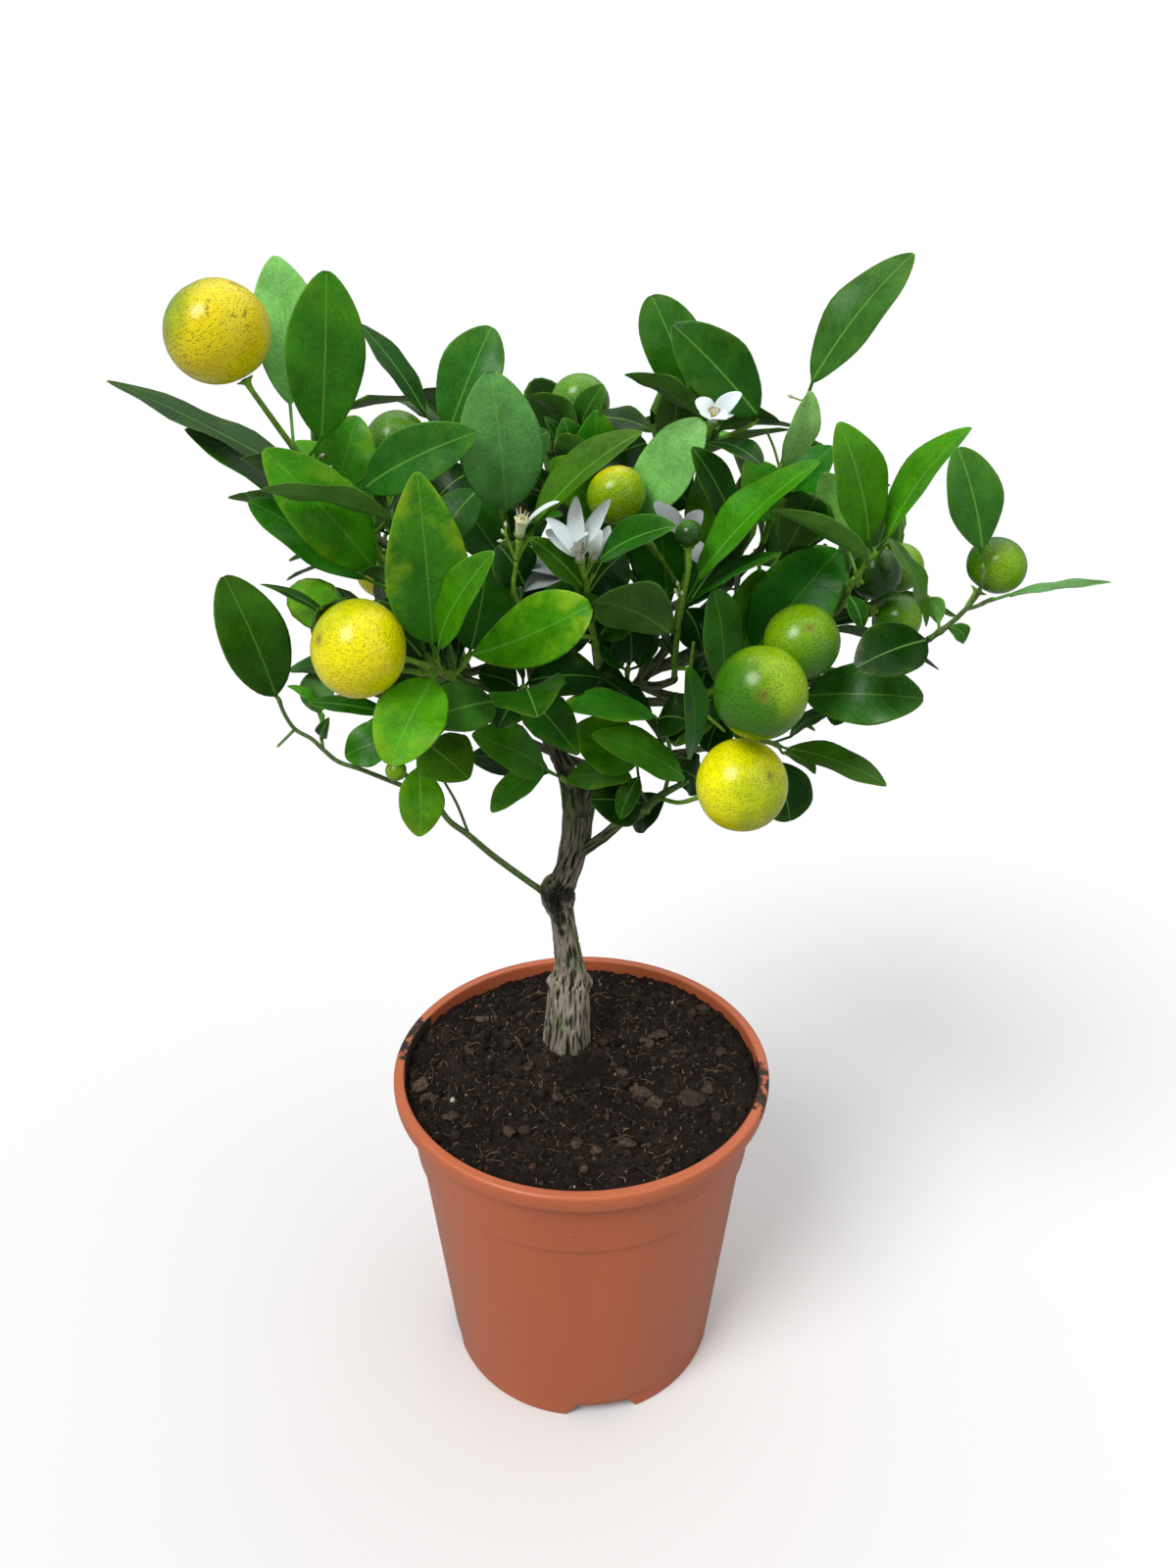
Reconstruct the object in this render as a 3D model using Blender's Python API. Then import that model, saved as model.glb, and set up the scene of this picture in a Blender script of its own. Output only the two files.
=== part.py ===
"""A potted calamondin: a small citrus tree with leaves, fruits and blooms, in a plastic nursery pot.

Lengths are in millimetres until a mesh is made, and MM turns them into metres. The origin is on the
pot's axis at the floor, +Z is up and the viewer stands on the -Y side.
"""

import math

import bmesh
import bpy
import numpy as np
from mathutils.bvhtree import BVHTree

MM = 0.001
GAP = 0.3
SHARP_ANGLE = math.radians(35)

# Pot
RIM_RADIUS = 95.0
POT_HEIGHT = 173.0
WALL = 2.2
LIP_HEIGHT = 9.0
LIP_WIDTH = 5.5
LIP_ROUND = 2.2
COLLAR_DROP = 42.0
COLLAR_RADIUS = 85.6
COLLAR_STEP = 1.8
SHOULDER_RADIUS = 88.6
FOOT_LINE_RADIUS = 71.8
FOOT_RADIUS = 71.0
FOOT_HEIGHT = 10.0
FOOT_WALL = 3.0
FLOOR_UNDERSIDE = 8.0
FLOOR_THICKNESS = 2.4
POT_SIDES = 28
NOTCH_COUNT = 4
NOTCH_FOOT_WIDTH = 37.0
NOTCH_TOP_WIDTH = 25.5
NOTCH_HEIGHT = 7.5
FIRST_NOTCH = math.radians(-81.5)
DRAIN_COUNT = 6
DRAIN_RADIUS = 4.5
DRAIN_CIRCLE = 48.0
DRAIN_SIDES = 6
OVERSHOOT = 2.0

# Soil
SOIL_TOP = 167.0
SOIL_RELIEF = 1.6
SOIL_RINGS = (1.0, 0.46, 0.0)
TRUNK_CLEARANCE = 0.9

# Leaves, stems and fruits
BLADE_THICKNESS = 1.3
PETIOLE_HALF = 0.75
BLADE_SECTIONS = (0.2, 0.52, 0.82)
PLAIN_SECTIONS = (0.3, 0.72)
WIDTH_TO_LENGTH = 0.46
BLADE_FOLD = 9.0
PETIOLE_LEAN = 0.45
SHORTEST_PETIOLE = 3.0
LEAF_LIFT = 2.0
STEM_SIDES = 5
TWIG_SIDES = 4
TRUNK_SIDES = 10
LEADER_SIDES = 6
LIMB_SIDES = 4
LIMB_BEND = 3.0
LIMB_TAPER = 0.7
SHORT_LEAF = 34.0
MIDDLE_NEAR = 30.0
FINE = 12
CALYX_RADIUS = 3.0
CALYX_SHARE = 0.5
CALYX_DEPTH = 1.8
CALYX_NECK = 1.3
STALK_RADIUS = 1.0
STALK_DROP = 4.0
FRUIT_FLATNESS = 0.93
FRUIT_GRIDS = ((13.0, 10, 7), (7.0, 8, 6), (0.0, 6, 5))
GOLDEN_TURN = math.radians(137.5)
CLEARANCE = 0.45

# Blooms: the heart as (height, radius), then the ring of stamens and the petals
HEART = ((0.0, 1.3), (1.6, 2.3), (3.2, 1.5))
HEART_SIDES = 6
STAMEN_SPREAD = 2.5
PETAL_SEAT = 1.2
PETAL_CLAW = 2.2
PETAL_LIFT = 0.4
PETAL_ARCH = 1.0
PETAL_FOLD = 0.05
PETAL_SECTIONS = (0.6,)
PEDICEL = (0.8, 1.2)

# The viewpoint of the picture, which is 1200 pixels wide and 1600 high
EYE = np.array((3.3, -482.0, 558.0))
LOOK_DOWN = math.radians(25.45)
FOCAL_PX = 1203.0
CENTRE_X_PX = 600.0
CENTRE_Y_PX = 800.0
AHEAD = np.array((0.0, math.cos(LOOK_DOWN), -math.sin(LOOK_DOWN)))
UPRIGHT = np.array((0.0, math.sin(LOOK_DOWN), math.cos(LOOK_DOWN)))
RIGHT = np.array((1.0, 0.0, 0.0))
UP = np.array((0.0, 0.0, 1.0))
SKYWARD = np.array((0.3, 0.0, 1.0))


def seen(px, py, near):
    """The point that shows at pixel (px, py) and lies `near` mm in front of the pot's axis."""
    ray = AHEAD + RIGHT * (px - CENTRE_X_PX) / FOCAL_PX - UPRIGHT * (py - CENTRE_Y_PX) / FOCAL_PX
    return EYE + ray * (-near - EYE[1]) / ray[1]


def unit(vector):
    return vector / max(np.linalg.norm(vector), 1e-9)


def across(vector, axis):
    """The part of a vector that is square to the axis, made one long."""
    axis = unit(axis)
    return unit(vector - axis * np.dot(vector, axis))


def smooth(points, count):
    """`count` points on a Catmull-Rom curve through the given points, evenly spread over its spans."""
    points = np.asarray(points, float)
    if len(points) == 2:
        return points[0] + (points[1] - points[0]) * np.linspace(0, 1, count)[:, None]
    padded = np.vstack((2 * points[0] - points[1], points, 2 * points[-1] - points[-2]))
    place = np.linspace(0, len(points) - 1, count)
    span = np.minimum(place.astype(int), len(points) - 2)
    t = (place - span)[:, None]
    a, b, c, d = (padded[span + k] for k in range(4))
    return 0.5 * (2 * b + (c - a) * t + (2 * a - 5 * b + 4 * c - d) * t**2 + (3 * b - a - 3 * c + d) * t**3)


def tube(points, radii, sides):
    """A closed tube: a ring of `sides` points round every point of the path, and a flat cap at each end."""
    points = np.asarray(points, float)
    radii = np.broadcast_to(radii, len(points))
    steps = np.gradient(points, axis=0)
    side = across(np.array((0.31, 0.27, 0.91)), steps[0])
    angles = np.arange(sides) * 2 * math.pi / sides
    rings = []
    for point, step, radius in zip(points, steps, radii):
        side = across(side, step)
        other = np.cross(unit(step), side)
        rings.append(point + radius * (np.outer(np.cos(angles), side) + np.outer(np.sin(angles), other)))
    faces = []
    for ring in range(len(points) - 1):
        for k in range(sides):
            a, b = ring * sides + k, ring * sides + (k + 1) % sides
            faces.append((a, b, b + sides, a + sides))
    faces.append(tuple(range(sides))[::-1])
    faces.append(tuple((len(points) - 1) * sides + k for k in range(sides)))
    return np.vstack(rings), faces


def outline(u):
    """Half the width of a leaf along its length, from 0 at the base through 1 to 0 at the tip."""
    return np.sin(math.pi * np.asarray(u, float) ** 0.92) ** 0.78


def blade(leaf, sections, grow=0.0):
    """A leaf as a chain of four-point sections: petiole root, blade base, the blade's sections and its tip.

    Each section has a point on either edge, one on the upper side of the midrib and one on the lower
    side, and both sides are split into the same triangles. `grow` makes the leaf that much wider.
    """
    root, base, tip = leaf["root"], leaf["base"], leaf["tip"]
    along = unit(tip - base)
    top = across(leaf["top"], along)
    side = np.cross(along, top)
    stalk = unit(base - root)
    length = np.linalg.norm(tip - base)
    rise = math.tan(leaf["fold"])
    chain = []
    for place, direction, half in ((root, stalk, PETIOLE_HALF), (base, unit(stalk + along), PETIOLE_HALF)):
        wide = across(side if abs(np.dot(side, direction)) < 0.9 else top, direction) * (half + grow)
        high = np.cross(wide, direction)
        chain.append((place + wide, place + high, place - wide, place - high))
    thick = top * (BLADE_THICKNESS / 2 + grow)
    for u in sections:
        bow = 4 * u * (1 - u)
        middle = base + along * length * u + (top * leaf["arch"] + side * leaf["sweep"]) * bow
        half = float(outline(u)) * leaf["wide"] / 2 + grow
        edge = top * half * rise
        chain.append((middle + side * half + edge, middle + thick, middle - side * half + edge,
                      middle - thick))
    points = [point for section in chain for point in section] + [tip + along * grow]
    faces = [(0, 2, 1), (0, 3, 2)]
    last = len(chain) - 1
    for index in range(last):
        a, b = 4 * index, 4 * index + 4
        for edge in (0, 2):
            for mid in (1, 3):
                turn = 1 if (edge, mid) in ((0, 1), (2, 3)) else -1
                faces.append((a + edge, a + mid, b + edge)[::turn])
                faces.append((a + mid, b + mid, b + edge)[::turn])
    end, point = 4 * last, len(points) - 1
    for k in range(4):
        faces.append((end + k, end + (k + 1) % 4, point))
    return np.array(points), faces


def ball(centre, axis, radius, around, rings):
    """A fruit: rings of points round its axis, a little flattened from stalk to blossom end."""
    side = across(np.array((0.4, 0.3, 0.2)), axis)
    other = np.cross(axis, side)
    angles = np.arange(around) * 2 * math.pi / around
    circle = np.outer(np.cos(angles), side) + np.outer(np.sin(angles), other)
    points = [centre - axis * radius * FRUIT_FLATNESS]
    for ring in range(1, rings):
        tilt = math.pi * ring / rings
        points.extend(centre + radius * (math.sin(tilt) * circle - FRUIT_FLATNESS * math.cos(tilt) * axis))
    points.append(centre + axis * radius * FRUIT_FLATNESS)
    faces = []
    for k in range(around):
        a, b = 1 + k, 1 + (k + 1) % around
        faces.append((0, b, a))
        for ring in range(rings - 2):
            step = ring * around
            faces.append((a + step, b + step, b + step + around, a + step + around))
        step = (rings - 2) * around
        faces.append((a + step, b + step, len(points) - 1))
    return np.array(points), faces


def at(x, y, z):
    return np.array((x, y, z), float)


def trace(*places):
    """Points of a stem, each given as the pixel that it shows at and its nearness."""
    return [seen(*place) for place in places]


def leaf(base, tip, toward, wide, roll=15, arch=3.0, sweep=0.0, fold=BLADE_FOLD, near=None):
    """A leaf read from the picture: the pixels of its base and tip, how much nearer the tip is, its full
    width, and how far its upper side turns from the viewer to the sky, in degrees."""
    return dict(base=base, tip=tip, toward=toward, wide=wide, roll=math.radians(roll), arch=arch,
                sweep=sweep, fold=math.radians(fold), near=near)


def fruit(name, centre, radius, stalk):
    """A fruit on a stalk whose last point is the spot that the stalk runs to the fruit's middle from."""
    return dict(name=name, centre=centre, radius=radius, stalk=stalk)


def bloom(name, stalk, petals, wide=6.0, stamens=9.0):
    """A bloom at the end of its stalk: the points that its petals reach."""
    return dict(name=name, stalk=stalk, petals=petals, wide=wide, stamens=stamens)


def shoot(name, limb, stem, thick, leaves=(), sides=(), fruits=(), blooms=(), grown=None):
    """A leafy stem: the wood that carries it, its own course, its side stems as (points, first and last
    radius), the leaves read from the picture, and `grown`, how many leaves the spiral rule adds."""
    return dict(name=name, limb=limb, stem=stem, thick=thick, leaves=leaves, sides=sides, fruits=fruits,
                blooms=blooms, grown=grown)


# The trunk's own course, as points and radii
TRUNK = (
    (at(-8, 22, 105), 12.0), (at(-8, 22, 168), 12.2), (seen(580, 1030, -22), 10.8),
    (seen(580, 1006, -22), 10.2),
    (seen(581, 989, -22), 8.0), (seen(580, 974, -23), 6.7), (seen(577, 953, -24), 6.2),
    (seen(573, 932, -26), 6.3), (seen(570, 922, -27), 8.0), (seen(569, 908, -27), 8.2),
    (seen(576, 897, -27), 6.3), (seen(583, 875, -28), 6.4), (seen(588, 852, -28), 6.8),
    (seen(590, 828, -28), 6.6),
)
LEADERS = {
    "left": ((seen(587, 852, -28), 5.4), (seen(583, 802, -26), 5.0), (seen(572, 775, -23), 4.4),
             (seen(562, 752, -20), 4.0), (seen(553, 728, -17), 3.6), (seen(547, 700, -15), 3.2),
             (seen(540, 660, -14), 2.7)),
    "right": ((seen(591, 852, -28), 5.2), (seen(600, 815, -30), 4.6), (seen(610, 785, -32), 4.2),
              (seen(624, 752, -32), 3.8), (seen(641, 716, -30), 3.2), (seen(652, 698, -29), 2.7),
              (seen(661, 683, -28), 2.5)),
    "back": ((seen(610, 785, -32), 3.6), (seen(616, 740, -42), 3.2), (seen(614, 695, -48), 2.8),
             (seen(608, 650, -48), 2.4)),
}

SHOOTS = (
    shoot("shoot_northwest", trace((540, 660, -14), (500, 625, -6), (450, 590, 2), (405, 562, 4)),
          trace((365, 536, 10), (340, 512, 18), (325, 490, 24), (310, 470, 28), (292, 447, 32),
                (271, 418, 37),
                (259, 401, 39)), (1.6, 1.0),
          leaves=(
              leaf((296, 412), (281, 260), -4, 27, 22, near=22, arch=4),
              leaf((328, 448), (333, 275), 8, 28, 6, arch=4),
              leaf((333, 503), (108, 388), -24, 24, 66, arch=2, near=24),
              leaf((350, 546), (188, 437), -18, 24, 52, near=2),
              leaf((373, 498), (486, 441), 12, 22, 12, arch=9, near=26),
              leaf((345, 500), (365, 424), -6, 24, 12, near=8),
              leaf((322, 500), (246, 468), 4, 18, 118, near=22),
          ),
          fruits=(fruit("fruit_west_top", seen(222, 339, 42), 18.6,
                        trace((271, 418, 37), (258, 400, 39))),)),
    shoot("shoot_west", trace((540, 660, -14), (505, 645, -4), (470, 632, 2)),
          trace((430, 622, 4), (405, 600, 10), (390, 575, 16), (378, 545, 20), (366, 520, 22)), (1.5, 0.9),
          leaves=(
              leaf((382, 580), (268, 458), 6, 29, 14, arch=5),
              leaf((398, 528), (264, 500), 16, 21, 112, near=33, arch=2.4),
              leaf((372, 590), (253, 511), -4, 27, 38, near=6),
              leaf((345, 640), (265, 596), -6, 9, 62, near=8),
              leaf((398, 598), (368, 584), 6, 10, 130, near=26),
              leaf((378, 548), (300, 450), -8, 28, 24, near=8),
          ),
          sides=((trace((405, 600, 10), (385, 622, 10), (352, 640, 8)), 1.1, 0.8),)),
    shoot("shoot_front_left", trace((553, 728, -17), (535, 716, -6), (515, 708, 6), (495, 700, 14)),
          trace((468, 692, 22), (450, 686, 32), (438, 680, 40), (425, 676, 44)), (1.8, 1.3),
          leaves=(
              leaf((441, 656), (425, 480), 18, 31, 5, arch=6, near=50),
              leaf((448, 660), (505, 563), 28, 19, 45, arch=4, near=50),
              leaf((441, 694), (396, 781), 36, 27, 8, arch=5, near=48),
              leaf((480, 668), (604, 617), 28, 27, 14, arch=5, sweep=3, near=34),
              leaf((480, 664), (497, 565), 6, 24, 20, near=28),
              leaf((505, 716), (425, 738), 8, 22, 22, near=18),
              leaf((398, 729), (314, 717), 0, 12, 50, arch=1.5, near=36),
          ),
          sides=((trace((461, 690, 25), (472, 680, 28), (480, 666, 30)), 1.2, 0.9),
                 (trace((450, 686, 32), (446, 676, 38), (442, 660, 42)), 1.2, 0.9),
                 (trace((456, 689, 29), (446, 680, 25), (425, 662, 25)), 1.7, 1.6)),
          fruits=(fruit("fruit_front_left", seen(366, 662, 60), 18.8,
                        trace((438, 680, 40), (424, 675, 46))),)),
    shoot("shoot_front_low", trace((553, 728, -17), (548, 718, -8), (540, 710, 0)),
          trace((535, 704, 8), (533, 702, 28), (535, 701, 48)), (1.3, 0.9),
          leaves=(
              leaf((537, 705), (549, 732), 54, 28, 8, arch=4, near=55),
              leaf((540, 695), (614, 692), -4, 24, 34, near=16),
          )),
    shoot("shoot_north_left", trace((540, 660, -14), (532, 630, -12), (526, 605, -6)),
          trace((522, 585, 0), (517, 545, 8), (510, 515, 12), (490, 488, 8), (470, 465, 0), (452, 448, -6)),
          (1.5, 0.9),
          leaves=(
              leaf((517, 520), (500, 378), 10, 32, 5, arch=6, near=20),
              leaf((455, 450), (502, 333), -8, 25, 12, arch=4),
              leaf((434, 423), (366, 330), -6, 16, 52, arch=2, near=-10),
              leaf((512, 572), (458, 500), 0, 26, 20, near=8),
              leaf((488, 500), (445, 560), 10, 20, 30, near=10),
              leaf((500, 492), (560, 440), -6, 22, 25, near=4),
          ),
          fruits=(fruit("fruit_north_left", seen(405, 455, -16), 14.2,
                        trace((470, 465, 0), (446, 466, -8))),)),
    shoot("shoot_north_centre", trace((608, 650, -48), (604, 620, -42), (602, 595, -36)),
          trace((601, 575, -33), (598, 520, -30), (595, 470, -29), (592, 436, -29)), (1.4, 0.9),
          leaves=(
              leaf((590, 436), (576, 403), 0, 7, 40),
              leaf((594, 434), (616, 392), 6, 13, 20),
              leaf((600, 428), (668, 441), 8, 16, 55),
              leaf((588, 436), (539, 404), 2, 16, 120),
              leaf((605, 470), (608, 418), 14, 18, 12),
              leaf((585, 470), (575, 426), 10, 15, 12),
              leaf((592, 505), (580, 442), 12, 20, 155),
              leaf((606, 520), (560, 470), 12, 22, 30),
              leaf((604, 540), (655, 480), 10, 24, 25),
          ),
          fruits=(fruit("fruit_north_centre", seen(592, 411, -42), 12.6,
                        trace((595, 470, -29), (592, 437, -34))),)),
    shoot("shoot_front_centre", trace((624, 752, -32), (618, 720, -22), (614, 695, -10)),
          trace((612, 680, -4), (606, 650, 10), (602, 625, 24), (599, 600, 36), (597, 588, 40)), (1.4, 0.9),
          leaves=(
              leaf((546, 537), (656, 441), 2, 22, 56, arch=4, fold=20, near=44),
              leaf((612, 572), (690, 537), 8, 17, 48, fold=20, near=44),
              leaf((600, 640), (560, 575), 4, 24, 25, near=14),
              leaf((598, 602), (540, 549), 2, 12, 25, near=35),
              leaf((612, 650), (660, 600), 4, 22, 25, near=6),
          ),
          sides=((trace((606, 650, 10), (575, 648, 18), (545, 632, 30), (525, 606, 37), (527, 573, 40)), 1.0,
                  0.9),
                 (trace((599, 600, 36), (606, 585, 38), (612, 574, 38)), 0.9, 0.8),
                 (trace((527, 573, 40), (534, 558, 41), (543, 543, 42)), 0.9, 0.8),
                 (trace((527, 573, 40), (521, 558, 41), (516, 545, 42)), 0.7, 0.6),
                 (trace((606, 650, 10), (600, 632, 12), (596, 618, 14)), 0.9, 0.8)),
          blooms=(bloom("bloom_front", trace((599, 600, 36), (593, 574, 44)),
                        trace((557, 541, 40), (557, 528, 50), (588, 506, 46), (623, 509, 44),
                              (600, 545, 58))),
                  bloom("bloom_front_half_open", trace((597, 588, 40), (603, 574, 42)),
                        trace((622, 536, 44), (614, 541, 50), (612, 540, 36)), wide=4.5, stamens=7.0),
                  bloom("bloom_front_spent", trace((527, 573, 40), (530, 549, 44)),
                        trace((571, 512, 53)), wide=4.5, stamens=12.0),
                  bloom("bloom_front_shaded", trace((596, 618, 14), (583, 590, 21)),
                        trace((527, 575, 24), (530, 604, 27)), wide=9.0, stamens=4.0))),
    shoot("shoot_north_right", trace((652, 698, -29), (668, 650, -30), (685, 600, -27), (698, 560, -22)),
          trace((704, 535, -18), (711, 495, -12), (717, 460, -6), (722, 436, -1)), (1.6, 1.0),
          leaves=(
              leaf((708, 415), (664, 301), -12, 25, 16, arch=4, near=-6),
              leaf((773, 424), (686, 331), -4, 26, 16, arch=4, near=6),
              leaf((715, 425), (637, 382), 12, 18, 116, near=0),
              leaf((732, 440), (796, 431), 18, 18, 114, near=4),
              leaf((722, 452), (778, 476), 16, 16, 62, near=0),
              leaf((704, 515), (650, 470), 4, 24, 25, near=-18),
          ),
          sides=((trace((717, 460, -6), (740, 446, 0), (762, 436, 4), (771, 430, 5)), 0.9, 0.8),),
          blooms=(bloom("bloom_right_top", trace((717, 460, -6), (722, 446, 8), (726, 432, 17)),
                        trace((710, 408, 18), (757, 401, 22), (745, 420, 2), (742, 428, 30),
                              (714, 422, 28))),)),
    shoot("shoot_centre_right", trace((652, 698, -29), (668, 680, -22), (680, 660, -14)),
          trace((688, 645, -8), (696, 605, -2), (700, 585, 2)), (1.4, 1.0),
          leaves=(
              leaf((653, 532), (718, 428), 8, 25, 10, arch=5, near=-3),
              leaf((748, 540), (705, 456), 10, 18, 42, near=12),
              leaf((735, 562), (716, 484), -4, 27, 22, near=2),
              leaf((664, 545), (628, 530), 6, 8, 110, near=18),
              leaf((680, 606), (672, 533), 0, 30, 12, near=0),
          ),
          sides=((trace((696, 605, -2), (678, 575, 8), (660, 550, 15), (652, 536, 18)), 1.1, 0.8),
                 (trace((700, 585, 2), (722, 565, 6), (740, 548, 9)), 1.1, 0.8)),
          fruits=(fruit("fruit_centre", seen(629, 505, 8), 12.0, trace((678, 575, 8), (650, 542, 10))),),
          blooms=(bloom("bloom_centre_shaded", trace((700, 585, 2), (701, 552, 18)),
                        trace((668, 512, 12), (717, 521, 21), (717, 576, 25)), wide=7.0, stamens=5.0),)),
    shoot("shoot_northeast", trace((655, 692, -28), (700, 640, -26), (740, 600, -22), (765, 575, -18)),
          trace((778, 555, -14), (790, 515, -8), (797, 478, -4), (811, 436, 0), (826, 400, 3)), (1.4, 0.9),
          leaves=(
              leaf((800, 474), (827, 398), 6, 16, 42, near=0),
              leaf((829, 390), (933, 258), -3, 25, 38, arch=4, near=4),
              leaf((798, 520), (850, 455), -6, 20, 32, near=-10),
              leaf((785, 530), (760, 470), 4, 22, 30),
          ),
          sides=((trace((796, 480, -4), (790, 458, -6), (783, 441, -7)), 0.6, 0.5),)),
    shoot("shoot_front_right_up", trace((652, 698, -29), (668, 700, -16), (680, 697, -6)),
          trace((688, 690, 0), (690, 660, 14), (693, 632, 28), (697, 612, 36)), (1.4, 1.0),
          leaves=(
              leaf((712, 592), (838, 470), -2, 24, 56, arch=4, fold=20, near=40),
              leaf((684, 645), (606, 614), 14, 30, 138, arch=4, near=26),
          ),
          sides=((trace((689, 682, 4), (704, 684, 14), (706, 700, 26), (718, 726, 32), (738, 745, 32)), 0.9,
                  0.7),
                 (trace((708, 655, 20), (706, 672, 18), (704, 684, 14)), 0.8, 0.8)),
          fruits=(fruit("fruitlet_centre", seen(703, 544, 44), 5.2,
                        trace((695, 620, 32), (702, 585, 41))),)),
    shoot("shoot_right_front", trace((652, 698, -29), (675, 708, -20), (700, 712, -8)),
          trace((722, 708, 6), (742, 700, 16), (764, 692, 22), (790, 692, 20), (806, 704, 22)), (1.6, 1.0),
          leaves=(
              leaf((770, 665), (856, 561), 10, 33, 10, arch=4, near=24),
              leaf((750, 688), (777, 580), 2, 28, 24, near=14),
              leaf((737, 698), (728, 601), 16, 20, 35, near=24),
              leaf((822, 710), (943, 713), 14, 27, 18, arch=4, near=26),
              leaf((744, 722), (722, 768), 4, 22, 30, near=2),
          ),
          fruits=(fruit("fruit_right_front", seen(776, 707, 68), 17.8,
                        trace((767, 692, 22), (771, 700, 40))),
                  fruit("fruit_right_upper", seen(818, 655, 41), 15.0,
                        trace((786, 692, 20), (804, 678, 22))))),
    shoot("shoot_east", trace((656, 690, -28), (710, 665, -22), (760, 652, -12), (800, 642, -2)),
          trace((830, 636, 6), (855, 622, 14), (868, 598, 22), (885, 574, 28), (900, 556, 30)), (1.5, 0.9),
          leaves=(
              leaf((866, 562), (841, 482), -6, 22, 150, near=20),
              leaf((886, 573), (785, 520), 12, 20, 112, near=34),
              leaf((886, 553), (855, 430), 2, 24, 34, arch=4, near=32),
              leaf((907, 547), (992, 436), -3, 22, 55, arch=4, fold=20, near=30),
              leaf((905, 548), (945, 640), 12, 20, 72, near=34),
              leaf((866, 608), (880, 642), 6, 8, 20, near=24),
              leaf((842, 606), (812, 560), -4, 24, 30, near=5),
          ),
          fruits=(fruit("fruit_east_upper", seen(893, 585, 10), 10.8,
                        trace((870, 596, 22), (873, 592, 17))),
                  fruit("fruit_east_outer", seen(917, 579, -14), 10.6,
                        trace((887, 572, 28), (904, 552, 6), (909, 560, -4))),
                  fruit("fruit_east_lower", seen(915, 632, 6), 10.8,
                        trace((858, 618, 16), (880, 618, 7))))),
    shoot("shoot_far_east", trace((641, 716, -30), (700, 716, -22), (760, 712, -12), (815, 700, -4)),
          trace((850, 690, 2), (900, 676, 18), (935, 660, 32), (965, 640, 44), (985, 622, 54),
                (1000, 604, 60)),
          (1.5, 0.8),
          leaves=(
              leaf((1002, 560), (977, 456), -2, 20, 24, near=69),
              leaf((1029, 607), (1134, 594), 9, 14, 76, arch=0.4, near=63),
              leaf((950, 652), (872, 682), 10, 25, 24, near=40),
              leaf((958, 636), (938, 612), -4, 12, 130, near=40),
              leaf((962, 640), (984, 656), 2, 9, 40, near=42),
              leaf((880, 690), (850, 740), 6, 22, 40, near=14),
          ),
          sides=((trace((985, 622, 54), (998, 618, 58), (1012, 611, 61)), 0.8, 0.7),
                 (trace((997, 608, 60), (1003, 592, 68), (1003, 578, 70)), 0.8, 0.7)),
          fruits=(fruit("fruit_far_east", seen(1017, 577, 54), 11.0,
                        trace((987, 619, 55), (998, 603, 55))),)),
    shoot("shoot_low_right", trace((610, 785, -32), (655, 775, -32), (710, 765, -24)),
          trace((760, 758, -12), (782, 757, 0), (797, 762, 10)), (1.3, 0.9),
          leaves=(
              leaf((803, 764), (905, 802), 12, 21, 54, near=14),
              leaf((798, 768), (832, 790), 4, 12, 122, near=10),
              leaf((792, 778), (806, 838), 8, 25, 14, near=2),
              leaf((806, 752), (852, 727), 0, 14, 60, near=4),
              leaf((770, 752), (735, 700), -4, 24, 30, near=-14),
              leaf((750, 765), (700, 745), 0, 22, 40, near=-16),
          )),
    shoot("shoot_low_centre", trace((589, 872, -27), (604, 862, -23), (618, 852, -19), (634, 838, -13),
                                    (645, 833, -9)),
          trace((655, 828, -6), (674, 812, 4), (690, 803, 12), (701, 798, 18)), (2.2, 1.0),
          leaves=(
              leaf((698, 794), (602, 750), 12, 22, 42, arch=4, near=22),
              leaf((704, 774), (700, 680), 10, 18, 56, near=24),
              leaf((652, 793), (633, 836), 8, 11, 20, near=4),
              leaf((668, 731), (572, 722), 14, 20, 50, near=18),
              leaf((650, 780), (585, 742), 2, 28, 20, near=-4),
          ),
          sides=((trace((678, 809, 6), (684, 780, 12), (681, 750, 15), (674, 734, 17)), 1.0, 0.8),
                 (trace((663, 821, -1), (654, 808, -1), (652, 796, 1)), 0.9, 0.8)),
          fruits=(fruit("fruit_low_right", seen(757, 801, 62), 18.6,
                        trace((672, 814, 3), (692, 819, 22), (712, 814, 44))),)),
    shoot("shoot_trunk_front", trace((585, 806, -26), (582, 803, -22)),
          trace((578, 798, -17), (575, 795, -12), (573, 792, -6)), (1.2, 0.9),
          leaves=(
              leaf((578, 795), (645, 795), 20, 20, 44, near=0),
              leaf((556, 785), (501, 829), 12, 17, 40, near=2),
              leaf((556, 784), (481, 750), 18, 23, 30, near=2),
          )),
    shoot("shoot_low_left", trace((572, 914, -27), (560, 910, -25)),
          trace((549, 906, -23), (540, 900, -20), (503, 873, -8), (478, 852, 0), (459, 838, 6),
                (447, 821, 10),
                (437, 800, 15), (430, 778, 18)), (1.7, 1.1),
          leaves=(
              leaf((436, 760), (479, 795), 20, 25, 12, near=22),
              leaf((427, 783), (428, 854), 14, 20, 14, near=26),
              leaf((405, 752), (352, 772), 2, 20, 20, near=14),
              leaf((280, 711), (228, 587), 4, 28, 12, arch=5, near=18),
              leaf((332, 728), (293, 700), 0, 7, 50, near=16),
              leaf((325, 727), (318, 686), -4, 15, 10, near=12),
              leaf((330, 752), (336, 732), 2, 6, 20, near=16),
          ),
          sides=((trace((478, 850, 0), (466, 820, 4), (453, 797, 6)), 0.7, 0.6),
                 (trace((447, 821, 10), (420, 806, 12), (396, 796, 14), (368, 785, 16), (345, 777, 17),
                        (330, 765, 18), (318, 754, 18), (301, 744, 18), (290, 728, 18), (284, 712, 18)),
                        1.1, 0.8),
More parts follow.
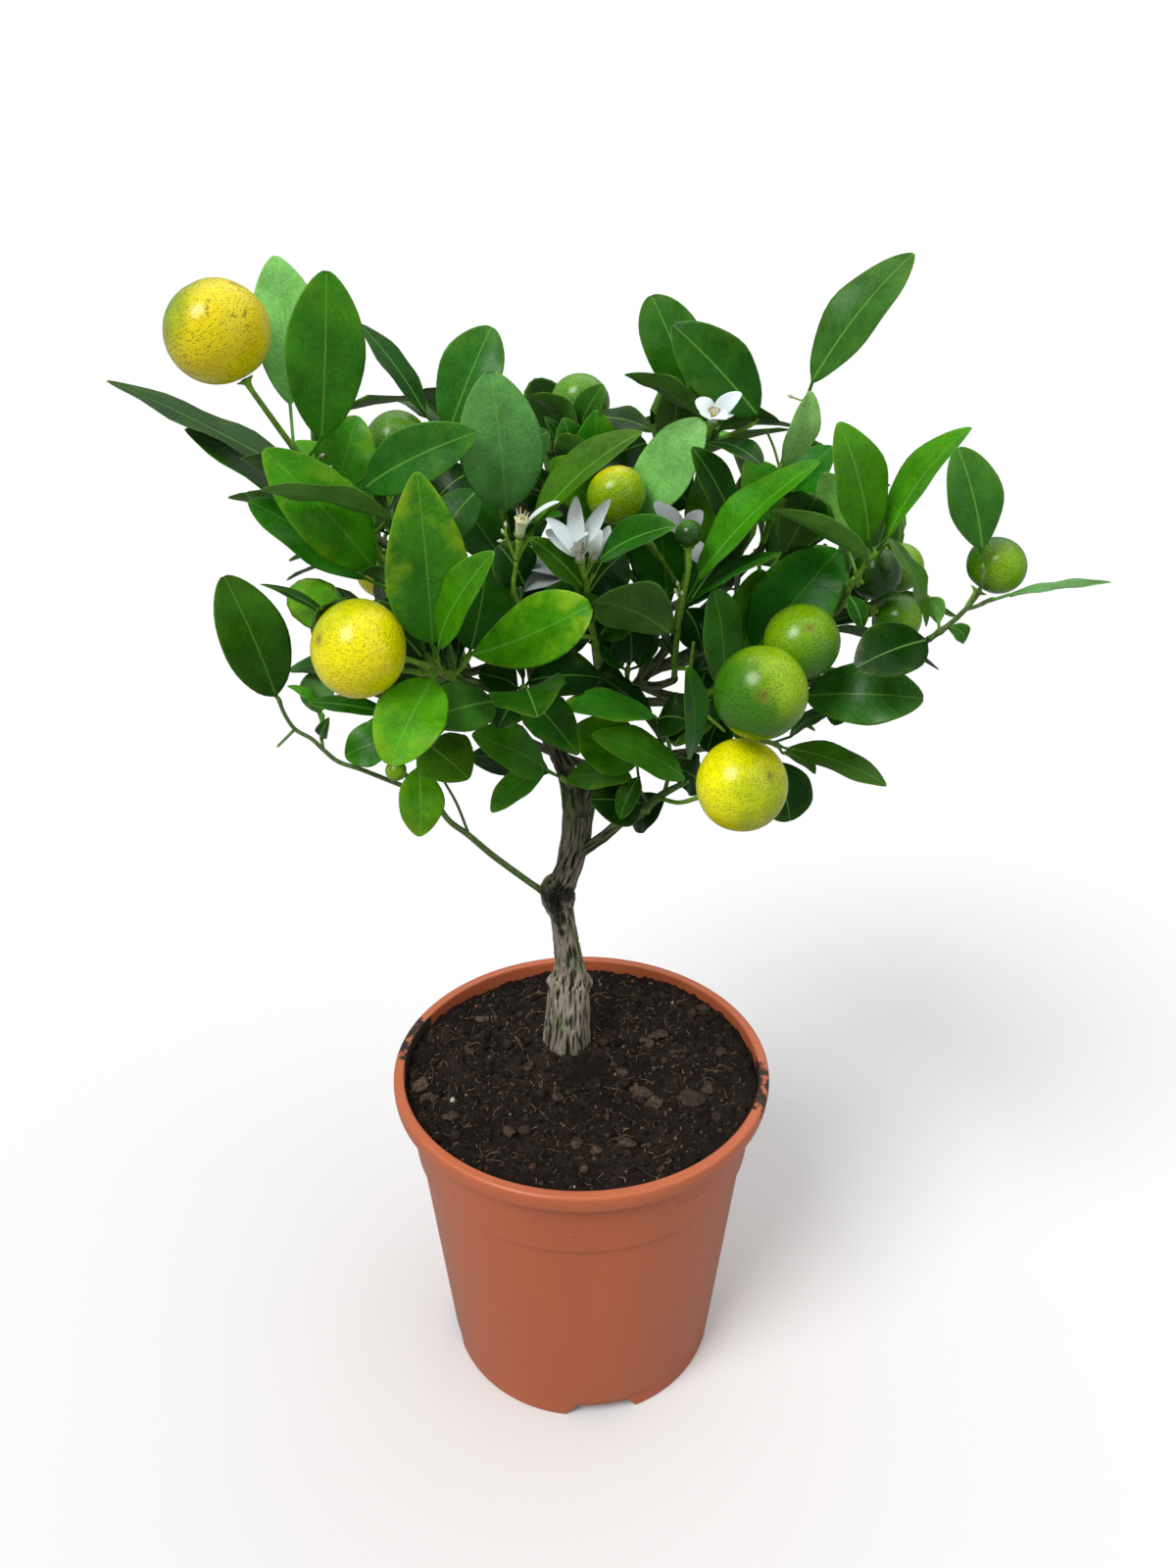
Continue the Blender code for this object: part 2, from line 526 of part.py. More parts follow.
                 (trace((301, 744, 18), (292, 753, 18), (284, 761, 18)), 0.7, 0.6),
                 (trace((330, 765, 18), (327, 745, 17), (330, 730, 16)), 0.7, 0.6),
                 (trace((430, 778, 18), (420, 765, 18), (408, 756, 16)), 0.9, 0.8)),
          fruits=(fruit("fruitlet_low_left", seen(404, 786, 30), 4.6,
                        trace((437, 800, 15), (416, 792, 24))),)),
    shoot("shoot_inner", trace((641, 716, -30), (640, 704, -24)),
          trace((640, 698, -20), (640, 688, -12), (641, 680, -6)), (1.2, 0.9),
          leaves=(
              leaf((636, 684), (600, 640), 6, 18, 40),
              leaf((643, 676), (640, 630), 4, 20, 20),
              leaf((652, 680), (669, 645), 2, 14, 30),
          )),
)

# Shoots on the sides that the picture doesn't show, and inside the crown
HIDDEN_SHOOTS = (
    shoot("shoot_back_left", [at(-23, 14, 389), at(-45, 40, 400), at(-60, 54, 408)],
          [at(-66, 59, 411), at(-90, 76, 425), at(-112, 86, 445)], (1.6, 0.9), grown=6,
          fruits=(fruit("fruit_back_left", at(-98, 90, 402), 13.5, [at(-91, 77, 426), at(-95, 86, 421)]),)),
    shoot("shoot_back_centre", [at(7, 48, 382), at(4, 62, 395), at(0, 72, 405)],
          [at(-1, 76, 410), at(-4, 88, 432), at(-10, 94, 462)], (1.6, 0.9), grown=6),
    shoot("shoot_back_right", [at(7, 48, 382), at(35, 58, 390), at(52, 66, 396)],
          [at(58, 69, 399), at(85, 80, 415), at(106, 86, 440)], (1.6, 0.9), grown=5,
          fruits=(fruit("fruit_back_right", at(91, 91, 388), 12.5, [at(84, 80, 415.5), at(87, 86, 407)]),)),
    shoot("shoot_back_low_left", [at(8, 32, 321), at(-20, 50, 325), at(-40, 64, 330)],
          [at(-46, 68, 332), at(-70, 80, 338), at(-92, 86, 352)], (1.5, 0.9), grown=5),
    shoot("shoot_back_low_right", [at(8, 32, 321), at(35, 52, 325), at(52, 66, 330)],
          [at(57, 70, 332), at(78, 82, 340), at(98, 86, 356)], (1.5, 0.9), grown=5),
    shoot("shoot_right_back", [at(31, 28, 373), at(60, 34, 378), at(85, 38, 382)],
          [at(92, 40, 384), at(118, 46, 392), at(140, 44, 408)], (1.5, 0.9), grown=6),
    shoot("shoot_left_back", [at(-23, 14, 389), at(-52, 30, 397), at(-76, 42, 406)],
          [at(-82, 46, 409), at(-102, 56, 422), at(-118, 62, 438)], (1.5, 0.9), grown=5),
    shoot("shoot_top_back_left", [at(-23, 14, 389), at(-27, 36, 420), at(-30, 46, 440)],
          [at(-32, 49, 447), at(-42, 55, 470), at(-56, 58, 492)], (1.4, 0.9), grown=5),
    shoot("shoot_top_back_right", [at(7, 48, 382), at(22, 52, 420), at(32, 55, 440)],
          [at(35, 56, 447), at(44, 60, 462), at(54, 62, 476)], (1.4, 0.9), grown=5),
    shoot("shoot_inner_left", [at(-23, 14, 389), at(-42, 6, 382), at(-56, 2, 380)],
          [at(-62, 0, 381), at(-80, -8, 388), at(-96, -14, 402)], (1.4, 0.9), grown=4),
    shoot("shoot_inner_right", [at(31, 28, 373), at(48, 18, 385), at(58, 12, 395)],
          [at(62, 10, 400), at(74, 6, 416), at(86, 2, 436)], (1.4, 0.9), grown=4),
    shoot("shoot_inner_centre", [at(7, 48, 382), at(5, 32, 395), at(4, 24, 405)],
          [at(4, 20, 411), at(2, 12, 428), at(0, 6, 446)], (1.4, 0.9), grown=3),
)

# The dome that the tips of the grown leaves stay within
DOME_CENTRE = at(0, 0, 398)
DOME_REACH = at(160, 108, 104)
DOME_POWER = 3.5
GROWN_LENGTH = (42.0, 58.0)
GROWN_PETIOLE = 6.0
GROWN_SPREAD = 0.98
GROWN_VARIATION = 0.2
GROWN_STRETCH = (0.12, 0.98)
GROWN_RISE = 0.12
GROWN_FACING = (0.9, 0.7, 0.25)
GROWN_ARCH = 0.06
GROWN_TURNS = (0, 20, -20, 40, -40, 60, -60, 80, -80)
GROWN_SHIFTS = (0, 6, -6, 12, -12)
SEED = 7

# How far a leaf may be moved along the sight line to clear its neighbours, as steps for tip and base
SHIFTS = ((0, 0), (3, 0), (-3, 0), (6, 0), (-6, 0), (9, 3), (-9, -3), (4, 4), (-4, -4), (12, 4), (-12, -4),
          (8, 8), (-8, -8), (16, 6), (-16, -6), (12, 12), (-12, -12), (20, 10), (-20, -10), (26, 14),
          (-26, -14))
TURNS = (0.0, 14.0, -14.0)


def stem_tubes(plant):
    """The shoot's stems as (dense course, radii) and the stalks of its fruits and blooms."""
    main = smooth(plant["stem"], FINE * (len(plant["stem"]) - 1) + 1)
    main[0] += GAP * unit(main[1] - main[0])
    stems = [(main, np.linspace(*plant["thick"], len(main)))]
    for points, first, last in plant["sides"]:
        course = smooth(points, FINE * (len(points) - 1) + 1)
        stems.append((course, np.linspace(first, last, len(course))))
    stalks = []
    for one in plant["fruits"]:
        hang = one["stalk"][-1]
        axis = unit(hang - one["centre"])
        seat = one["centre"] + axis * (one["radius"] * FRUIT_FLATNESS + GAP)
        if np.linalg.norm(hang - seat) < STALK_DROP or np.dot(hang - seat, axis) < 0:
            hang = seat + axis * STALK_DROP
        course = np.vstack((one["stalk"][:-1], hang, seat + axis * CALYX_DEPTH, seat))
        radii = np.full(len(course), STALK_RADIUS)
        radii[-2:] = CALYX_NECK, min(CALYX_RADIUS, CALYX_SHARE * one["radius"])
        stalks.append((course, radii))
    for one in plant["blooms"]:
        course = np.array(one["stalk"])
        course[-1] -= GAP * unit(course[-1] - course[-2])
        stalks.append((course, np.linspace(*PEDICEL, len(course))))
    return stems, stalks


def nearest_on(stems, point):
    """The course and the index of the stem point that lies nearest, its ends left out."""
    best = None
    for course, _ in stems:
        gaps = np.linalg.norm(course[1:-1] - point, axis=1)
        index = int(np.argmin(gaps)) + 1
        if best is None or gaps[index - 1] < best[0]:
            best = (gaps[index - 1], course, index)
    return best[1], best[2]


def rooted(stems, base, tip):
    """The spot inside the stem that a petiole grows from: a little way back from the nearest point."""
    course, index = nearest_on(stems, base)
    reach = PETIOLE_LEAN * np.linalg.norm(base - course[index])
    while index > 2 and reach > 0:
        reach -= np.linalg.norm(course[index] - course[index - 1])
        index -= 1
    root = course[index]
    if np.linalg.norm(base - root) < SHORTEST_PETIOLE:
        base = root + SHORTEST_PETIOLE * unit(unit(base - root) + unit(tip - root))
    return root, base


def read_leaf(stems, read, tip_shift, base_shift, turn):
    """A leaf of the picture as points in space."""
    near = read["near"]
    if near is None:
        course, index = nearest_on(stems, seen(*read["base"], -stems[0][0][-1][1]))
        near = LEAF_LIFT - course[index][1]
    near += base_shift
    base = seen(*read["base"], near)
    tip = seen(*read["tip"], near + read["toward"] + tip_shift)
    root, base = rooted(stems, base, tip)
    along = unit(tip - base)
    facing = across(EYE - 0.5 * (base + tip), along)
    sky = np.cross(along, facing)
    if np.dot(sky, SKYWARD) < 0:
        sky = -sky
    roll = read["roll"] + math.radians(turn)
    top = facing * math.cos(roll) + sky * math.sin(roll)
    return dict(root=root, base=base, tip=tip, top=top, wide=read["wide"], arch=read["arch"],
                sweep=read["sweep"], fold=read["fold"])


def grow_leaf(stems, number, count, length, spread, tip_shift, turn):
    """A leaf that the spiral rule places on the main stem, pointing outward, its upper side to the sky."""
    course = stems[0][0]
    first_place, last_place = GROWN_STRETCH
    place = first_place + (last_place - first_place) * (number + 0.5) / count
    index = min(max(int(round(place * (len(course) - 1))), 1), len(course) - 2)
    along = unit(course[index + 1] - course[index - 1])
    first = across(UP if abs(along[2]) < 0.9 else RIGHT, along)
    other = np.cross(along, first)
    angle = number * GOLDEN_TURN + math.radians(turn)
    outward = math.cos(angle) * first + math.sin(angle) * other
    heading = unit(along * math.cos(spread) + outward * math.sin(spread) + GROWN_RISE * UP)
    root = course[index]
    base = root + GROWN_PETIOLE * unit(along + outward)
    tip = base + length * heading
    away = unit(tip - DOME_CENTRE)
    top = across(GROWN_FACING[0] * UP + GROWN_FACING[1] * away + GROWN_FACING[2] * along, heading)
    tip = tip + top * tip_shift
    return dict(root=root, base=base, tip=tip, top=top, wide=length * WIDTH_TO_LENGTH,
                arch=GROWN_ARCH * length, sweep=0.0, fold=math.radians(BLADE_FOLD))


def tree_of(points, faces):
    return BVHTree.FromPolygons([tuple(p) for p in points], faces)


class Crown:
    """What stands in the crown so far: every piece with its owner, its box and a tree of its faces."""

    def __init__(self):
        self.pieces = []

    def add(self, owner, points, faces):
        self.pieces.append((owner, points.min(axis=0), points.max(axis=0), tree_of(points, faces)))

    def clear(self, points, faces, owner=None, only=None):
        """Whether a shape crosses no piece, leaving out those of `owner`, or looking at those of `only`."""
        low, high = points.min(axis=0), points.max(axis=0)
        tree = None
        for name, piece_low, piece_high, piece in self.pieces:
            if name == owner or (only is not None and name != only):
                continue
            if np.any(piece_high < low) or np.any(piece_low > high):
                continue
            tree = tree or tree_of(points, faces)
            if tree.overlap(piece):
                return False
        return True


def beyond_petiole(points, faces):
    """The faces of a leaf that don't touch its root section or the blade's base."""
    return points, [face for face in faces if min(face) >= 4]


def placed_leaves(plants):
    """Every leaf that finds room, by shoot: those of the picture first, then the grown ones."""
    crown = Crown()
    for name, points, faces in wood_pieces(plants) + fruit_pieces(plants) + bloom_pieces(plants):
        crown.add(name, points, faces)
    courses = {}
    for plant in plants:
        stems, stalks = stem_tubes(plant)
        courses[plant["name"]] = stems
        for course, radii in stems:
            crown.add(plant["name"], *tube(course[::FINE], radii[::FINE] + CLEARANCE, STEM_SIDES))
        for course, radii in stalks:
            crown.add(plant["name"], *tube(course, radii + CLEARANCE, TWIG_SIDES))
    leaves = {plant["name"]: [] for plant in plants}

    def settle(owner, candidates, sections):
        for candidate in candidates:
            wide_shape = blade(candidate, sections, CLEARANCE)
            own_shape = beyond_petiole(*blade(candidate, sections))
            if crown.clear(*wide_shape, owner=owner) and crown.clear(*own_shape, only=owner):
                leaves[owner].append((candidate, sections))
                crown.add(owner, *beyond_petiole(*blade(candidate, sections)))
                return True
        return False

    for plant in plants:
        for read in plant["leaves"]:
            stems = courses[plant["name"]]
            tries = (read_leaf(stems, read, *shift, turn) for turn in TURNS for shift in SHIFTS)
            span = np.linalg.norm(seen(*read["tip"], MIDDLE_NEAR + read["toward"])
                                  - seen(*read["base"], MIDDLE_NEAR))
            settle(plant["name"], tries, BLADE_SECTIONS if span > SHORT_LEAF else PLAIN_SECTIONS)
    rng = np.random.default_rng(SEED)
    for plant in plants:
        for index in range(plant["grown"] or 0):
            length = rng.uniform(*GROWN_LENGTH)
            spread = GROWN_SPREAD + rng.uniform(-GROWN_VARIATION, GROWN_VARIATION)
            stems = courses[plant["name"]]
            tries = (grow_leaf(stems, index, plant["grown"], length, spread, shift, turn)
                     for turn in GROWN_TURNS for shift in GROWN_SHIFTS)
            inside = (one for one in tries
                      if np.sum(np.abs((one["tip"] - DOME_CENTRE) / DOME_REACH) ** DOME_POWER) < 1)
            settle(plant["name"], inside, PLAIN_SECTIONS)
    return leaves


def wood_pieces(plants):
    """The trunk, its leaders and the limbs that carry the shoots, each as a tube."""
    pieces = []
    for course, sides in [(TRUNK, TRUNK_SIDES)] + [(course, LEADER_SIDES) for course in LEADERS.values()]:
        points, radii = zip(*course)
        pieces.append(("trunk", *tube(points, radii, sides)))
    for plant in plants:
        main = smooth(plant["stem"], FINE * (len(plant["stem"]) - 1) + 1)
        ahead = unit(main[1] - main[0])
        line = plant["limb"] + [main[0] - LIMB_BEND * ahead, main[0]]
        start = plant["thick"][0]
        pieces.append(("trunk", *tube(line, np.linspace(start + LIMB_TAPER, start, len(line)), LIMB_SIDES)))
    return pieces


def fruit_pieces(plants):
    pieces = []
    for plant in plants:
        for one in plant["fruits"]:
            axis = unit(one["stalk"][-1] - one["centre"])
            around, rings = next((a, r) for least, a, r in FRUIT_GRIDS if one["radius"] > least)
            pieces.append((one["name"], *ball(one["centre"], axis, one["radius"], around, rings)))
    return pieces


def bloom_shapes(one):
    """The heart, the ring of stamens and the petals of a bloom."""
    heart = one["stalk"][-1]
    axis = unit(heart - one["stalk"][-2])
    heights, radii = zip(*HEART, (one["stamens"], STAMEN_SPREAD))
    shapes = [tube([heart + axis * height for height in heights], radii, HEART_SIDES)]
    for tip in one["petals"]:
        root = heart + axis * PETAL_SEAT
        base = root + PETAL_CLAW * unit(unit(tip - root) + PETAL_LIFT * axis)
        along = unit(tip - base)
        top = across(axis if abs(np.dot(axis, along)) < 0.95 else unit(EYE - base), along)
        petal = dict(root=root, base=base, tip=tip, top=top, wide=one["wide"], arch=PETAL_ARCH, sweep=0.0,
                     fold=PETAL_FOLD)
        shapes.append(blade(petal, PETAL_SECTIONS))
    return shapes


def bloom_pieces(plants):
    return [(one["name"], points, faces) for plant in plants for one in plant["blooms"]
            for points, faces in bloom_shapes(one)]


def material(name, colour, roughness):
    found = bpy.data.materials.new(name)
    found.use_nodes = True
    shader = found.node_tree.nodes["Principled BSDF"]
    shader.inputs["Base Color"].default_value = (*colour, 1.0)
    shader.inputs["Roughness"].default_value = roughness
    shader.inputs["Metallic"].default_value = 0.0
    return found


def solid(name, points, faces, finish=None):
    """An object from points in millimetres, turned right side out."""
    mesh = bpy.data.meshes.new(name)
    mesh.from_pydata([tuple(p * MM) for p in points], [], [tuple(f) for f in faces])
    build = bmesh.new()
    build.from_mesh(mesh)
    bmesh.ops.recalc_face_normals(build, faces=build.faces)
    if build.calc_volume(signed=True) < 0:
        bmesh.ops.reverse_faces(build, faces=build.faces)
    build.to_mesh(mesh)
    build.free()
    made = bpy.data.objects.new(name, mesh)
    bpy.context.scene.collection.objects.link(made)
    if finish:
        finish_with(made, finish)
    return made


def finish_with(made, finish):
    made.data.materials.clear()
    made.data.materials.append(finish)
    made.data.shade_smooth()
    made.data.set_sharp_from_angle(angle=SHARP_ANGLE)


def fused(name, shapes, finish):
    """One object from overlapping closed shapes, joined by one Boolean union on a collection."""
    first, rest = shapes[0], shapes[1:]
    made = solid(name, *first)
    group = bpy.data.collections.new(name + "_parts")
    bpy.context.scene.collection.children.link(group)
    for index, (points, faces) in enumerate(rest):
        piece = solid(f"{name}_part_{index}", points, faces)
        bpy.context.scene.collection.objects.unlink(piece)
        group.objects.link(piece)
    join = made.modifiers.new("join", "BOOLEAN")
    join.operation = "UNION"
    join.operand_type = "COLLECTION"
    join.collection = group
    join.solver = "EXACT"
    apply_modifiers(made)
    for piece in list(group.objects):
        bpy.data.objects.remove(piece)
    bpy.data.collections.remove(group)
    finish_with(made, finish)
    return made


def apply_modifiers(made):
    """Replaces the object's mesh with the one its modifiers give."""
    bpy.context.view_layer.update()
    evaluated = made.evaluated_get(bpy.context.evaluated_depsgraph_get())
    mesh = bpy.data.meshes.new_from_object(evaluated)
    made.modifiers.clear()
    made.data = mesh


def turned(profile, sides):
    """A ring-shaped solid: the profile, as (radius, height) points, carried once round the pot's axis."""
    angles = np.arange(sides) * 2 * math.pi / sides
    points = [(r * math.cos(a), r * math.sin(a), z) for r, z in profile for a in angles]
    faces = []
    for ring in range(len(profile)):
        for k in range(sides):
            a, b = ring * sides + k, ring * sides + (k + 1) % sides
            after = ((ring + 1) % len(profile)) * sides
            faces.append((a, b, after + (k + 1) % sides, after + k))
    return np.array(points), faces


def cut(made, cutters):
    """Takes closed shapes out of an object."""
    made_cutters = []
    for index, (points, faces) in enumerate(cutters):
        cutter = solid(f"{made.name}_cutter_{index}", points, faces)
        cutter.hide_render = True
        cutter.display_type = "WIRE"
        remove = made.modifiers.new(f"cut_{index}", "BOOLEAN")
        remove.operation = "DIFFERENCE"
        remove.object = cutter
        remove.solver = "EXACT"
        made_cutters.append(cutter)
    apply_modifiers(made)
    for cutter in made_cutters:
        bpy.data.objects.remove(cutter)


def wedge(centre, along, across_halves, along_half, low, high):
    """An upright block with one side along a given direction, and half as wide across it as the two
    given values, one at its foot and one at its top."""
    along = unit(at(along[0], along[1], 0))
    over = np.cross(UP, along)
    points = [centre + along * a * along_half + over * b * half + UP * z
              for z, half in zip((low, high), across_halves) for a, b in ((-1, -1), (1, -1), (1, 1), (-1, 1))]
    faces = [(3, 2, 1, 0), (4, 5, 6, 7), (0, 1, 5, 4), (1, 2, 6, 5), (2, 3, 7, 6), (3, 0, 4, 7)]
    return np.array(points), faces


def heading(angle):
    """The level direction at an angle about the pot's axis."""
    return at(math.cos(angle), math.sin(angle), 0)


def inner_radius(height):
    """The radius of the pot's inner wall at a height."""
    heights = (FLOOR_UNDERSIDE + FLOOR_THICKNESS, POT_HEIGHT - COLLAR_DROP, POT_HEIGHT - LIP_HEIGHT,
               POT_HEIGHT)
    mouth = RIM_RADIUS - LIP_WIDTH
    radii = (FOOT_LINE_RADIUS - WALL, COLLAR_RADIUS - COLLAR_STEP - WALL, mouth, mouth)
    return float(np.interp(height, heights, radii))


def build_pot():
    """The pot: its walls turned in one, a disc on either side of its floor, then its holes."""
    lip_low = POT_HEIGHT - LIP_HEIGHT
    step = POT_HEIGHT - COLLAR_DROP
    floor_top = FLOOR_UNDERSIDE + FLOOR_THICKNESS
    profile = (
        (FOOT_RADIUS - FOOT_WALL, FLOOR_UNDERSIDE), (FOOT_RADIUS - FOOT_WALL, 0.0), (FOOT_RADIUS, 0.0),
        (FOOT_LINE_RADIUS, FOOT_HEIGHT), (COLLAR_RADIUS - COLLAR_STEP, step - COLLAR_STEP),
        (COLLAR_RADIUS, step), (SHOULDER_RADIUS, lip_low - LIP_ROUND), (RIM_RADIUS, lip_low),
        (RIM_RADIUS, POT_HEIGHT - LIP_ROUND), (RIM_RADIUS - LIP_ROUND, POT_HEIGHT),
        (RIM_RADIUS - LIP_WIDTH, POT_HEIGHT), (inner_radius(lip_low), lip_low), (inner_radius(step), step),
        (inner_radius(floor_top), floor_top),
    )
    points, faces = turned(profile, POT_SIDES)
    faces = faces[:-POT_SIDES]
    faces.append(tuple(range(POT_SIDES)))
    faces.append(tuple((len(profile) - 1) * POT_SIDES + k for k in range(POT_SIDES)))
    pot = solid("pot", points, faces, material("terracotta plastic", (0.52, 0.17, 0.075), 0.42))
    cutters = []
    slope = (NOTCH_FOOT_WIDTH - NOTCH_TOP_WIDTH) / 2 / NOTCH_HEIGHT
    halves = (NOTCH_FOOT_WIDTH / 2 + OVERSHOOT * slope, NOTCH_TOP_WIDTH / 2)
    for index in range(NOTCH_COUNT):
        out = heading(FIRST_NOTCH + index * 2 * math.pi / NOTCH_COUNT)
        reach = FOOT_WALL + 2 * OVERSHOOT
        cutters.append(wedge(out * FOOT_RADIUS, out, halves, reach, -OVERSHOOT, NOTCH_HEIGHT))
    for index in range(DRAIN_COUNT):
        out = heading(FIRST_NOTCH + index * 2 * math.pi / DRAIN_COUNT)
        line = [out * DRAIN_CIRCLE + UP * z for z in (FLOOR_UNDERSIDE - OVERSHOOT, floor_top + OVERSHOOT)]
        cutters.append(tube(line, DRAIN_RADIUS, DRAIN_SIDES))
    cut(pot, cutters)
    return pot


def build_soil():
    """Compost: rings up the pot's inner wall, then inward over an uneven top, then down the trunk's hole."""
    floor_gap = FLOOR_UNDERSIDE + FLOOR_THICKNESS + GAP
    mouth = inner_radius(SOIL_TOP) - GAP
    middle = at(TRUNK[0][0][0], TRUNK[0][0][1], 0)
    hole = TRUNK[1][1] + TRUNK_CLEARANCE
    angles = np.arange(POT_SIDES) * 2 * math.pi / POT_SIDES
    circle = np.stack((np.cos(angles), np.sin(angles), 0 * angles), 1)
    rng = np.random.default_rng(SEED)
    rings = [circle * (inner_radius(height) - GAP) + UP * height for height in (floor_gap,
        POT_HEIGHT - COLLAR_DROP)]
    for share in SOIL_RINGS:
        height = SOIL_TOP + rng.uniform(-SOIL_RELIEF, SOIL_RELIEF, POT_SIDES)
        rings.append(circle * (hole + (mouth - hole) * share) + middle * (1 - share) + UP * height[:, None])
    rings.append(circle * hole + middle + UP * (TRUNK[0][0][2] - GAP))
    faces = []
    for ring in range(len(rings) - 1):
        for k in range(POT_SIDES):
            a, b = ring * POT_SIDES + k, ring * POT_SIDES + (k + 1) % POT_SIDES
            faces.append((a, b, b + POT_SIDES, a + POT_SIDES))
    faces.append(tuple(range(POT_SIDES))[::-1])
    faces.append(tuple((len(rings) - 1) * POT_SIDES + k for k in range(POT_SIDES)))
    return solid("soil", np.vstack(rings), faces, material("compost", (0.035, 0.02, 0.014), 0.95))


def main():
    for old in list(bpy.data.objects):
        bpy.data.objects.remove(old)
    build_pot()
    build_soil()
    plants = SHOOTS + HIDDEN_SHOOTS
    bark = material("bark", (0.16, 0.12, 0.085), 0.85)
    green = material("leaf", (0.05, 0.16, 0.02), 0.38)
    skin = material("fruit skin", (0.75, 0.62, 0.04), 0.35)
    white = material("petal", (0.85, 0.88, 0.86), 0.5)
    fused("trunk", [(points, faces) for _, points, faces in wood_pieces(plants)], bark)
    for name, points, faces in fruit_pieces(plants):
        solid(name, points, faces, skin)
    for plant in plants:
        for one in plant["blooms"]:
            fused(one["name"], bloom_shapes(one), white)
    leaves = placed_leaves(plants)
    for plant in plants:
        stems, stalks = stem_tubes(plant)
        shapes = [tube(stems[0][0][::FINE], stems[0][1][::FINE], STEM_SIDES)]
        shapes += [tube(course[::FINE], radii[::FINE], TWIG_SIDES) for course, radii in stems[1:]]
        shapes += [tube(course, radii, TWIG_SIDES) for course, radii in stalks]
        shapes += [blade(one, sections) for one, sections in leaves[plant["name"]]]
        fused(plant["name"], shapes, green)


main()
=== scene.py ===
"""A potted calamondin: the looks of its pot, compost, bark, leaves, fruits and blooms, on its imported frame.

The rule that places stems and leaves works in millimetres, with the origin on the pot's axis at the
floor, +Z up and the viewer on the -Y side. MM turns its points into metres as a mesh is made.
"""

import math

import bpy
import numpy as np
from bpy.props import FloatProperty, FloatVectorProperty, IntProperty, PointerProperty
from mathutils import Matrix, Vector
from mathutils.bvhtree import BVHTree


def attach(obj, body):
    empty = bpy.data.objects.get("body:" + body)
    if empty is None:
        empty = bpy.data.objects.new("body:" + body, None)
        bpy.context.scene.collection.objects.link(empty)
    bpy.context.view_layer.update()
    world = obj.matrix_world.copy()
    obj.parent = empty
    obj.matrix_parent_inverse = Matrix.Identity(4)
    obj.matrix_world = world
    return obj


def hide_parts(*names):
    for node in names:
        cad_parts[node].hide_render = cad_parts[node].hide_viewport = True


bl_info = {
    "name": "Potted calamondin",
    "version": (1, 0, 0),
    "blender": (4, 5, 0),
    "location": "3D View > Sidebar > Calamondin",
    "description": "Makes the pieces of a potted citrus tree on its packed frame",
    "category": "Add Mesh",
}

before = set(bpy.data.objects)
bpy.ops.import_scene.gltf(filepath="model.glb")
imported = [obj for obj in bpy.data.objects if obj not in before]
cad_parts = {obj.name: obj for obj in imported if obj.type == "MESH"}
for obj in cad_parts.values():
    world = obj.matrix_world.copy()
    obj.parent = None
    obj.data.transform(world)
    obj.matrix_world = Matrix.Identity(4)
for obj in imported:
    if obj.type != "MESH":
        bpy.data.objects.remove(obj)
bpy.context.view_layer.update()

MM = 0.001
GAP = 0.3
SEED = 7

# Pot
RIM_RADIUS = 95.0
POT_HEIGHT = 173.0
WALL = 2.2
LIP_HEIGHT = 9.0
LIP_WIDTH = 5.5
COLLAR_DROP = 42.0
COLLAR_RADIUS = 85.6
COLLAR_STEP = 1.8
SHOULDER_RADIUS = 88.6
FOOT_LINE_RADIUS = 71.8
FOOT_RADIUS = 71.0
FOOT_HEIGHT = 10.0
FOOT_WALL = 3.0
FLOOR_UNDERSIDE = 8.0
FLOOR_THICKNESS = 2.4
NOTCH_COUNT = 4
NOTCH_FOOT_WIDTH = 37.0
NOTCH_TOP_WIDTH = 25.5
NOTCH_HEIGHT = 7.5
FIRST_NOTCH = math.radians(-81.5)
DRAIN_COUNT = 6
DRAIN_RADIUS = 4.5
DRAIN_CIRCLE = 48.0
SOIL_TOP = 167.0

# Leaves, stems, fruits and blooms, as the frame has them
BLADE_THICKNESS = 1.3
PETIOLE_HALF = 0.75
PLAIN_OUTLINE = (0.92, 0.78)
BLADE_SECTIONS = (0.2, 0.52, 0.82)
PLAIN_SECTIONS = (0.3, 0.72)
WIDTH_TO_LENGTH = 0.46
BLADE_FOLD = 9.0
PETIOLE_LEAN = 0.45
SHORTEST_PETIOLE = 3.0
LEAF_LIFT = 2.0
STEM_SIDES = 5
TWIG_SIDES = 4
TRUNK_SIDES = 10
LEADER_SIDES = 6
LIMB_SIDES = 4
LIMB_BEND = 3.0
LIMB_TAPER = 0.7
SHORT_LEAF = 34.0
MIDDLE_NEAR = 30.0
FINE = 12
CALYX_RADIUS = 3.0
CALYX_SHARE = 0.5
CALYX_DEPTH = 1.8
CALYX_NECK = 1.3
STALK_RADIUS = 1.0
STALK_DROP = 4.0
FRUIT_FLATNESS = 0.93
FRUIT_GRIDS = ((13.0, 10, 7), (7.0, 8, 6), (0.0, 6, 5))
GOLDEN_TURN = math.radians(137.5)
CLEARANCE = 0.45
HEART = ((0.0, 1.3), (1.6, 2.3), (3.2, 1.5))
HEART_SIDES = 6
STAMEN_SPREAD = 2.5
PETAL_SEAT = 1.2
PETAL_CLAW = 2.2
PETAL_LIFT = 0.4
PETAL_ARCH = 1.0
PETAL_FOLD = 0.05
PETAL_SECTIONS = (0.6,)
PETAL_ALIGNED = 0.95
CALYX_LOBES = 5
PEDICEL = (0.8, 1.2)

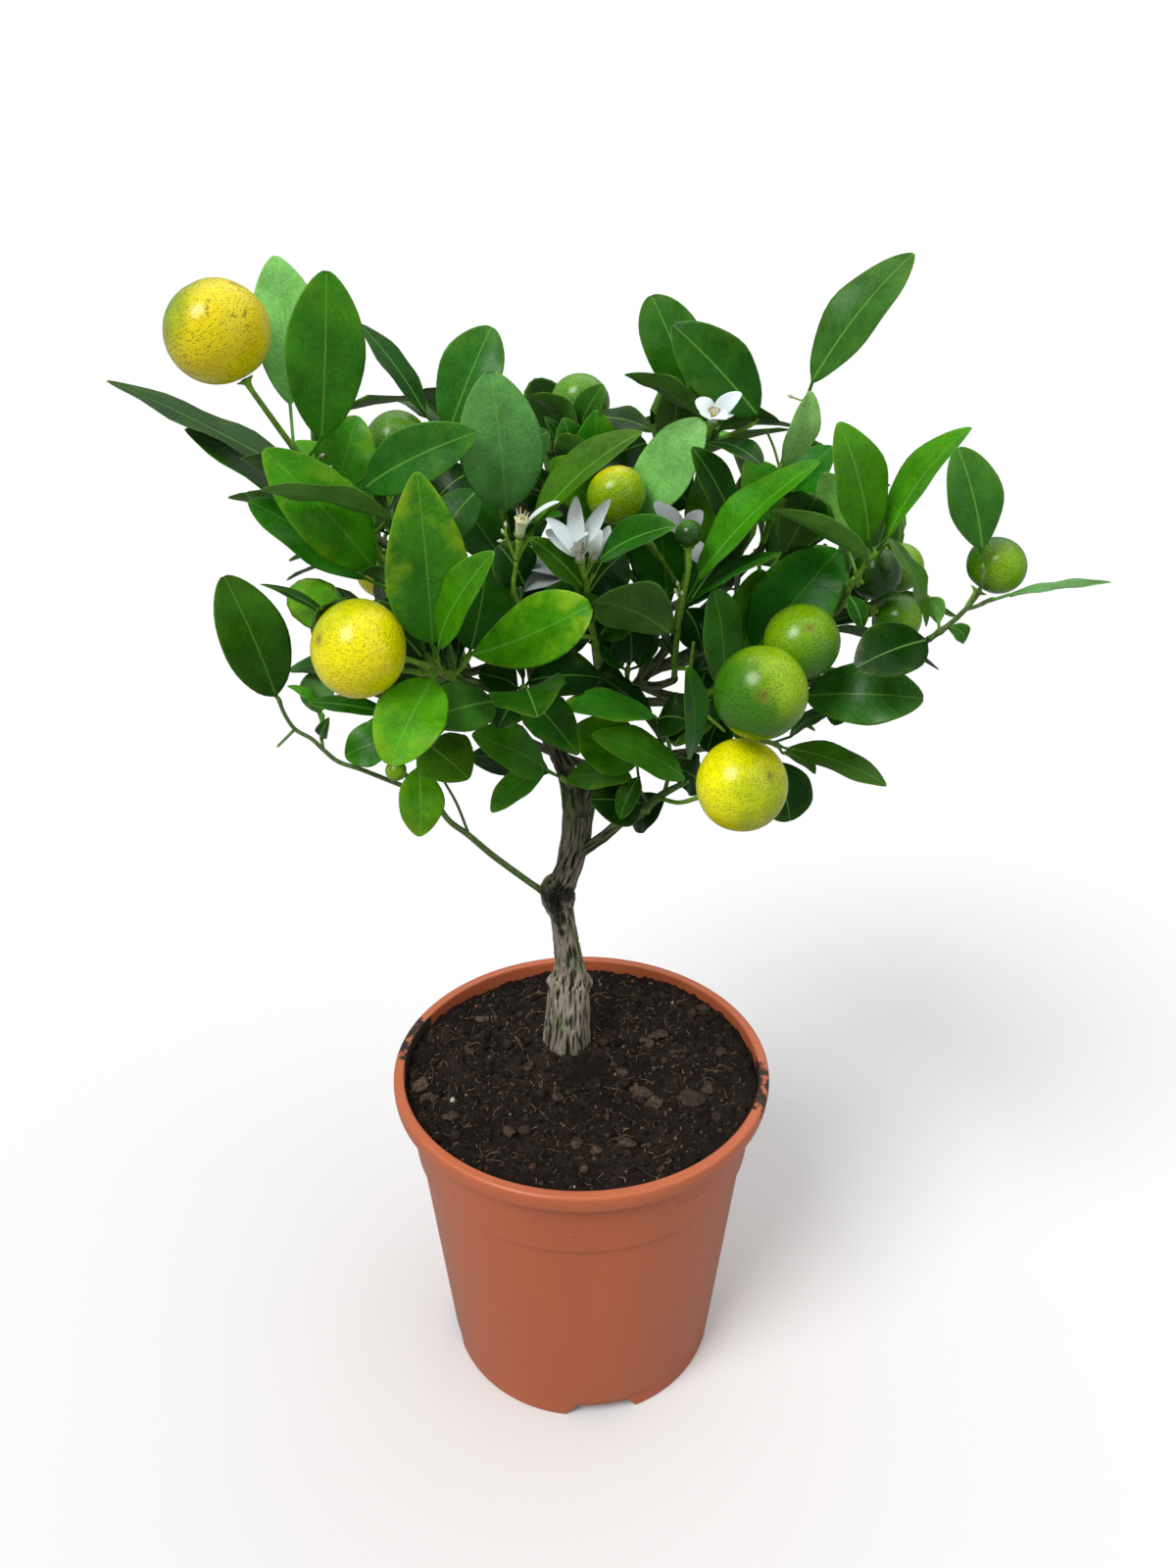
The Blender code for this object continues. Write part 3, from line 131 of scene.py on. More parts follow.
# The viewpoint of the picture, which is 1200 pixels wide and 1600 high
EYE = np.array((3.3, -482.0, 558.0))
LOOK_DOWN = math.radians(25.45)
FOCAL_PX = 1203.0
CENTRE_X_PX = 600.0
CENTRE_Y_PX = 800.0
PICTURE_HEIGHT_PX = 1600.0
SENSOR_MM = 36.0
AHEAD = np.array((0.0, math.cos(LOOK_DOWN), -math.sin(LOOK_DOWN)))
UPRIGHT = np.array((0.0, math.sin(LOOK_DOWN), math.cos(LOOK_DOWN)))
RIGHT = np.array((1.0, 0.0, 0.0))
UP = np.array((0.0, 0.0, 1.0))
SKYWARD = np.array((0.3, 0.0, 1.0))
# Directions that no stem and no fruit's stalk runs along, to measure the first side from
ASKEW = np.array((0.31, 0.27, 0.91))
FRUIT_ASKEW = np.array((0.4, 0.3, 0.2))


def seen(px, py, near):
    """The point that shows at pixel (px, py) and lies `near` mm in front of the pot's axis."""
    ray = AHEAD + RIGHT * (px - CENTRE_X_PX) / FOCAL_PX - UPRIGHT * (py - CENTRE_Y_PX) / FOCAL_PX
    return EYE + ray * (-near - EYE[1]) / ray[1]


def unit(vectors):
    """Vectors made one long."""
    return vectors / np.maximum(np.linalg.norm(vectors, axis=-1, keepdims=True), 1e-9)


def across(vectors, axes):
    """The part of vectors that is square to the axes, made one long."""
    axes = unit(axes)
    return unit(vectors - axes * np.sum(vectors * axes, axis=-1, keepdims=True))


def smooth(points, count):
    """`count` points on a Catmull-Rom curve through the given points, evenly spread over its spans."""
    points = np.asarray(points, float)
    if len(points) == 2:
        return points[0] + (points[1] - points[0]) * np.linspace(0, 1, count)[:, None]
    padded = np.vstack((2 * points[0] - points[1], points, 2 * points[-1] - points[-2]))
    place = np.linspace(0, len(points) - 1, count)
    span = np.minimum(place.astype(int), len(points) - 2)
    t = (place - span)[:, None]
    a, b, c, d = (padded[span + k] for k in range(4))
    return 0.5 * (2 * b + (c - a) * t + (2 * a - 5 * b + 4 * c - d) * t**2 + (3 * b - a - 3 * c + d) * t**3)


def at(x, y, z):
    return np.array((x, y, z), float)


def round_angles(count):
    """`count` angles, evenly spread round a full turn."""
    return np.arange(count) * 2 * math.pi / count


def bell(values, reach):
    """A bell curve: 1 where the values are 0, and 1/e at `reach` from there."""
    return np.exp(-((values / reach) ** 2))


def trace(*places):
    """Points of a stem, each given as the pixel that it shows at and its nearness."""
    return [seen(*place) for place in places]


def leaf(base, tip, toward, wide, roll=15, arch=3.0, sweep=0.0, fold=BLADE_FOLD, near=None, tone="deep",
         ripe=None, form=(0.98, 0.68)):
    """A leaf read from the picture: the pixels of its base and tip, how much nearer the tip is, its full
    width, how far its upper side turns from the viewer to the sky, in degrees, its green and how far it has
    yellowed, and the two powers of its outline: where it is widest, and how blunt its ends are."""
    return dict(base=base, tip=tip, toward=toward, wide=wide, roll=math.radians(roll), arch=arch,
                sweep=sweep, fold=math.radians(fold), near=near, tone=tone, ripe=ripe, form=form)


def fruit(name, centre, radius, stalk):
    """A fruit on a stalk whose last point is the spot that the stalk runs to the fruit's middle from."""
    return dict(name=name, centre=centre, radius=radius, stalk=stalk)


def bloom(name, stalk, petals, wide=6.0, stamens=9.0):
    """A bloom at the end of its stalk: the points that its petals reach."""
    return dict(name=name, stalk=stalk, petals=petals, wide=wide, stamens=stamens)


def shoot(name, limb, stem, thick, leaves=(), sides=(), fruits=(), blooms=(), grown=None):
    """A leafy stem: the wood that carries it, its own course, its side stems as (points, first and last
    radius), the leaves read from the picture, and `grown`, how many leaves the spiral rule adds."""
    return dict(name=name, limb=limb, stem=stem, thick=thick, leaves=leaves, sides=sides, fruits=fruits,
                blooms=blooms, grown=grown)


def wood(*places):
    """Points and radii of a piece of wood, each given as its pixel, its nearness and its radius."""
    return tuple((seen(px, py, near), radius) for px, py, near, radius in places)


# The trunk from the soil to where it parts, and its three leaders
TRUNK = ((at(-8, 22, 105), 12.0), (at(-8, 22, 168), 12.2)) + wood(
    (580, 1030, -22, 10.8), (580, 1006, -22, 10.2), (581, 989, -22, 8.0), (580, 974, -23, 6.7),
    (577, 953, -24, 6.2), (573, 932, -26, 6.3), (570, 922, -27, 8.0), (569, 908, -27, 8.2),
    (576, 897, -27, 6.3), (583, 875, -28, 6.4), (588, 852, -28, 6.8), (590, 828, -28, 6.6))
LEADERS = (
    wood((587, 852, -28, 5.4), (583, 802, -26, 5.0), (572, 775, -23, 4.4), (562, 752, -20, 4.0),
         (553, 728, -17, 3.6), (547, 700, -15, 3.2), (540, 660, -14, 2.7)),
    wood((591, 852, -28, 5.2), (600, 815, -30, 4.6), (610, 785, -32, 4.2), (624, 752, -32, 3.8),
         (641, 716, -30, 3.2), (652, 698, -29, 2.7), (661, 683, -28, 2.5)),
    wood((610, 785, -32, 3.6), (616, 740, -42, 3.2), (614, 695, -48, 2.8), (608, 650, -48, 2.4)),
)

SHOOTS = (
    shoot("shoot_northwest", trace((540, 660, -14), (500, 625, -6), (450, 590, 2), (405, 562, 4)),
        trace((365, 536, 10), (340, 512, 18), (325, 490, 24), (310, 470, 28), (292, 447, 32), (271, 418, 37),
            (259, 401, 39)), (1.6, 1.0),
        leaves=(
            leaf((296, 412), (281, 260), -4, 27, 22, near=22, arch=4, tone="mint"),
            leaf((328, 448), (333, 275), 8, 28, 6, arch=4, tone="green", form=(1.1, 0.62)),
            leaf((333, 503), (108, 388), -24, 24, 66, arch=2, near=24, tone="dim"),
            leaf((350, 546), (188, 437), -18, 24, 52, near=2),
            leaf((373, 498), (486, 441), 12, 22, 12, arch=9, near=26, tone="sage", form=(1.1, 0.6)),
            leaf((345, 500), (365, 424), -6, 24, 12, near=8, tone="bright"),
            leaf((322, 500), (246, 468), 4, 18, 118, near=22, tone="bottle"),
        ),
        fruits=(fruit("fruit_west_top", seen(222, 339, 42), 18.6, trace((271, 418, 37), (258, 400, 39))),)),
    shoot("shoot_west", trace((540, 660, -14), (505, 645, -4), (470, 632, 2)),
        trace((430, 622, 4), (405, 600, 10), (390, 575, 16), (378, 545, 20), (366, 520, 22)), (1.5, 0.9),
        leaves=(
            leaf((382, 580), (268, 458), 6, 29, 14, arch=5, tone="fresh"),
            leaf((398, 528), (264, 500), 16, 21, 112, near=33, arch=2.4, tone="bright"),
            leaf((372, 590), (253, 511), -4, 27, 38, near=6, tone="bottle"),
            leaf((345, 640), (265, 596), -6, 9, 62, near=8, tone="dim"),
            leaf((398, 598), (368, 584), 6, 10, 130, near=26, tone="green"),
            leaf((378, 548), (300, 450), -8, 28, 24, near=8, tone="bright"),
        ),
        sides=((trace((405, 600, 10), (385, 622, 10), (352, 640, 8)), 1.1, 0.8),)),
    shoot("shoot_front_left", trace((553, 728, -17), (535, 716, -6), (515, 708, 6), (495, 700, 14)),
        trace((468, 692, 22), (450, 686, 32), (438, 680, 40), (425, 676, 44)), (1.8, 1.3),
        leaves=(
            leaf((441, 656), (425, 480), 18, 31, 5, arch=6, near=50, tone="green", ripe=0.7,
                form=(0.88, 0.72)),
            leaf((448, 660), (505, 563), 28, 19, 45, arch=4, near=50, tone="grass"),
            leaf((441, 694), (396, 781), 36, 27, 8, arch=5, near=48, tone="fresh", form=(1.1, 0.55)),
            leaf((480, 668), (604, 617), 28, 27, 14, arch=5, sweep=3, near=34, tone="fresh", ripe=0.7,
                form=(1.7, 0.56)),
            leaf((480, 664), (497, 565), 6, 24, 20, near=28),
            leaf((505, 716), (425, 738), 8, 22, 22, near=18, tone="sage"),
            leaf((398, 729), (314, 717), 0, 12, 50, arch=1.5, near=36),
        ),
        sides=(
            (trace((461, 690, 25), (472, 680, 28), (480, 666, 30)), 1.2, 0.9),
            (trace((450, 686, 32), (446, 676, 38), (442, 660, 42)), 1.2, 0.9),
            (trace((456, 689, 29), (446, 680, 25), (425, 662, 25)), 1.7, 1.6),
        ),
        fruits=(fruit("fruit_front_left", seen(366, 662, 60), 18.8, trace((438, 680, 40), (424, 675, 46))),)),
    shoot("shoot_front_low", trace((553, 728, -17), (548, 718, -8), (540, 710, 0)),
        trace((535, 704, 8), (533, 702, 28), (535, 701, 48)), (1.3, 0.9),
        leaves=(
            leaf((537, 705), (549, 732), 54, 28, 8, arch=4, near=55, tone="dim"),
            leaf((540, 695), (614, 692), -4, 24, 34, near=16, tone="shade"),
        )),
    shoot("shoot_north_left", trace((540, 660, -14), (532, 630, -12), (526, 605, -6)),
        trace((522, 585, 0), (517, 545, 8), (510, 515, 12), (490, 488, 8), (470, 465, 0), (452, 448, -6)),
            (1.5, 0.9),
        leaves=(
            leaf((517, 520), (500, 378), 10, 32, 5, arch=6, near=20, tone="waxy", form=(1.0, 0.6)),
            leaf((455, 450), (502, 333), -8, 25, 12, arch=4, tone="sage", form=(1.2, 0.58)),
            leaf((434, 423), (366, 330), -6, 16, 52, arch=2, near=-10, tone="dim"),
            leaf((512, 572), (458, 500), 0, 26, 20, near=8),
            leaf((488, 500), (445, 560), 10, 20, 30, near=10),
            leaf((500, 492), (560, 440), -6, 22, 25, near=4, tone="dim"),
        ),
        fruits=(fruit("fruit_north_left", seen(405, 455, -16), 14.2, trace((470, 465, 0), (446, 466, -8))),)),
    shoot("shoot_north_centre", trace((608, 650, -48), (604, 620, -42), (602, 595, -36)),
        trace((601, 575, -33), (598, 520, -30), (595, 470, -29), (592, 436, -29)), (1.4, 0.9),
        leaves=(
            leaf((590, 436), (576, 403), 0, 7, 40, tone="green"),
            leaf((594, 434), (616, 392), 6, 13, 20, tone="sage"),
            leaf((600, 428), (668, 441), 8, 16, 55, tone="shade"),
            leaf((588, 436), (539, 404), 2, 16, 120, tone="lime"),
            leaf((605, 470), (608, 418), 14, 18, 12, tone="bright"),
            leaf((585, 470), (575, 426), 10, 15, 12, tone="sage"),
            leaf((592, 505), (580, 442), 12, 20, 155, tone="lime"),
            leaf((606, 520), (560, 470), 12, 22, 30, tone="fresh"),
            leaf((604, 540), (655, 480), 10, 24, 25),
        ),
        fruits=(fruit("fruit_north_centre", seen(592, 411, -42), 12.6, trace((595, 470, -29),
            (592, 437, -34))),)),
    shoot("shoot_front_centre", trace((624, 752, -32), (618, 720, -22), (614, 695, -10)),
        trace((612, 680, -4), (606, 650, 10), (602, 625, 24), (599, 600, 36), (597, 588, 40)), (1.4, 0.9),
        leaves=(
            leaf((546, 537), (656, 441), 2, 22, 56, arch=4, fold=20, near=44, tone="olive"),
            leaf((612, 572), (690, 537), 8, 17, 48, fold=20, near=44),
            leaf((600, 640), (560, 575), 4, 24, 25, near=14, tone="bright"),
            leaf((598, 602), (540, 549), 2, 12, 25, near=35, tone="olive"),
            leaf((612, 650), (660, 600), 4, 22, 25, near=6, tone="dim"),
        ),
        sides=(
            (trace((606, 650, 10), (575, 648, 18), (545, 632, 30), (525, 606, 37), (527, 573, 40)), 1.0, 0.9),
            (trace((599, 600, 36), (606, 585, 38), (612, 574, 38)), 0.9, 0.8),
            (trace((527, 573, 40), (534, 558, 41), (543, 543, 42)), 0.9, 0.8),
            (trace((527, 573, 40), (521, 558, 41), (516, 545, 42)), 0.7, 0.6),
            (trace((606, 650, 10), (600, 632, 12), (596, 618, 14)), 0.9, 0.8),
        ),
        blooms=(
            bloom("bloom_front", trace((599, 600, 36), (593, 574, 44)), trace((557, 541, 40), (557, 528, 50),
                (588, 506, 46), (623, 509, 44), (600, 545, 58))),
            bloom("bloom_front_half_open", trace((597, 588, 40), (603, 574, 42)), trace((622, 536, 44),
                (614, 541, 50), (612, 540, 36)), wide=4.5, stamens=7.0),
            bloom("bloom_front_spent", trace((527, 573, 40), (530, 549, 44)), trace((571, 512, 53)), wide=4.5,
                stamens=12.0),
            bloom("bloom_front_shaded", trace((596, 618, 14), (583, 590, 21)), trace((527, 575, 24),
                (530, 604, 27)), wide=9.0, stamens=4.0),
        )),
    shoot("shoot_north_right", trace((652, 698, -29), (668, 650, -30), (685, 600, -27), (698, 560, -22)),
        trace((704, 535, -18), (711, 495, -12), (717, 460, -6), (722, 436, -1)), (1.6, 1.0),
        leaves=(
            leaf((708, 415), (664, 301), -12, 25, 16, arch=4, near=-6, form=(1.15, 0.58)),
            leaf((773, 424), (686, 331), -4, 26, 16, arch=4, near=6),
            leaf((715, 425), (637, 382), 12, 18, 116, near=0, tone="grass"),
            leaf((732, 440), (796, 431), 18, 18, 114, near=4, tone="bottle"),
            leaf((722, 452), (778, 476), 16, 16, 62, near=0, tone="shade"),
            leaf((704, 515), (650, 470), 4, 24, 25, near=-18, tone="dim"),
        ),
        sides=((trace((717, 460, -6), (740, 446, 0), (762, 436, 4), (771, 430, 5)), 0.9, 0.8),),
        blooms=(bloom("bloom_right_top", trace((717, 460, -6), (722, 446, 8), (726, 432, 17)),
            trace((710, 408, 18), (757, 401, 22), (745, 420, 2), (742, 428, 30), (714, 422, 28))),)),
    shoot("shoot_centre_right", trace((652, 698, -29), (668, 680, -22), (680, 660, -14)),
        trace((688, 645, -8), (696, 605, -2), (700, 585, 2)), (1.4, 1.0),
        leaves=(
            leaf((653, 532), (718, 428), 8, 25, 10, arch=5, near=-3, tone="mint", form=(1.15, 0.58)),
            leaf((748, 540), (705, 456), 10, 18, 42, near=12, tone="dim"),
            leaf((735, 562), (716, 484), -4, 27, 22, near=2, tone="olive"),
            leaf((664, 545), (628, 530), 6, 8, 110, near=18),
            leaf((680, 606), (672, 533), 0, 30, 12, near=0, tone="bottle"),
        ),
        sides=(
            (trace((696, 605, -2), (678, 575, 8), (660, 550, 15), (652, 536, 18)), 1.1, 0.8),
            (trace((700, 585, 2), (722, 565, 6), (740, 548, 9)), 1.1, 0.8),
        ),
        fruits=(fruit("fruit_centre", seen(629, 505, 8), 12.0, trace((678, 575, 8), (650, 542, 10))),),
        blooms=(bloom("bloom_centre_shaded", trace((700, 585, 2), (701, 552, 18)), trace((668, 512, 12),
            (717, 521, 21), (717, 576, 25)), wide=7.0, stamens=5.0),)),
    shoot("shoot_northeast", trace((655, 692, -28), (700, 640, -26), (740, 600, -22), (765, 575, -18)),
        trace((778, 555, -14), (790, 515, -8), (797, 478, -4), (811, 436, 0), (826, 400, 3)), (1.4, 0.9),
        leaves=(
            leaf((800, 474), (827, 398), 6, 16, 42, near=0, tone="mint"),
            leaf((829, 390), (933, 258), -3, 25, 38, arch=4, near=4, tone="sage"),
            leaf((798, 520), (850, 455), -6, 20, 32, near=-10, tone="bottle"),
            leaf((785, 530), (760, 470), 4, 22, 30, tone="bright"),
        ),
        sides=((trace((796, 480, -4), (790, 458, -6), (783, 441, -7)), 0.6, 0.5),)),
    shoot("shoot_front_right_up", trace((652, 698, -29), (668, 700, -16), (680, 697, -6)),
        trace((688, 690, 0), (690, 660, 14), (693, 632, 28), (697, 612, 36)), (1.4, 1.0),
        leaves=(
            leaf((712, 592), (838, 470), -2, 24, 56, arch=4, fold=20, near=40, tone="grass"),
            leaf((684, 645), (606, 614), 14, 30, 138, arch=4, near=26, tone="olive"),
        ),
        sides=(
            (trace((689, 682, 4), (704, 684, 14), (706, 700, 26), (718, 726, 32), (738, 745, 32)), 0.9, 0.7),
            (trace((708, 655, 20), (706, 672, 18), (704, 684, 14)), 0.8, 0.8),
        ),
        fruits=(fruit("fruitlet_centre", seen(703, 544, 44), 5.2, trace((695, 620, 32), (702, 585, 41))),)),
    shoot("shoot_right_front", trace((652, 698, -29), (675, 708, -20), (700, 712, -8)),
        trace((722, 708, 6), (742, 700, 16), (764, 692, 22), (790, 692, 20), (806, 704, 22)), (1.6, 1.0),
        leaves=(
            leaf((770, 665), (856, 561), 10, 33, 10, arch=4, near=24, tone="bottle", form=(1.0, 0.6)),
            leaf((750, 688), (777, 580), 2, 28, 24, near=14, tone="grass"),
            leaf((737, 698), (728, 601), 16, 20, 35, near=24, tone="sage", form=(1.12, 0.5)),
            leaf((822, 710), (943, 713), 14, 27, 18, arch=4, near=26, tone="sage", form=(1.0, 0.6)),
            leaf((744, 722), (722, 768), 4, 22, 30, near=2, tone="shade"),
        ),
        fruits=(
            fruit("fruit_right_front", seen(776, 707, 68), 17.8, trace((767, 692, 22), (771, 700, 40))),
            fruit("fruit_right_upper", seen(818, 655, 41), 15.0, trace((786, 692, 20), (804, 678, 22))),
        )),
    shoot("shoot_east", trace((656, 690, -28), (710, 665, -22), (760, 652, -12), (800, 642, -2)),
        trace((830, 636, 6), (855, 622, 14), (868, 598, 22), (885, 574, 28), (900, 556, 30)), (1.5, 0.9),
        leaves=(
            leaf((866, 562), (841, 482), -6, 22, 150, near=20, tone="mint"),
            leaf((886, 573), (785, 520), 12, 20, 112, near=34, tone="bright"),
            leaf((886, 553), (855, 430), 2, 24, 34, arch=4, near=32, tone="grass"),
            leaf((907, 547), (992, 436), -3, 22, 55, arch=4, fold=20, near=30, tone="grass"),
            leaf((905, 548), (945, 640), 12, 20, 72, near=34, tone="olive"),
            leaf((866, 608), (880, 642), 6, 8, 20, near=24),
            leaf((842, 606), (812, 560), -4, 24, 30, near=5, tone="shade"),
        ),
        fruits=(
            fruit("fruit_east_upper", seen(893, 585, 10), 10.8, trace((870, 596, 22), (873, 592, 17))),
            fruit("fruit_east_outer", seen(917, 579, -14), 10.6, trace((887, 572, 28), (904, 552, 6),
                (909, 560, -4))),
            fruit("fruit_east_lower", seen(915, 632, 6), 10.8, trace((858, 618, 16), (880, 618, 7))),
        )),
    shoot("shoot_far_east", trace((641, 716, -30), (700, 716, -22), (760, 712, -12), (815, 700, -4)),
        trace((850, 690, 2), (900, 676, 18), (935, 660, 32), (965, 640, 44), (985, 622, 54), (1000, 604, 60)),
            (1.5, 0.8),
        leaves=(
            leaf((1002, 560), (977, 456), -2, 20, 24, near=69, tone="sage", form=(1.12, 0.6)),
            leaf((1029, 607), (1134, 594), 9, 14, 76, arch=0.4, near=63, tone="waxy"),
            leaf((950, 652), (872, 682), 10, 25, 24, near=40, tone="shade"),
            leaf((958, 636), (938, 612), -4, 12, 130, near=40, tone="lime"),
            leaf((962, 640), (984, 656), 2, 9, 40, near=42, tone="olive"),
            leaf((880, 690), (850, 740), 6, 22, 40, near=14),
        ),
        sides=(
            (trace((985, 622, 54), (998, 618, 58), (1012, 611, 61)), 0.8, 0.7),
            (trace((997, 608, 60), (1003, 592, 68), (1003, 578, 70)), 0.8, 0.7),
        ),
        fruits=(fruit("fruit_far_east", seen(1017, 577, 54), 11.0, trace((987, 619, 55), (998, 603, 55))),)),
    shoot("shoot_low_right", trace((610, 785, -32), (655, 775, -32), (710, 765, -24)),
        trace((760, 758, -12), (782, 757, 0), (797, 762, 10)), (1.3, 0.9),
        leaves=(
            leaf((803, 764), (905, 802), 12, 21, 54, near=14, tone="olive"),
            leaf((798, 768), (832, 790), 4, 12, 122, near=10, tone="grass"),
            leaf((792, 778), (806, 838), 8, 25, 14, near=2, tone="shade", form=(1.05, 0.55)),
            leaf((806, 752), (852, 727), 0, 14, 60, near=4),
            leaf((770, 752), (735, 700), -4, 24, 30, near=-14),
            leaf((750, 765), (700, 745), 0, 22, 40, near=-16),
        )),
    shoot("shoot_low_centre", trace((589, 872, -27), (604, 862, -23), (618, 852, -19), (634, 838, -13),
        (645, 833, -9)),
        trace((655, 828, -6), (674, 812, 4), (690, 803, 12), (701, 798, 18)), (2.2, 1.0),
        leaves=(
            leaf((698, 794), (602, 750), 12, 22, 42, arch=4, near=22, tone="green"),
            leaf((704, 774), (700, 680), 10, 18, 56, near=24, tone="bottle"),
            leaf((652, 793), (633, 836), 8, 11, 20, near=4, tone="olive"),
            leaf((668, 731), (572, 722), 14, 20, 50, near=18, tone="bright", ripe=0.7),
            leaf((650, 780), (585, 742), 2, 28, 20, near=-4, tone="fresh"),
        ),
        sides=(
            (trace((678, 809, 6), (684, 780, 12), (681, 750, 15), (674, 734, 17)), 1.0, 0.8),
            (trace((663, 821, -1), (654, 808, -1), (652, 796, 1)), 0.9, 0.8),
        ),
        fruits=(fruit("fruit_low_right", seen(757, 801, 62), 18.6, trace((672, 814, 3), (692, 819, 22),
            (712, 814, 44))),)),
    shoot("shoot_trunk_front", trace((585, 806, -26), (582, 803, -22)),
        trace((578, 798, -17), (575, 795, -12), (573, 792, -6)), (1.2, 0.9),
        leaves=(
            leaf((578, 795), (645, 795), 20, 20, 44, near=0, tone="fresh"),
            leaf((556, 785), (501, 829), 12, 17, 40, near=2, tone="bright"),
            leaf((556, 784), (481, 750), 18, 23, 30, near=2, tone="green"),
        )),
    shoot("shoot_low_left", trace((572, 914, -27), (560, 910, -25)),
        trace((549, 906, -23), (540, 900, -20), (503, 873, -8), (478, 852, 0), (459, 838, 6), (447, 821, 10),
            (437, 800, 15), (430, 778, 18)), (1.7, 1.1),
        leaves=(
            leaf((436, 760), (479, 795), 20, 25, 12, near=22, tone="olive"),
            leaf((427, 783), (428, 854), 14, 20, 14, near=26, tone="fresh"),
            leaf((405, 752), (352, 772), 2, 20, 20, near=14, tone="grass"),
            leaf((280, 711), (228, 587), 4, 28, 12, arch=5, near=18, tone="olive", form=(1.02, 0.58)),
            leaf((332, 728), (293, 700), 0, 7, 50, near=16, tone="bright"),
            leaf((325, 727), (318, 686), -4, 15, 10, near=12, tone="waxy"),
            leaf((330, 752), (336, 732), 2, 6, 20, near=16, tone="dim"),
        ),
        sides=(
            (trace((478, 850, 0), (466, 820, 4), (453, 797, 6)), 0.7, 0.6),
            (trace((447, 821, 10), (420, 806, 12), (396, 796, 14), (368, 785, 16), (345, 777, 17),
                (330, 765, 18), (318, 754, 18), (301, 744, 18), (290, 728, 18), (284, 712, 18)), 1.1, 0.8),
            (trace((301, 744, 18), (292, 753, 18), (284, 761, 18)), 0.7, 0.6),
            (trace((330, 765, 18), (327, 745, 17), (330, 730, 16)), 0.7, 0.6),
            (trace((430, 778, 18), (420, 765, 18), (408, 756, 16)), 0.9, 0.8),
        ),
        fruits=(fruit("fruitlet_low_left", seen(404, 786, 30), 4.6, trace((437, 800, 15), (416, 792, 24))),)),
    shoot("shoot_inner", trace((641, 716, -30), (640, 704, -24)),
        trace((640, 698, -20), (640, 688, -12), (641, 680, -6)), (1.2, 0.9),
        leaves=(
            leaf((636, 684), (600, 640), 6, 18, 40, tone="bottle"),
            leaf((643, 676), (640, 630), 4, 20, 20, tone="shade"),
            leaf((652, 680), (669, 645), 2, 14, 30),
        )),
)

# Shoots on the sides that the picture doesn't show, and inside the crown
HIDDEN_SHOOTS = (
    shoot("shoot_back_left", [at(-23, 14, 389), at(-45, 40, 400), at(-60, 54, 408)],
        [at(-66, 59, 411), at(-90, 76, 425), at(-112, 86, 445)], (1.6, 0.9), grown=6,
        fruits=(fruit("fruit_back_left", at(-98, 90, 402), 13.5, [at(-91, 77, 426), at(-95, 86, 421)]),)),
    shoot("shoot_back_centre", [at(7, 48, 382), at(4, 62, 395), at(0, 72, 405)],
        [at(-1, 76, 410), at(-4, 88, 432), at(-10, 94, 462)], (1.6, 0.9), grown=6),
    shoot("shoot_back_right", [at(7, 48, 382), at(35, 58, 390), at(52, 66, 396)],
        [at(58, 69, 399), at(85, 80, 415), at(106, 86, 440)], (1.6, 0.9), grown=5,
        fruits=(fruit("fruit_back_right", at(91, 91, 388), 12.5, [at(84, 80, 415.5), at(87, 86, 407)]),)),
    shoot("shoot_back_low_left", [at(8, 32, 321), at(-20, 50, 325), at(-40, 64, 330)],
        [at(-46, 68, 332), at(-70, 80, 338), at(-92, 86, 352)], (1.5, 0.9), grown=5),
    shoot("shoot_back_low_right", [at(8, 32, 321), at(35, 52, 325), at(52, 66, 330)],
        [at(57, 70, 332), at(78, 82, 340), at(98, 86, 356)], (1.5, 0.9), grown=5),
    shoot("shoot_right_back", [at(31, 28, 373), at(60, 34, 378), at(85, 38, 382)],
        [at(92, 40, 384), at(118, 46, 392), at(140, 44, 408)], (1.5, 0.9), grown=6),
    shoot("shoot_left_back", [at(-23, 14, 389), at(-52, 30, 397), at(-76, 42, 406)],
        [at(-82, 46, 409), at(-102, 56, 422), at(-118, 62, 438)], (1.5, 0.9), grown=5),
    shoot("shoot_top_back_left", [at(-23, 14, 389), at(-27, 36, 420), at(-30, 46, 440)],
        [at(-32, 49, 447), at(-42, 55, 470), at(-56, 58, 492)], (1.4, 0.9), grown=5),
    shoot("shoot_top_back_right", [at(7, 48, 382), at(22, 52, 420), at(32, 55, 440)],
        [at(35, 56, 447), at(44, 60, 462), at(54, 62, 476)], (1.4, 0.9), grown=5),
    shoot("shoot_inner_left", [at(-23, 14, 389), at(-42, 6, 382), at(-56, 2, 380)],
        [at(-62, 0, 381), at(-80, -8, 388), at(-96, -14, 402)], (1.4, 0.9), grown=4),
    shoot("shoot_inner_right", [at(31, 28, 373), at(48, 18, 385), at(58, 12, 395)],
        [at(62, 10, 400), at(74, 6, 416), at(86, 2, 436)], (1.4, 0.9), grown=4),
    shoot("shoot_inner_centre", [at(7, 48, 382), at(5, 32, 395), at(4, 24, 405)],
        [at(4, 20, 411), at(2, 12, 428), at(0, 6, 446)], (1.4, 0.9), grown=3),
)

# The leaves that the spiral rule grows, and the dome that their tips stay within
DOME_CENTRE = at(0, 0, 398)
DOME_REACH = at(160, 108, 104)
DOME_POWER = 3.5
GROWN_LENGTH = (42.0, 58.0)
GROWN_PETIOLE = 6.0
GROWN_SPREAD = 0.98
GROWN_VARIATION = 0.2
GROWN_STRETCH = (0.12, 0.98)
GROWN_RISE = 0.12
GROWN_FACING = (0.9, 0.7, 0.25)
GROWN_ARCH = 0.06
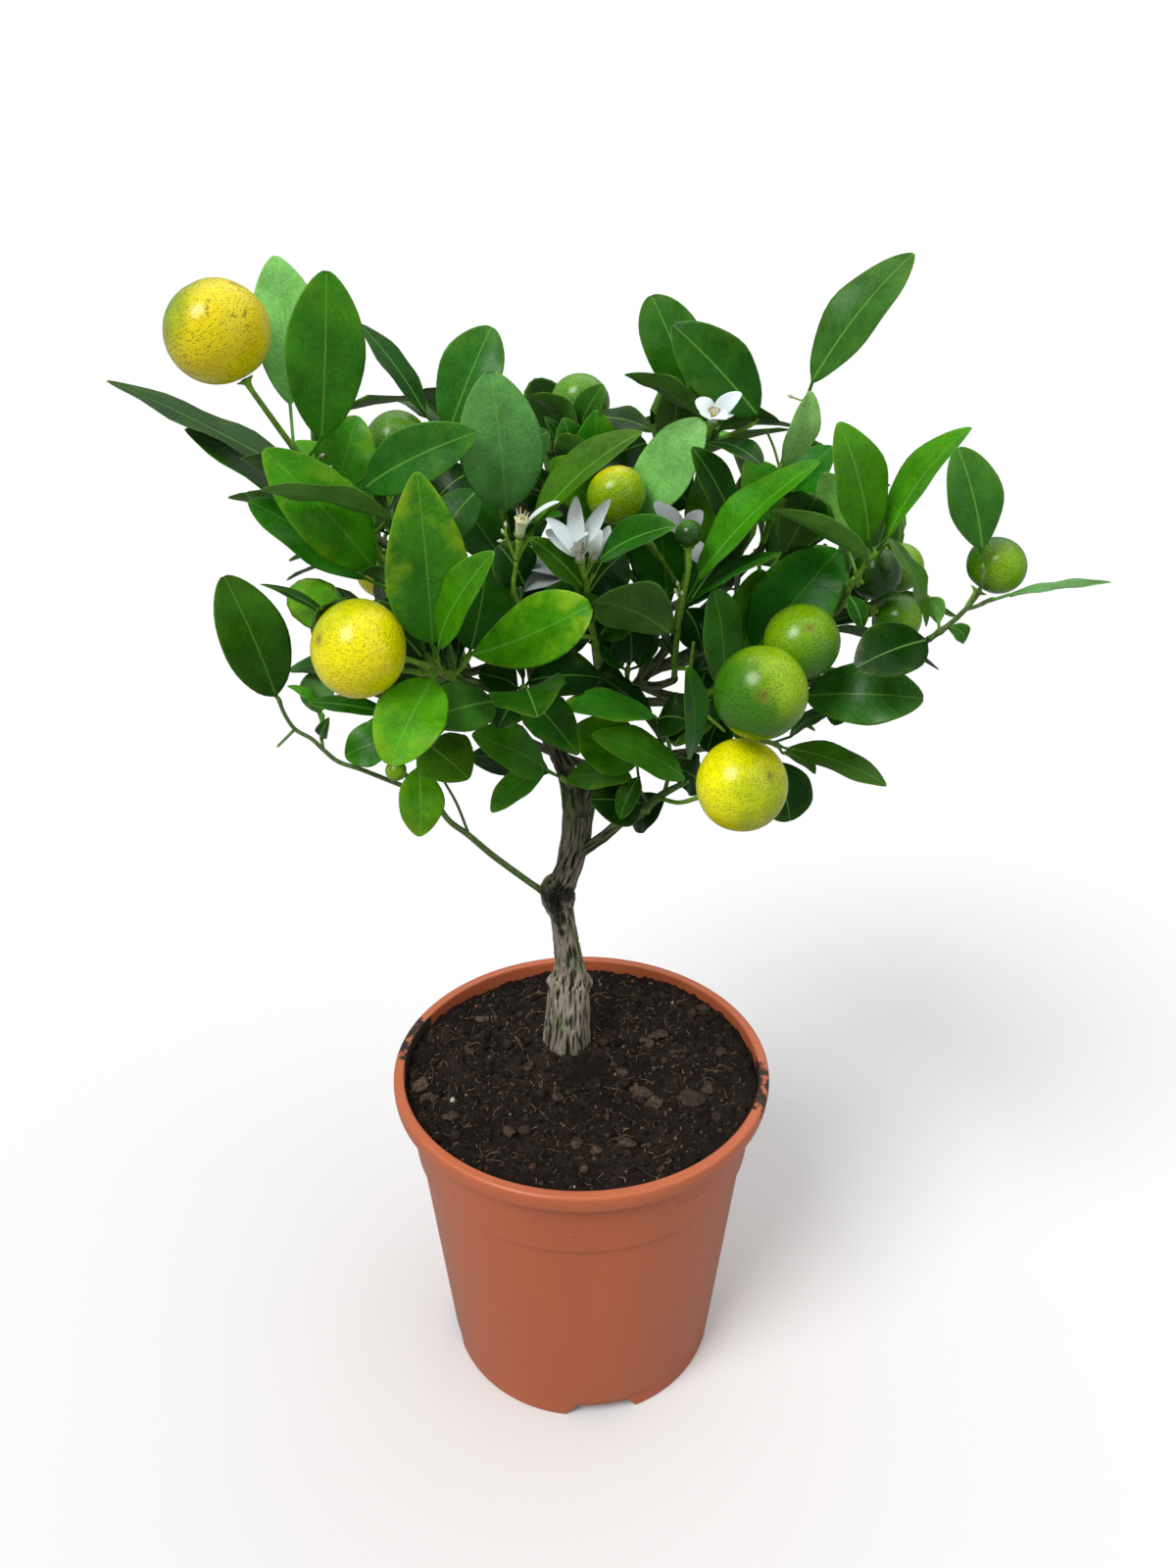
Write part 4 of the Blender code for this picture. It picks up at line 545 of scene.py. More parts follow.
# The two powers of a grown leaf's outline: their middle, how far they vary, and how fast from leaf to leaf
GROWN_FORMS = ((0.94, 0.12, 2.4), (0.7, 0.08, 3.7))
GROWN_TURNS = (0, 20, -20, 40, -40, 60, -60, 80, -80)
GROWN_SHIFTS = (0, 6, -6, 12, -12)
NEARLY_PARALLEL = 0.9


def tube(points, radii, sides):
    """A closed tube: a ring of `sides` points round every point of the path, and a flat cap at each end."""
    points = np.asarray(points, float)
    radii = np.broadcast_to(radii, len(points))
    steps = np.gradient(points, axis=0)
    side = across(ASKEW, steps[0])
    angles = round_angles(sides)
    rings = []
    for point, step, radius in zip(points, steps, radii):
        side = across(side, step)
        other = np.cross(unit(step), side)
        rings.append(point + radius * (np.outer(np.cos(angles), side) + np.outer(np.sin(angles), other)))
    faces = []
    for ring in range(len(points) - 1):
        for k in range(sides):
            a, b = ring * sides + k, ring * sides + (k + 1) % sides
            faces.append((a, b, b + sides, a + sides))
    faces.append(tuple(range(sides))[::-1])
    faces.append(tuple((len(points) - 1) * sides + k for k in range(sides)))
    return np.vstack(rings), faces


def half_outline(way, peak, blunt):
    """Half the width along a blade, from 0 through 1 to 0: the sine of the way's power, to a power."""
    return np.sin(math.pi * way**peak) ** blunt


def blade(leaf, sections, grow=0.0):
    """A leaf as a chain of four-point sections: petiole root, blade base, the blade's sections and its tip.

    Each section has a point on either edge, one on the upper side of the midrib and one on the lower
    side, and both sides are split into the same triangles. `grow` makes the leaf that much wider.
    """
    root, base, tip = leaf["root"], leaf["base"], leaf["tip"]
    along = unit(tip - base)
    top = across(leaf["top"], along)
    side = np.cross(along, top)
    stalk = unit(base - root)
    length = np.linalg.norm(tip - base)
    rise = math.tan(leaf["fold"])
    chain = []
    for place, direction, half in ((root, stalk, PETIOLE_HALF), (base, unit(stalk + along), PETIOLE_HALF)):
        square = side if abs(np.dot(side, direction)) < NEARLY_PARALLEL else top
        wide = across(square, direction) * (half + grow)
        high = np.cross(wide, direction)
        chain.append((place + wide, place + high, place - wide, place - high))
    thick = top * (BLADE_THICKNESS / 2 + grow)
    for u in sections:
        bow = 4 * u * (1 - u)
        middle = base + along * length * u + (top * leaf["arch"] + side * leaf["sweep"]) * bow
        half = float(half_outline(u, *PLAIN_OUTLINE)) * leaf["wide"] / 2 + grow
        edge = top * half * rise
        chain.append((middle + side * half + edge, middle + thick, middle - side * half + edge,
                      middle - thick))
    points = [point for section in chain for point in section] + [tip + along * grow]
    faces = [(0, 2, 1), (0, 3, 2)]
    last = len(chain) - 1
    for index in range(last):
        a, b = 4 * index, 4 * index + 4
        for edge in (0, 2):
            for mid in (1, 3):
                turn = 1 if (edge, mid) in ((0, 1), (2, 3)) else -1
                faces.append((a + edge, a + mid, b + edge)[::turn])
                faces.append((a + mid, b + mid, b + edge)[::turn])
    end, point = 4 * last, len(points) - 1
    for k in range(4):
        faces.append((end + k, end + (k + 1) % 4, point))
    return np.array(points), faces


def ball(centre, axis, radius, around, rings):
    """A fruit: rings of points round its axis, a little flattened from stalk to blossom end."""
    side = across(FRUIT_ASKEW, axis)
    other = np.cross(axis, side)
    angles = round_angles(around)
    circle = np.outer(np.cos(angles), side) + np.outer(np.sin(angles), other)
    points = [centre - axis * radius * FRUIT_FLATNESS]
    for ring in range(1, rings):
        tilt = math.pi * ring / rings
        points.extend(centre + radius * (math.sin(tilt) * circle - FRUIT_FLATNESS * math.cos(tilt) * axis))
    points.append(centre + axis * radius * FRUIT_FLATNESS)
    faces = []
    for k in range(around):
        a, b = 1 + k, 1 + (k + 1) % around
        faces.append((0, b, a))
        for ring in range(rings - 2):
            step = ring * around
            faces.append((a + step, b + step, b + step + around, a + step + around))
        step = (rings - 2) * around
        faces.append((a + step, b + step, len(points) - 1))
    return np.array(points), faces


# How far a leaf may be moved along the sight line to clear its neighbours, as steps for tip and base
SHIFTS = ((0, 0), (3, 0), (-3, 0), (6, 0), (-6, 0), (9, 3), (-9, -3), (4, 4), (-4, -4), (12, 4), (-12, -4),
          (8, 8), (-8, -8), (16, 6), (-16, -6), (12, 12), (-12, -12), (20, 10), (-20, -10), (26, 14),
          (-26, -14))
TURNS = (0.0, 14.0, -14.0)


def stem_tubes(plant):
    """The shoot's stems as (dense course, radii) and the stalks of its fruits and blooms."""
    main = smooth(plant["stem"], FINE * (len(plant["stem"]) - 1) + 1)
    main[0] += GAP * unit(main[1] - main[0])
    stems = [(main, np.linspace(*plant["thick"], len(main)))]
    for points, first, last in plant["sides"]:
        course = smooth(points, FINE * (len(points) - 1) + 1)
        stems.append((course, np.linspace(first, last, len(course))))
    stalks = []
    for one in plant["fruits"]:
        hang = one["stalk"][-1]
        axis = unit(hang - one["centre"])
        seat = one["centre"] + axis * (one["radius"] * FRUIT_FLATNESS + GAP)
        if np.linalg.norm(hang - seat) < STALK_DROP or np.dot(hang - seat, axis) < 0:
            hang = seat + axis * STALK_DROP
        course = np.vstack((one["stalk"][:-1], hang, seat + axis * CALYX_DEPTH, seat))
        radii = np.full(len(course), STALK_RADIUS)
        radii[-2:] = CALYX_NECK, min(CALYX_RADIUS, CALYX_SHARE * one["radius"])
        stalks.append((course, radii))
    for one in plant["blooms"]:
        course = np.array(one["stalk"])
        course[-1] -= GAP * unit(course[-1] - course[-2])
        stalks.append((course, np.linspace(*PEDICEL, len(course))))
    return stems, stalks


def nearest_on(stems, point):
    """The course and the index of the stem point that lies nearest, its ends left out."""
    best = None
    for course, _ in stems:
        gaps = np.linalg.norm(course[1:-1] - point, axis=1)
        index = int(np.argmin(gaps)) + 1
        if best is None or gaps[index - 1] < best[0]:
            best = (gaps[index - 1], course, index)
    return best[1], best[2]


def rooted(stems, base, tip):
    """The spot inside the stem that a petiole grows from: a little way back from the nearest point."""
    course, index = nearest_on(stems, base)
    reach = PETIOLE_LEAN * np.linalg.norm(base - course[index])
    while index > 2 and reach > 0:
        reach -= np.linalg.norm(course[index] - course[index - 1])
        index -= 1
    root = course[index]
    if np.linalg.norm(base - root) < SHORTEST_PETIOLE:
        base = root + SHORTEST_PETIOLE * unit(unit(base - root) + unit(tip - root))
    return root, base


def read_leaf(stems, read, tip_shift, base_shift, turn):
    """A leaf of the picture as points in space."""
    near = read["near"]
    if near is None:
        course, index = nearest_on(stems, seen(*read["base"], -stems[0][0][-1][1]))
        near = LEAF_LIFT - course[index][1]
    near += base_shift
    base = seen(*read["base"], near)
    tip = seen(*read["tip"], near + read["toward"] + tip_shift)
    root, base = rooted(stems, base, tip)
    along = unit(tip - base)
    facing = across(EYE - 0.5 * (base + tip), along)
    sky = np.cross(along, facing)
    if np.dot(sky, SKYWARD) < 0:
        sky = -sky
    roll = read["roll"] + math.radians(turn)
    top = facing * math.cos(roll) + sky * math.sin(roll)
    return dict(read, root=root, base=base, tip=tip, top=top)


def grow_leaf(stems, number, count, length, spread, tip_shift, turn):
    """A leaf that the spiral rule places on the main stem, pointing outward, its upper side to the sky."""
    course = stems[0][0]
    first_place, last_place = GROWN_STRETCH
    place = first_place + (last_place - first_place) * (number + 0.5) / count
    index = min(max(int(round(place * (len(course) - 1))), 1), len(course) - 2)
    along = unit(course[index + 1] - course[index - 1])
    first = across(UP if abs(along[2]) < NEARLY_PARALLEL else RIGHT, along)
    other = np.cross(along, first)
    angle = number * GOLDEN_TURN + math.radians(turn)
    outward = math.cos(angle) * first + math.sin(angle) * other
    heading = unit(along * math.cos(spread) + outward * math.sin(spread) + GROWN_RISE * UP)
    root = course[index]
    base = root + GROWN_PETIOLE * unit(along + outward)
    tip = base + length * heading
    away = unit(tip - DOME_CENTRE)
    top = across(GROWN_FACING[0] * UP + GROWN_FACING[1] * away + GROWN_FACING[2] * along, heading)
    tip = tip + top * tip_shift
    form = [middle + spread * math.sin(number * beat) for middle, spread, beat in GROWN_FORMS]
    return dict(root=root, base=base, tip=tip, top=top, wide=length * WIDTH_TO_LENGTH,
                arch=GROWN_ARCH * length, sweep=0.0, fold=math.radians(BLADE_FOLD), tone=None, form=form)


def tree_of(points, faces):
    """A search tree of the faces."""
    return BVHTree.FromPolygons([tuple(p) for p in points], faces)


class Crown:
    """What stands in the crown so far: every piece with its owner, its box and a tree of its faces."""

    def __init__(self):
        self.pieces = []

    def add(self, owner, points, faces):
        self.pieces.append((owner, points.min(axis=0), points.max(axis=0), tree_of(points, faces)))

    def clear(self, points, faces, owner=None, only=None):
        """Whether a shape crosses no piece, leaving out those of `owner`, or looking at those of `only`."""
        low, high = points.min(axis=0), points.max(axis=0)
        tree = None
        for name, piece_low, piece_high, piece in self.pieces:
            if name == owner or (only is not None and name != only):
                continue
            if np.any(piece_high < low) or np.any(piece_low > high):
                continue
            tree = tree or tree_of(points, faces)
            if tree.overlap(piece):
                return False
        return True


def beyond_petiole(points, faces):
    """The faces of a leaf that don't touch its root section or the blade's base."""
    return points, [face for face in faces if min(face) >= 4]


def placed_leaves(plants):
    """Every leaf that finds room, by shoot: those of the picture, the grown ones, then the inner ones."""
    crown = Crown()
    for name, points, faces in wood_pieces(plants) + fruit_pieces(plants) + bloom_pieces(plants):
        crown.add(name, points, faces)
    courses = {}
    for plant in plants:
        stems, stalks = stem_tubes(plant)
        courses[plant["name"]] = stems
        for course, radii in stems:
            crown.add(plant["name"], *tube(course[::FINE], radii[::FINE] + CLEARANCE, STEM_SIDES))
        for course, radii in stalks:
            crown.add(plant["name"], *tube(course, radii + CLEARANCE, TWIG_SIDES))
    leaves = {plant["name"]: [] for plant in plants}

    def settle(owner, candidates, sections):
        for candidate in candidates:
            wide_shape = blade(candidate, sections, CLEARANCE)
            own_shape = beyond_petiole(*blade(candidate, sections))
            if crown.clear(*wide_shape, owner=owner) and crown.clear(*own_shape, only=owner):
                leaves[owner].append((candidate, sections))
                crown.add(owner, *beyond_petiole(*blade(candidate, sections)))
                return True
        return False

    for plant in plants:
        for read in plant["leaves"]:
            stems = courses[plant["name"]]
            tries = (read_leaf(stems, read, *shift, turn) for turn in TURNS for shift in SHIFTS)
            span = np.linalg.norm(seen(*read["tip"], MIDDLE_NEAR + read["toward"])
                                  - seen(*read["base"], MIDDLE_NEAR))
            settle(plant["name"], tries, BLADE_SECTIONS if span > SHORT_LEAF else PLAIN_SECTIONS)
    rng = np.random.default_rng(SEED)
    for plant in plants:
        for index in range(plant["grown"] or 0):
            length = rng.uniform(*GROWN_LENGTH)
            spread = GROWN_SPREAD + rng.uniform(-GROWN_VARIATION, GROWN_VARIATION)
            stems = courses[plant["name"]]
            tries = (grow_leaf(stems, index, plant["grown"], length, spread, shift, turn)
                     for turn in GROWN_TURNS for shift in GROWN_SHIFTS)
            inside = (one for one in tries
                      if np.sum(np.abs((one["tip"] - DOME_CENTRE) / DOME_REACH) ** DOME_POWER) < 1)
            settle(plant["name"], inside, PLAIN_SECTIONS)

    pictured = pictured_tree(plants, leaves)
    for owner, reads in INNER_LEAVES.items():
        for read in reads:
            tries = (read_leaf(courses[owner], read, *shift, turn) for turn in TURNS for shift in SHIFTS)
            settle(owner, tries, BLADE_SECTIONS)
    rng = np.random.default_rng(SEED + 1)
    for plant in plants:
        wood = [smooth(limb_line(plant)[0], LIMB_STEPS)] + [course for course, _ in courses[plant["name"]]]
        for place, course in enumerate(wood):
            count = INNER_COUNTS[min(place, 2)]
            for index in range(count):
                length = rng.uniform(*INNER_LENGTH)
                spread = GROWN_SPREAD + rng.uniform(-GROWN_VARIATION, GROWN_VARIATION)
                tries = (grow_leaf([(course, None)], index, count, length, spread, 0, turn)
                         for turn in GROWN_TURNS)
                unpictured = (dict(one, inner=True) for one in tries if unseen(one, pictured))
                settle(plant["name"], unpictured, PLAIN_SECTIONS)
    return leaves


def inner(base, tip, toward, wide, roll, near=None):
    """A leaf deep in the crown, painted dark green as painted shade."""
    return leaf(base, tip, toward, wide, roll, near=near, tone="dark")


# Leaves deep in the crown that only the finished plant has
INNER_LEAVES = {
    "shoot_north_left": (inner((482, 482), (444, 512), 0, 24, 30, -8),
                         inner((520, 552), (556, 512), 0, 26, 30, -8)),
    "shoot_trunk_front": (inner((560, 788), (478, 772), -6, 22, 40, -10),),
    "shoot_right_front": (inner((730, 708), (688, 762), 0, 22, 30, -8),),
    "shoot_front_centre": (inner((602, 604), (636, 566), -6, 24, 20, 22),
                           inner((534, 596), (508, 556), -8, 20, 20, 26),
                           inner((590, 625), (548, 585), -8, 26, 20, 14)),
    "shoot_front_left": (inner((500, 704), (545, 684), -6, 26, 30, 2),
                         inner((505, 712), (540, 740), -6, 22, 30, 2),
                         inner((480, 700), (508, 735), -4, 20, 30, 6)),
    "shoot_front_low": (inner((530, 703), (488, 688), -4, 22, 30, 4),
                        inner((532, 706), (508, 744), -2, 20, 30, 2)),
    "shoot_north_centre": (inner((604, 478), (660, 452), -6, 26, 20, -34),),
    "shoot_centre_right": (inner((694, 618), (716, 664), 0, 22, 30, -12),),
    "shoot_inner": (inner((640, 697), (610, 702), 0, 20, 30, -18),),
    "shoot_inner_centre": (inner((600, 640), (560, 668), 0, 26, 30),
                           inner((602, 620), (640, 660), 0, 26, 30)),
    "shoot_low_centre": (inner((672, 734), (704, 736), 0, 22, 30),
                         inner((712, 706), (720, 670), 0, 14, 20),
                         inner((654, 820), (602, 816), 0, 26, 30, -16),
                         inner((678, 814), (646, 844), 0, 18, 30, -4)),
    "shoot_low_right": (inner((714, 800), (684, 782), 0, 20, 30),
                        inner((758, 760), (692, 812), 0, 24, 40, -16)),
}
# Gaps in which the picture shows no leaf: the pixel and how far each reaches
GAPS = ((374, 400, 30), (767, 470, 24), (791, 443, 12), (773, 557, 12), (790, 555, 12), (357, 589, 12),
        (698, 663, 10), (681, 688, 14), (666, 713, 10), (864, 651, 10), (896, 543, 10), (812, 517, 10))
INNER_LENGTH = (28.0, 46.0)
# How many inner leaves are tried on a limb, on the main stem and on each side stem
INNER_COUNTS = (7, 8, 4)
LIMB_STEPS = 40
# No inner leaf's tip reaches further back than this, and none shows outside this oval of the picture
BACK_LIMIT = 104.0
INNER_CENTRE_PX = np.array((610.0, 600.0))
INNER_REACH_PX = np.array((320.0, 180.0))


def pictured_tree(plants, leaves):
    """One tree of all that the picture shows of the crown: its own leaves, the fruits and the blooms."""
    shapes = [(points, faces) for _, points, faces in fruit_pieces(plants) + bloom_pieces(plants)]
    shapes += [blade(one, sections) for plant in plants for one, sections in leaves[plant["name"]]
               if one["tone"] is not None]
    points, faces = [], []
    for shape_points, shape_faces in shapes:
        faces += [tuple(corner + len(points) for corner in face) for face in shape_faces]
        points += list(shape_points)
    return tree_of(points, faces)


def unseen(one, pictured):
    """Whether a leaf lies inside the crown as the viewer sees it and hides nothing that the picture shows."""
    if one["tip"][1] > BACK_LIMIT:
        return False
    middle = 0.5 * (one["base"] + one["tip"])
    side = np.cross(unit(one["tip"] - one["base"]), one["top"]) * one["wide"] / 2
    spots = [blend(one["base"], one["tip"], share) for share in (0.0, 0.25, 0.5, 0.75, 1.0)]
    for spot in (*spots, middle + side, middle - side):
        ray = spot - EYE
        deep = np.dot(ray, AHEAD)
        pixel = np.array((CENTRE_X_PX + FOCAL_PX * np.dot(ray, RIGHT) / deep,
                          CENTRE_Y_PX - FOCAL_PX * np.dot(ray, UPRIGHT) / deep))
        if np.sum(((pixel - INNER_CENTRE_PX) / INNER_REACH_PX) ** 2) > 1:
            return False
        if any(math.hypot(pixel[0] - x, pixel[1] - y) < reach for x, y, reach in GAPS):
            return False
        if pictured.ray_cast(Vector(spot), Vector(unit(ray)))[0] is not None:
            return False
    return True


def wood_pieces(plants):
    """The trunk, its leaders and the limbs that carry the shoots, each as a tube."""
    pieces = []
    for course, sides in [(TRUNK, TRUNK_SIDES)] + [(course, LEADER_SIDES) for course in LEADERS]:
        points, radii = zip(*course)
        pieces.append(("trunk", *tube(points, radii, sides)))
    for plant in plants:
        pieces.append(("trunk", *tube(*limb_line(plant), LIMB_SIDES)))
    return pieces


def limb_line(plant):
    """The course and radii of the limb that carries a shoot."""
    main = smooth(plant["stem"], FINE * (len(plant["stem"]) - 1) + 1)
    ahead = unit(main[1] - main[0])
    line = plant["limb"] + [main[0] - LIMB_BEND * ahead, main[0]]
    start = plant["thick"][0]
    return line, np.linspace(start + LIMB_TAPER, start, len(line))


def fruit_pieces(plants):
    """The fruits as the frame has them, each with its name."""
    pieces = []
    for plant in plants:
        for one in plant["fruits"]:
            axis = unit(one["stalk"][-1] - one["centre"])
            around, rings = next((a, r) for least, a, r in FRUIT_GRIDS if one["radius"] > least)
            pieces.append((one["name"], *ball(one["centre"], axis, one["radius"], around, rings)))
    return pieces


def seat_of(one):
    """The heart of a bloom and the way that it faces."""
    heart = one["stalk"][-1]
    return heart, unit(heart - one["stalk"][-2])


def petal_to(tip, heart, axis, **form):
    """A petal from the heart to its tip, in the form of a leaf with a short stalk."""
    root = heart + axis * PETAL_SEAT
    base = root + PETAL_CLAW * unit(unit(tip - root) + PETAL_LIFT * axis)
    along = unit(tip - base)
    top = across(axis if abs(np.dot(axis, along)) < PETAL_ALIGNED else unit(EYE - base), along)
    return dict(root=root, base=base, tip=tip, top=top, **form)


def bloom_shapes(one):
    """The heart, the ring of stamens and the petals of a bloom."""
    heart, axis = seat_of(one)
    heights, radii = zip(*HEART, (one["stamens"], STAMEN_SPREAD))
    shapes = [tube([heart + axis * height for height in heights], radii, HEART_SIDES)]
    for tip in one["petals"]:
        petal = petal_to(tip, heart, axis, wide=one["wide"], arch=PETAL_ARCH, sweep=0.0, fold=PETAL_FOLD)
        shapes.append(blade(petal, PETAL_SECTIONS))
    return shapes


def bloom_pieces(plants):
    """The blooms as the frame has them, each with its name."""
    return [(one["name"], points, faces) for plant in plants for one in plant["blooms"]
            for points, faces in bloom_shapes(one)]


# Surfaces: every new shape is rings of points, or one grid of them, worked out as whole arrays

# Odd factors that scatter the lattice corners of the noise
HASH_STEPS = np.array((73856093, 19349663, 83492791))
HASH_SEED = 1013
HASH_MIX = 1274126177
HASH_TOP = 0xFFFF


def noise(points, seed=0):
    """Smooth noise from -1 to 1: a random value at every corner of a cubic lattice, blended by a cubic
    step along each axis."""
    points = np.asarray(points, float)
    cell = np.floor(points).astype(np.int64)
    share = points - cell
    ease = share * share * (3 - 2 * share)
    total = np.zeros(points.shape[:-1])
    for corner in np.ndindex(2, 2, 2):
        key = (cell + np.array(corner)) @ HASH_STEPS + seed * HASH_SEED
        key = ((key ^ (key >> 13)) * HASH_MIX) & 0x7FFFFFFF
        key = (key ^ (key >> 15)) & HASH_TOP
        weight = np.prod(np.where(np.array(corner, bool), ease, 1 - ease), axis=-1)
        total += weight * (2 * key / HASH_TOP - 1)
    return total


def layered(points, seed=0, layers=3):
    """Noise added to itself at twice the fineness and half the height, layer after layer."""
    points = np.asarray(points, float)
    return sum(noise(points * 2**k, seed + k) / 2**k for k in range(layers))


def step_between(low, high, values):
    """0 below `low`, 1 above `high`, and a cubic step between them."""
    share = np.clip((np.asarray(values, float) - low) / (high - low), 0, 1)
    return share * share * (3 - 2 * share)


def blend(first, second, share):
    """Colours mixed: all of the first where the share is 0, all of the second where it is 1."""
    share = np.asarray(share, float)[..., None]
    return np.asarray(first) * (1 - share) + np.asarray(second) * share


def with_alpha(tint, alpha=1.0):
    """Colours with a fourth value at every point, which the materials read."""
    tint = np.asarray(tint, float)
    alpha = np.broadcast_to(alpha, tint.shape[:-1])
    return np.concatenate((tint, alpha[..., None]), -1)


def frames(course):
    """The way ahead at each point of a course, and two directions square to it and to each other."""
    ahead = unit(np.gradient(course, axis=0))
    steadiest = np.linalg.svd(ahead, full_matrices=False)[2][-1]
    side = across(np.broadcast_to(steadiest, ahead.shape), ahead)
    return ahead, side, np.cross(ahead, side)


def skin(rings, tint, place=(0.0, 0.0, 0.0), finish=0):
    """A closed surface through rings of points that run counter-clockwise round the way ahead.

    Four-sided faces join each ring to the next, and each end gets a middle point and a fan of
    three-sided ones. `tint` and `place` are kept at every point, for the materials.
    """
    rows, columns = rings.shape[:2]
    here = np.arange(columns)
    after = (here + 1) % columns
    starts = np.arange(rows - 1)[:, None] * columns
    quads = np.stack((starts + here, starts + after, starts + after + columns, starts + here + columns), -1)
    last, middle = (rows - 1) * columns, rows * columns
    fans = np.concatenate((np.stack((np.full(columns, middle), after, here), 1),
                           np.stack((np.full(columns, middle + 1), last + here, last + after), 1)))

    def kept(values, size):
        values = np.broadcast_to(values, (rows, columns, size))
        return np.vstack((values.reshape(-1, size), values[0].mean(0), values[-1].mean(0)))

    return dict(points=kept(rings, 3), quads=quads.reshape(-1, 4), fans=fans, tint=kept(tint, 4),
                place=kept(place, 3), finish=finish)


def round_rings(course, radii, sides):
    """Rings of points round a course: radius times the cosine and sine of evenly spread angles."""
    _, side, other = frames(course)
    angles = round_angles(sides)
    radii = np.asarray(radii, float)
    if radii.ndim < 2:
        radii = np.broadcast_to(radii, len(course))[:, None]
    radii = np.broadcast_to(radii[..., None], (len(course), sides, 1))
    circle = np.cos(angles)[:, None] * side[:, None] + np.sin(angles)[:, None] * other[:, None]
    return course[:, None] + radii * circle


def rod(course, radii, around, tint, finish=0):
    """Rings round a course, closed, in one colour that the materials leave as it is."""
    return skin(round_rings(course, radii, around), (*tint, 0.0), finish=finish)


def add_object(name, data):
    """Adds a mesh to the scene as an object."""
    made = bpy.data.objects.new(name, data)
    bpy.context.scene.collection.objects.link(made)
    return made


def make_piece(name, shapes, finishes, nodes):
    """One mesh from all its shapes, in metres, that rides on the root body in place of the frame's nodes."""
    counts = [len(one["points"]) for one in shapes]
    offsets = np.cumsum([0] + counts[:-1])
    points = np.vstack([one["points"] for one in shapes]) * MM
    quads = np.vstack([one["quads"] + offset for one, offset in zip(shapes, offsets)])
    fans = np.vstack([one["fans"] + offset for one, offset in zip(shapes, offsets)])
    finish = np.concatenate([np.full(len(one["quads"]), one["finish"]) for one in shapes]
                            + [np.full(len(one["fans"]), one["finish"]) for one in shapes])
    mesh = bpy.data.meshes.new(name)
    corners = np.concatenate((quads.ravel(), fans.ravel()))
    starts = np.concatenate((np.arange(len(quads)) * 4, len(quads) * 4 + np.arange(len(fans)) * 3))
    mesh.vertices.add(len(points))
    mesh.vertices.foreach_set("co", points.ravel())
    mesh.loops.add(len(corners))
    mesh.loops.foreach_set("vertex_index", corners.astype(np.int32))
    mesh.polygons.add(len(starts))
    mesh.polygons.foreach_set("loop_start", starts.astype(np.int32))
    mesh.polygons.foreach_set("material_index", finish.astype(np.int32))
    mesh.polygons.foreach_set("use_smooth", np.ones(len(starts), bool))
    tint = mesh.color_attributes.new("tint", "FLOAT_COLOR", "POINT")
    tint.data.foreach_set("color", np.vstack([one["tint"] for one in shapes]).ravel())
    place = mesh.attributes.new("place", "FLOAT_VECTOR", "POINT")
    place.data.foreach_set("vector", np.vstack([one["place"] for one in shapes]).ravel())
    mesh.update(calc_edges=True)
    if mesh.validate():
        raise RuntimeError(f"{name}: its mesh had faults")
    piece = add_object(name, mesh)
    for made in finishes:
        mesh.materials.append(made)
    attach(piece, "root")
    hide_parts(*nodes)
    return piece


# Materials: grains, cells and reliefs are sized in millimetres, all other numbers are levels

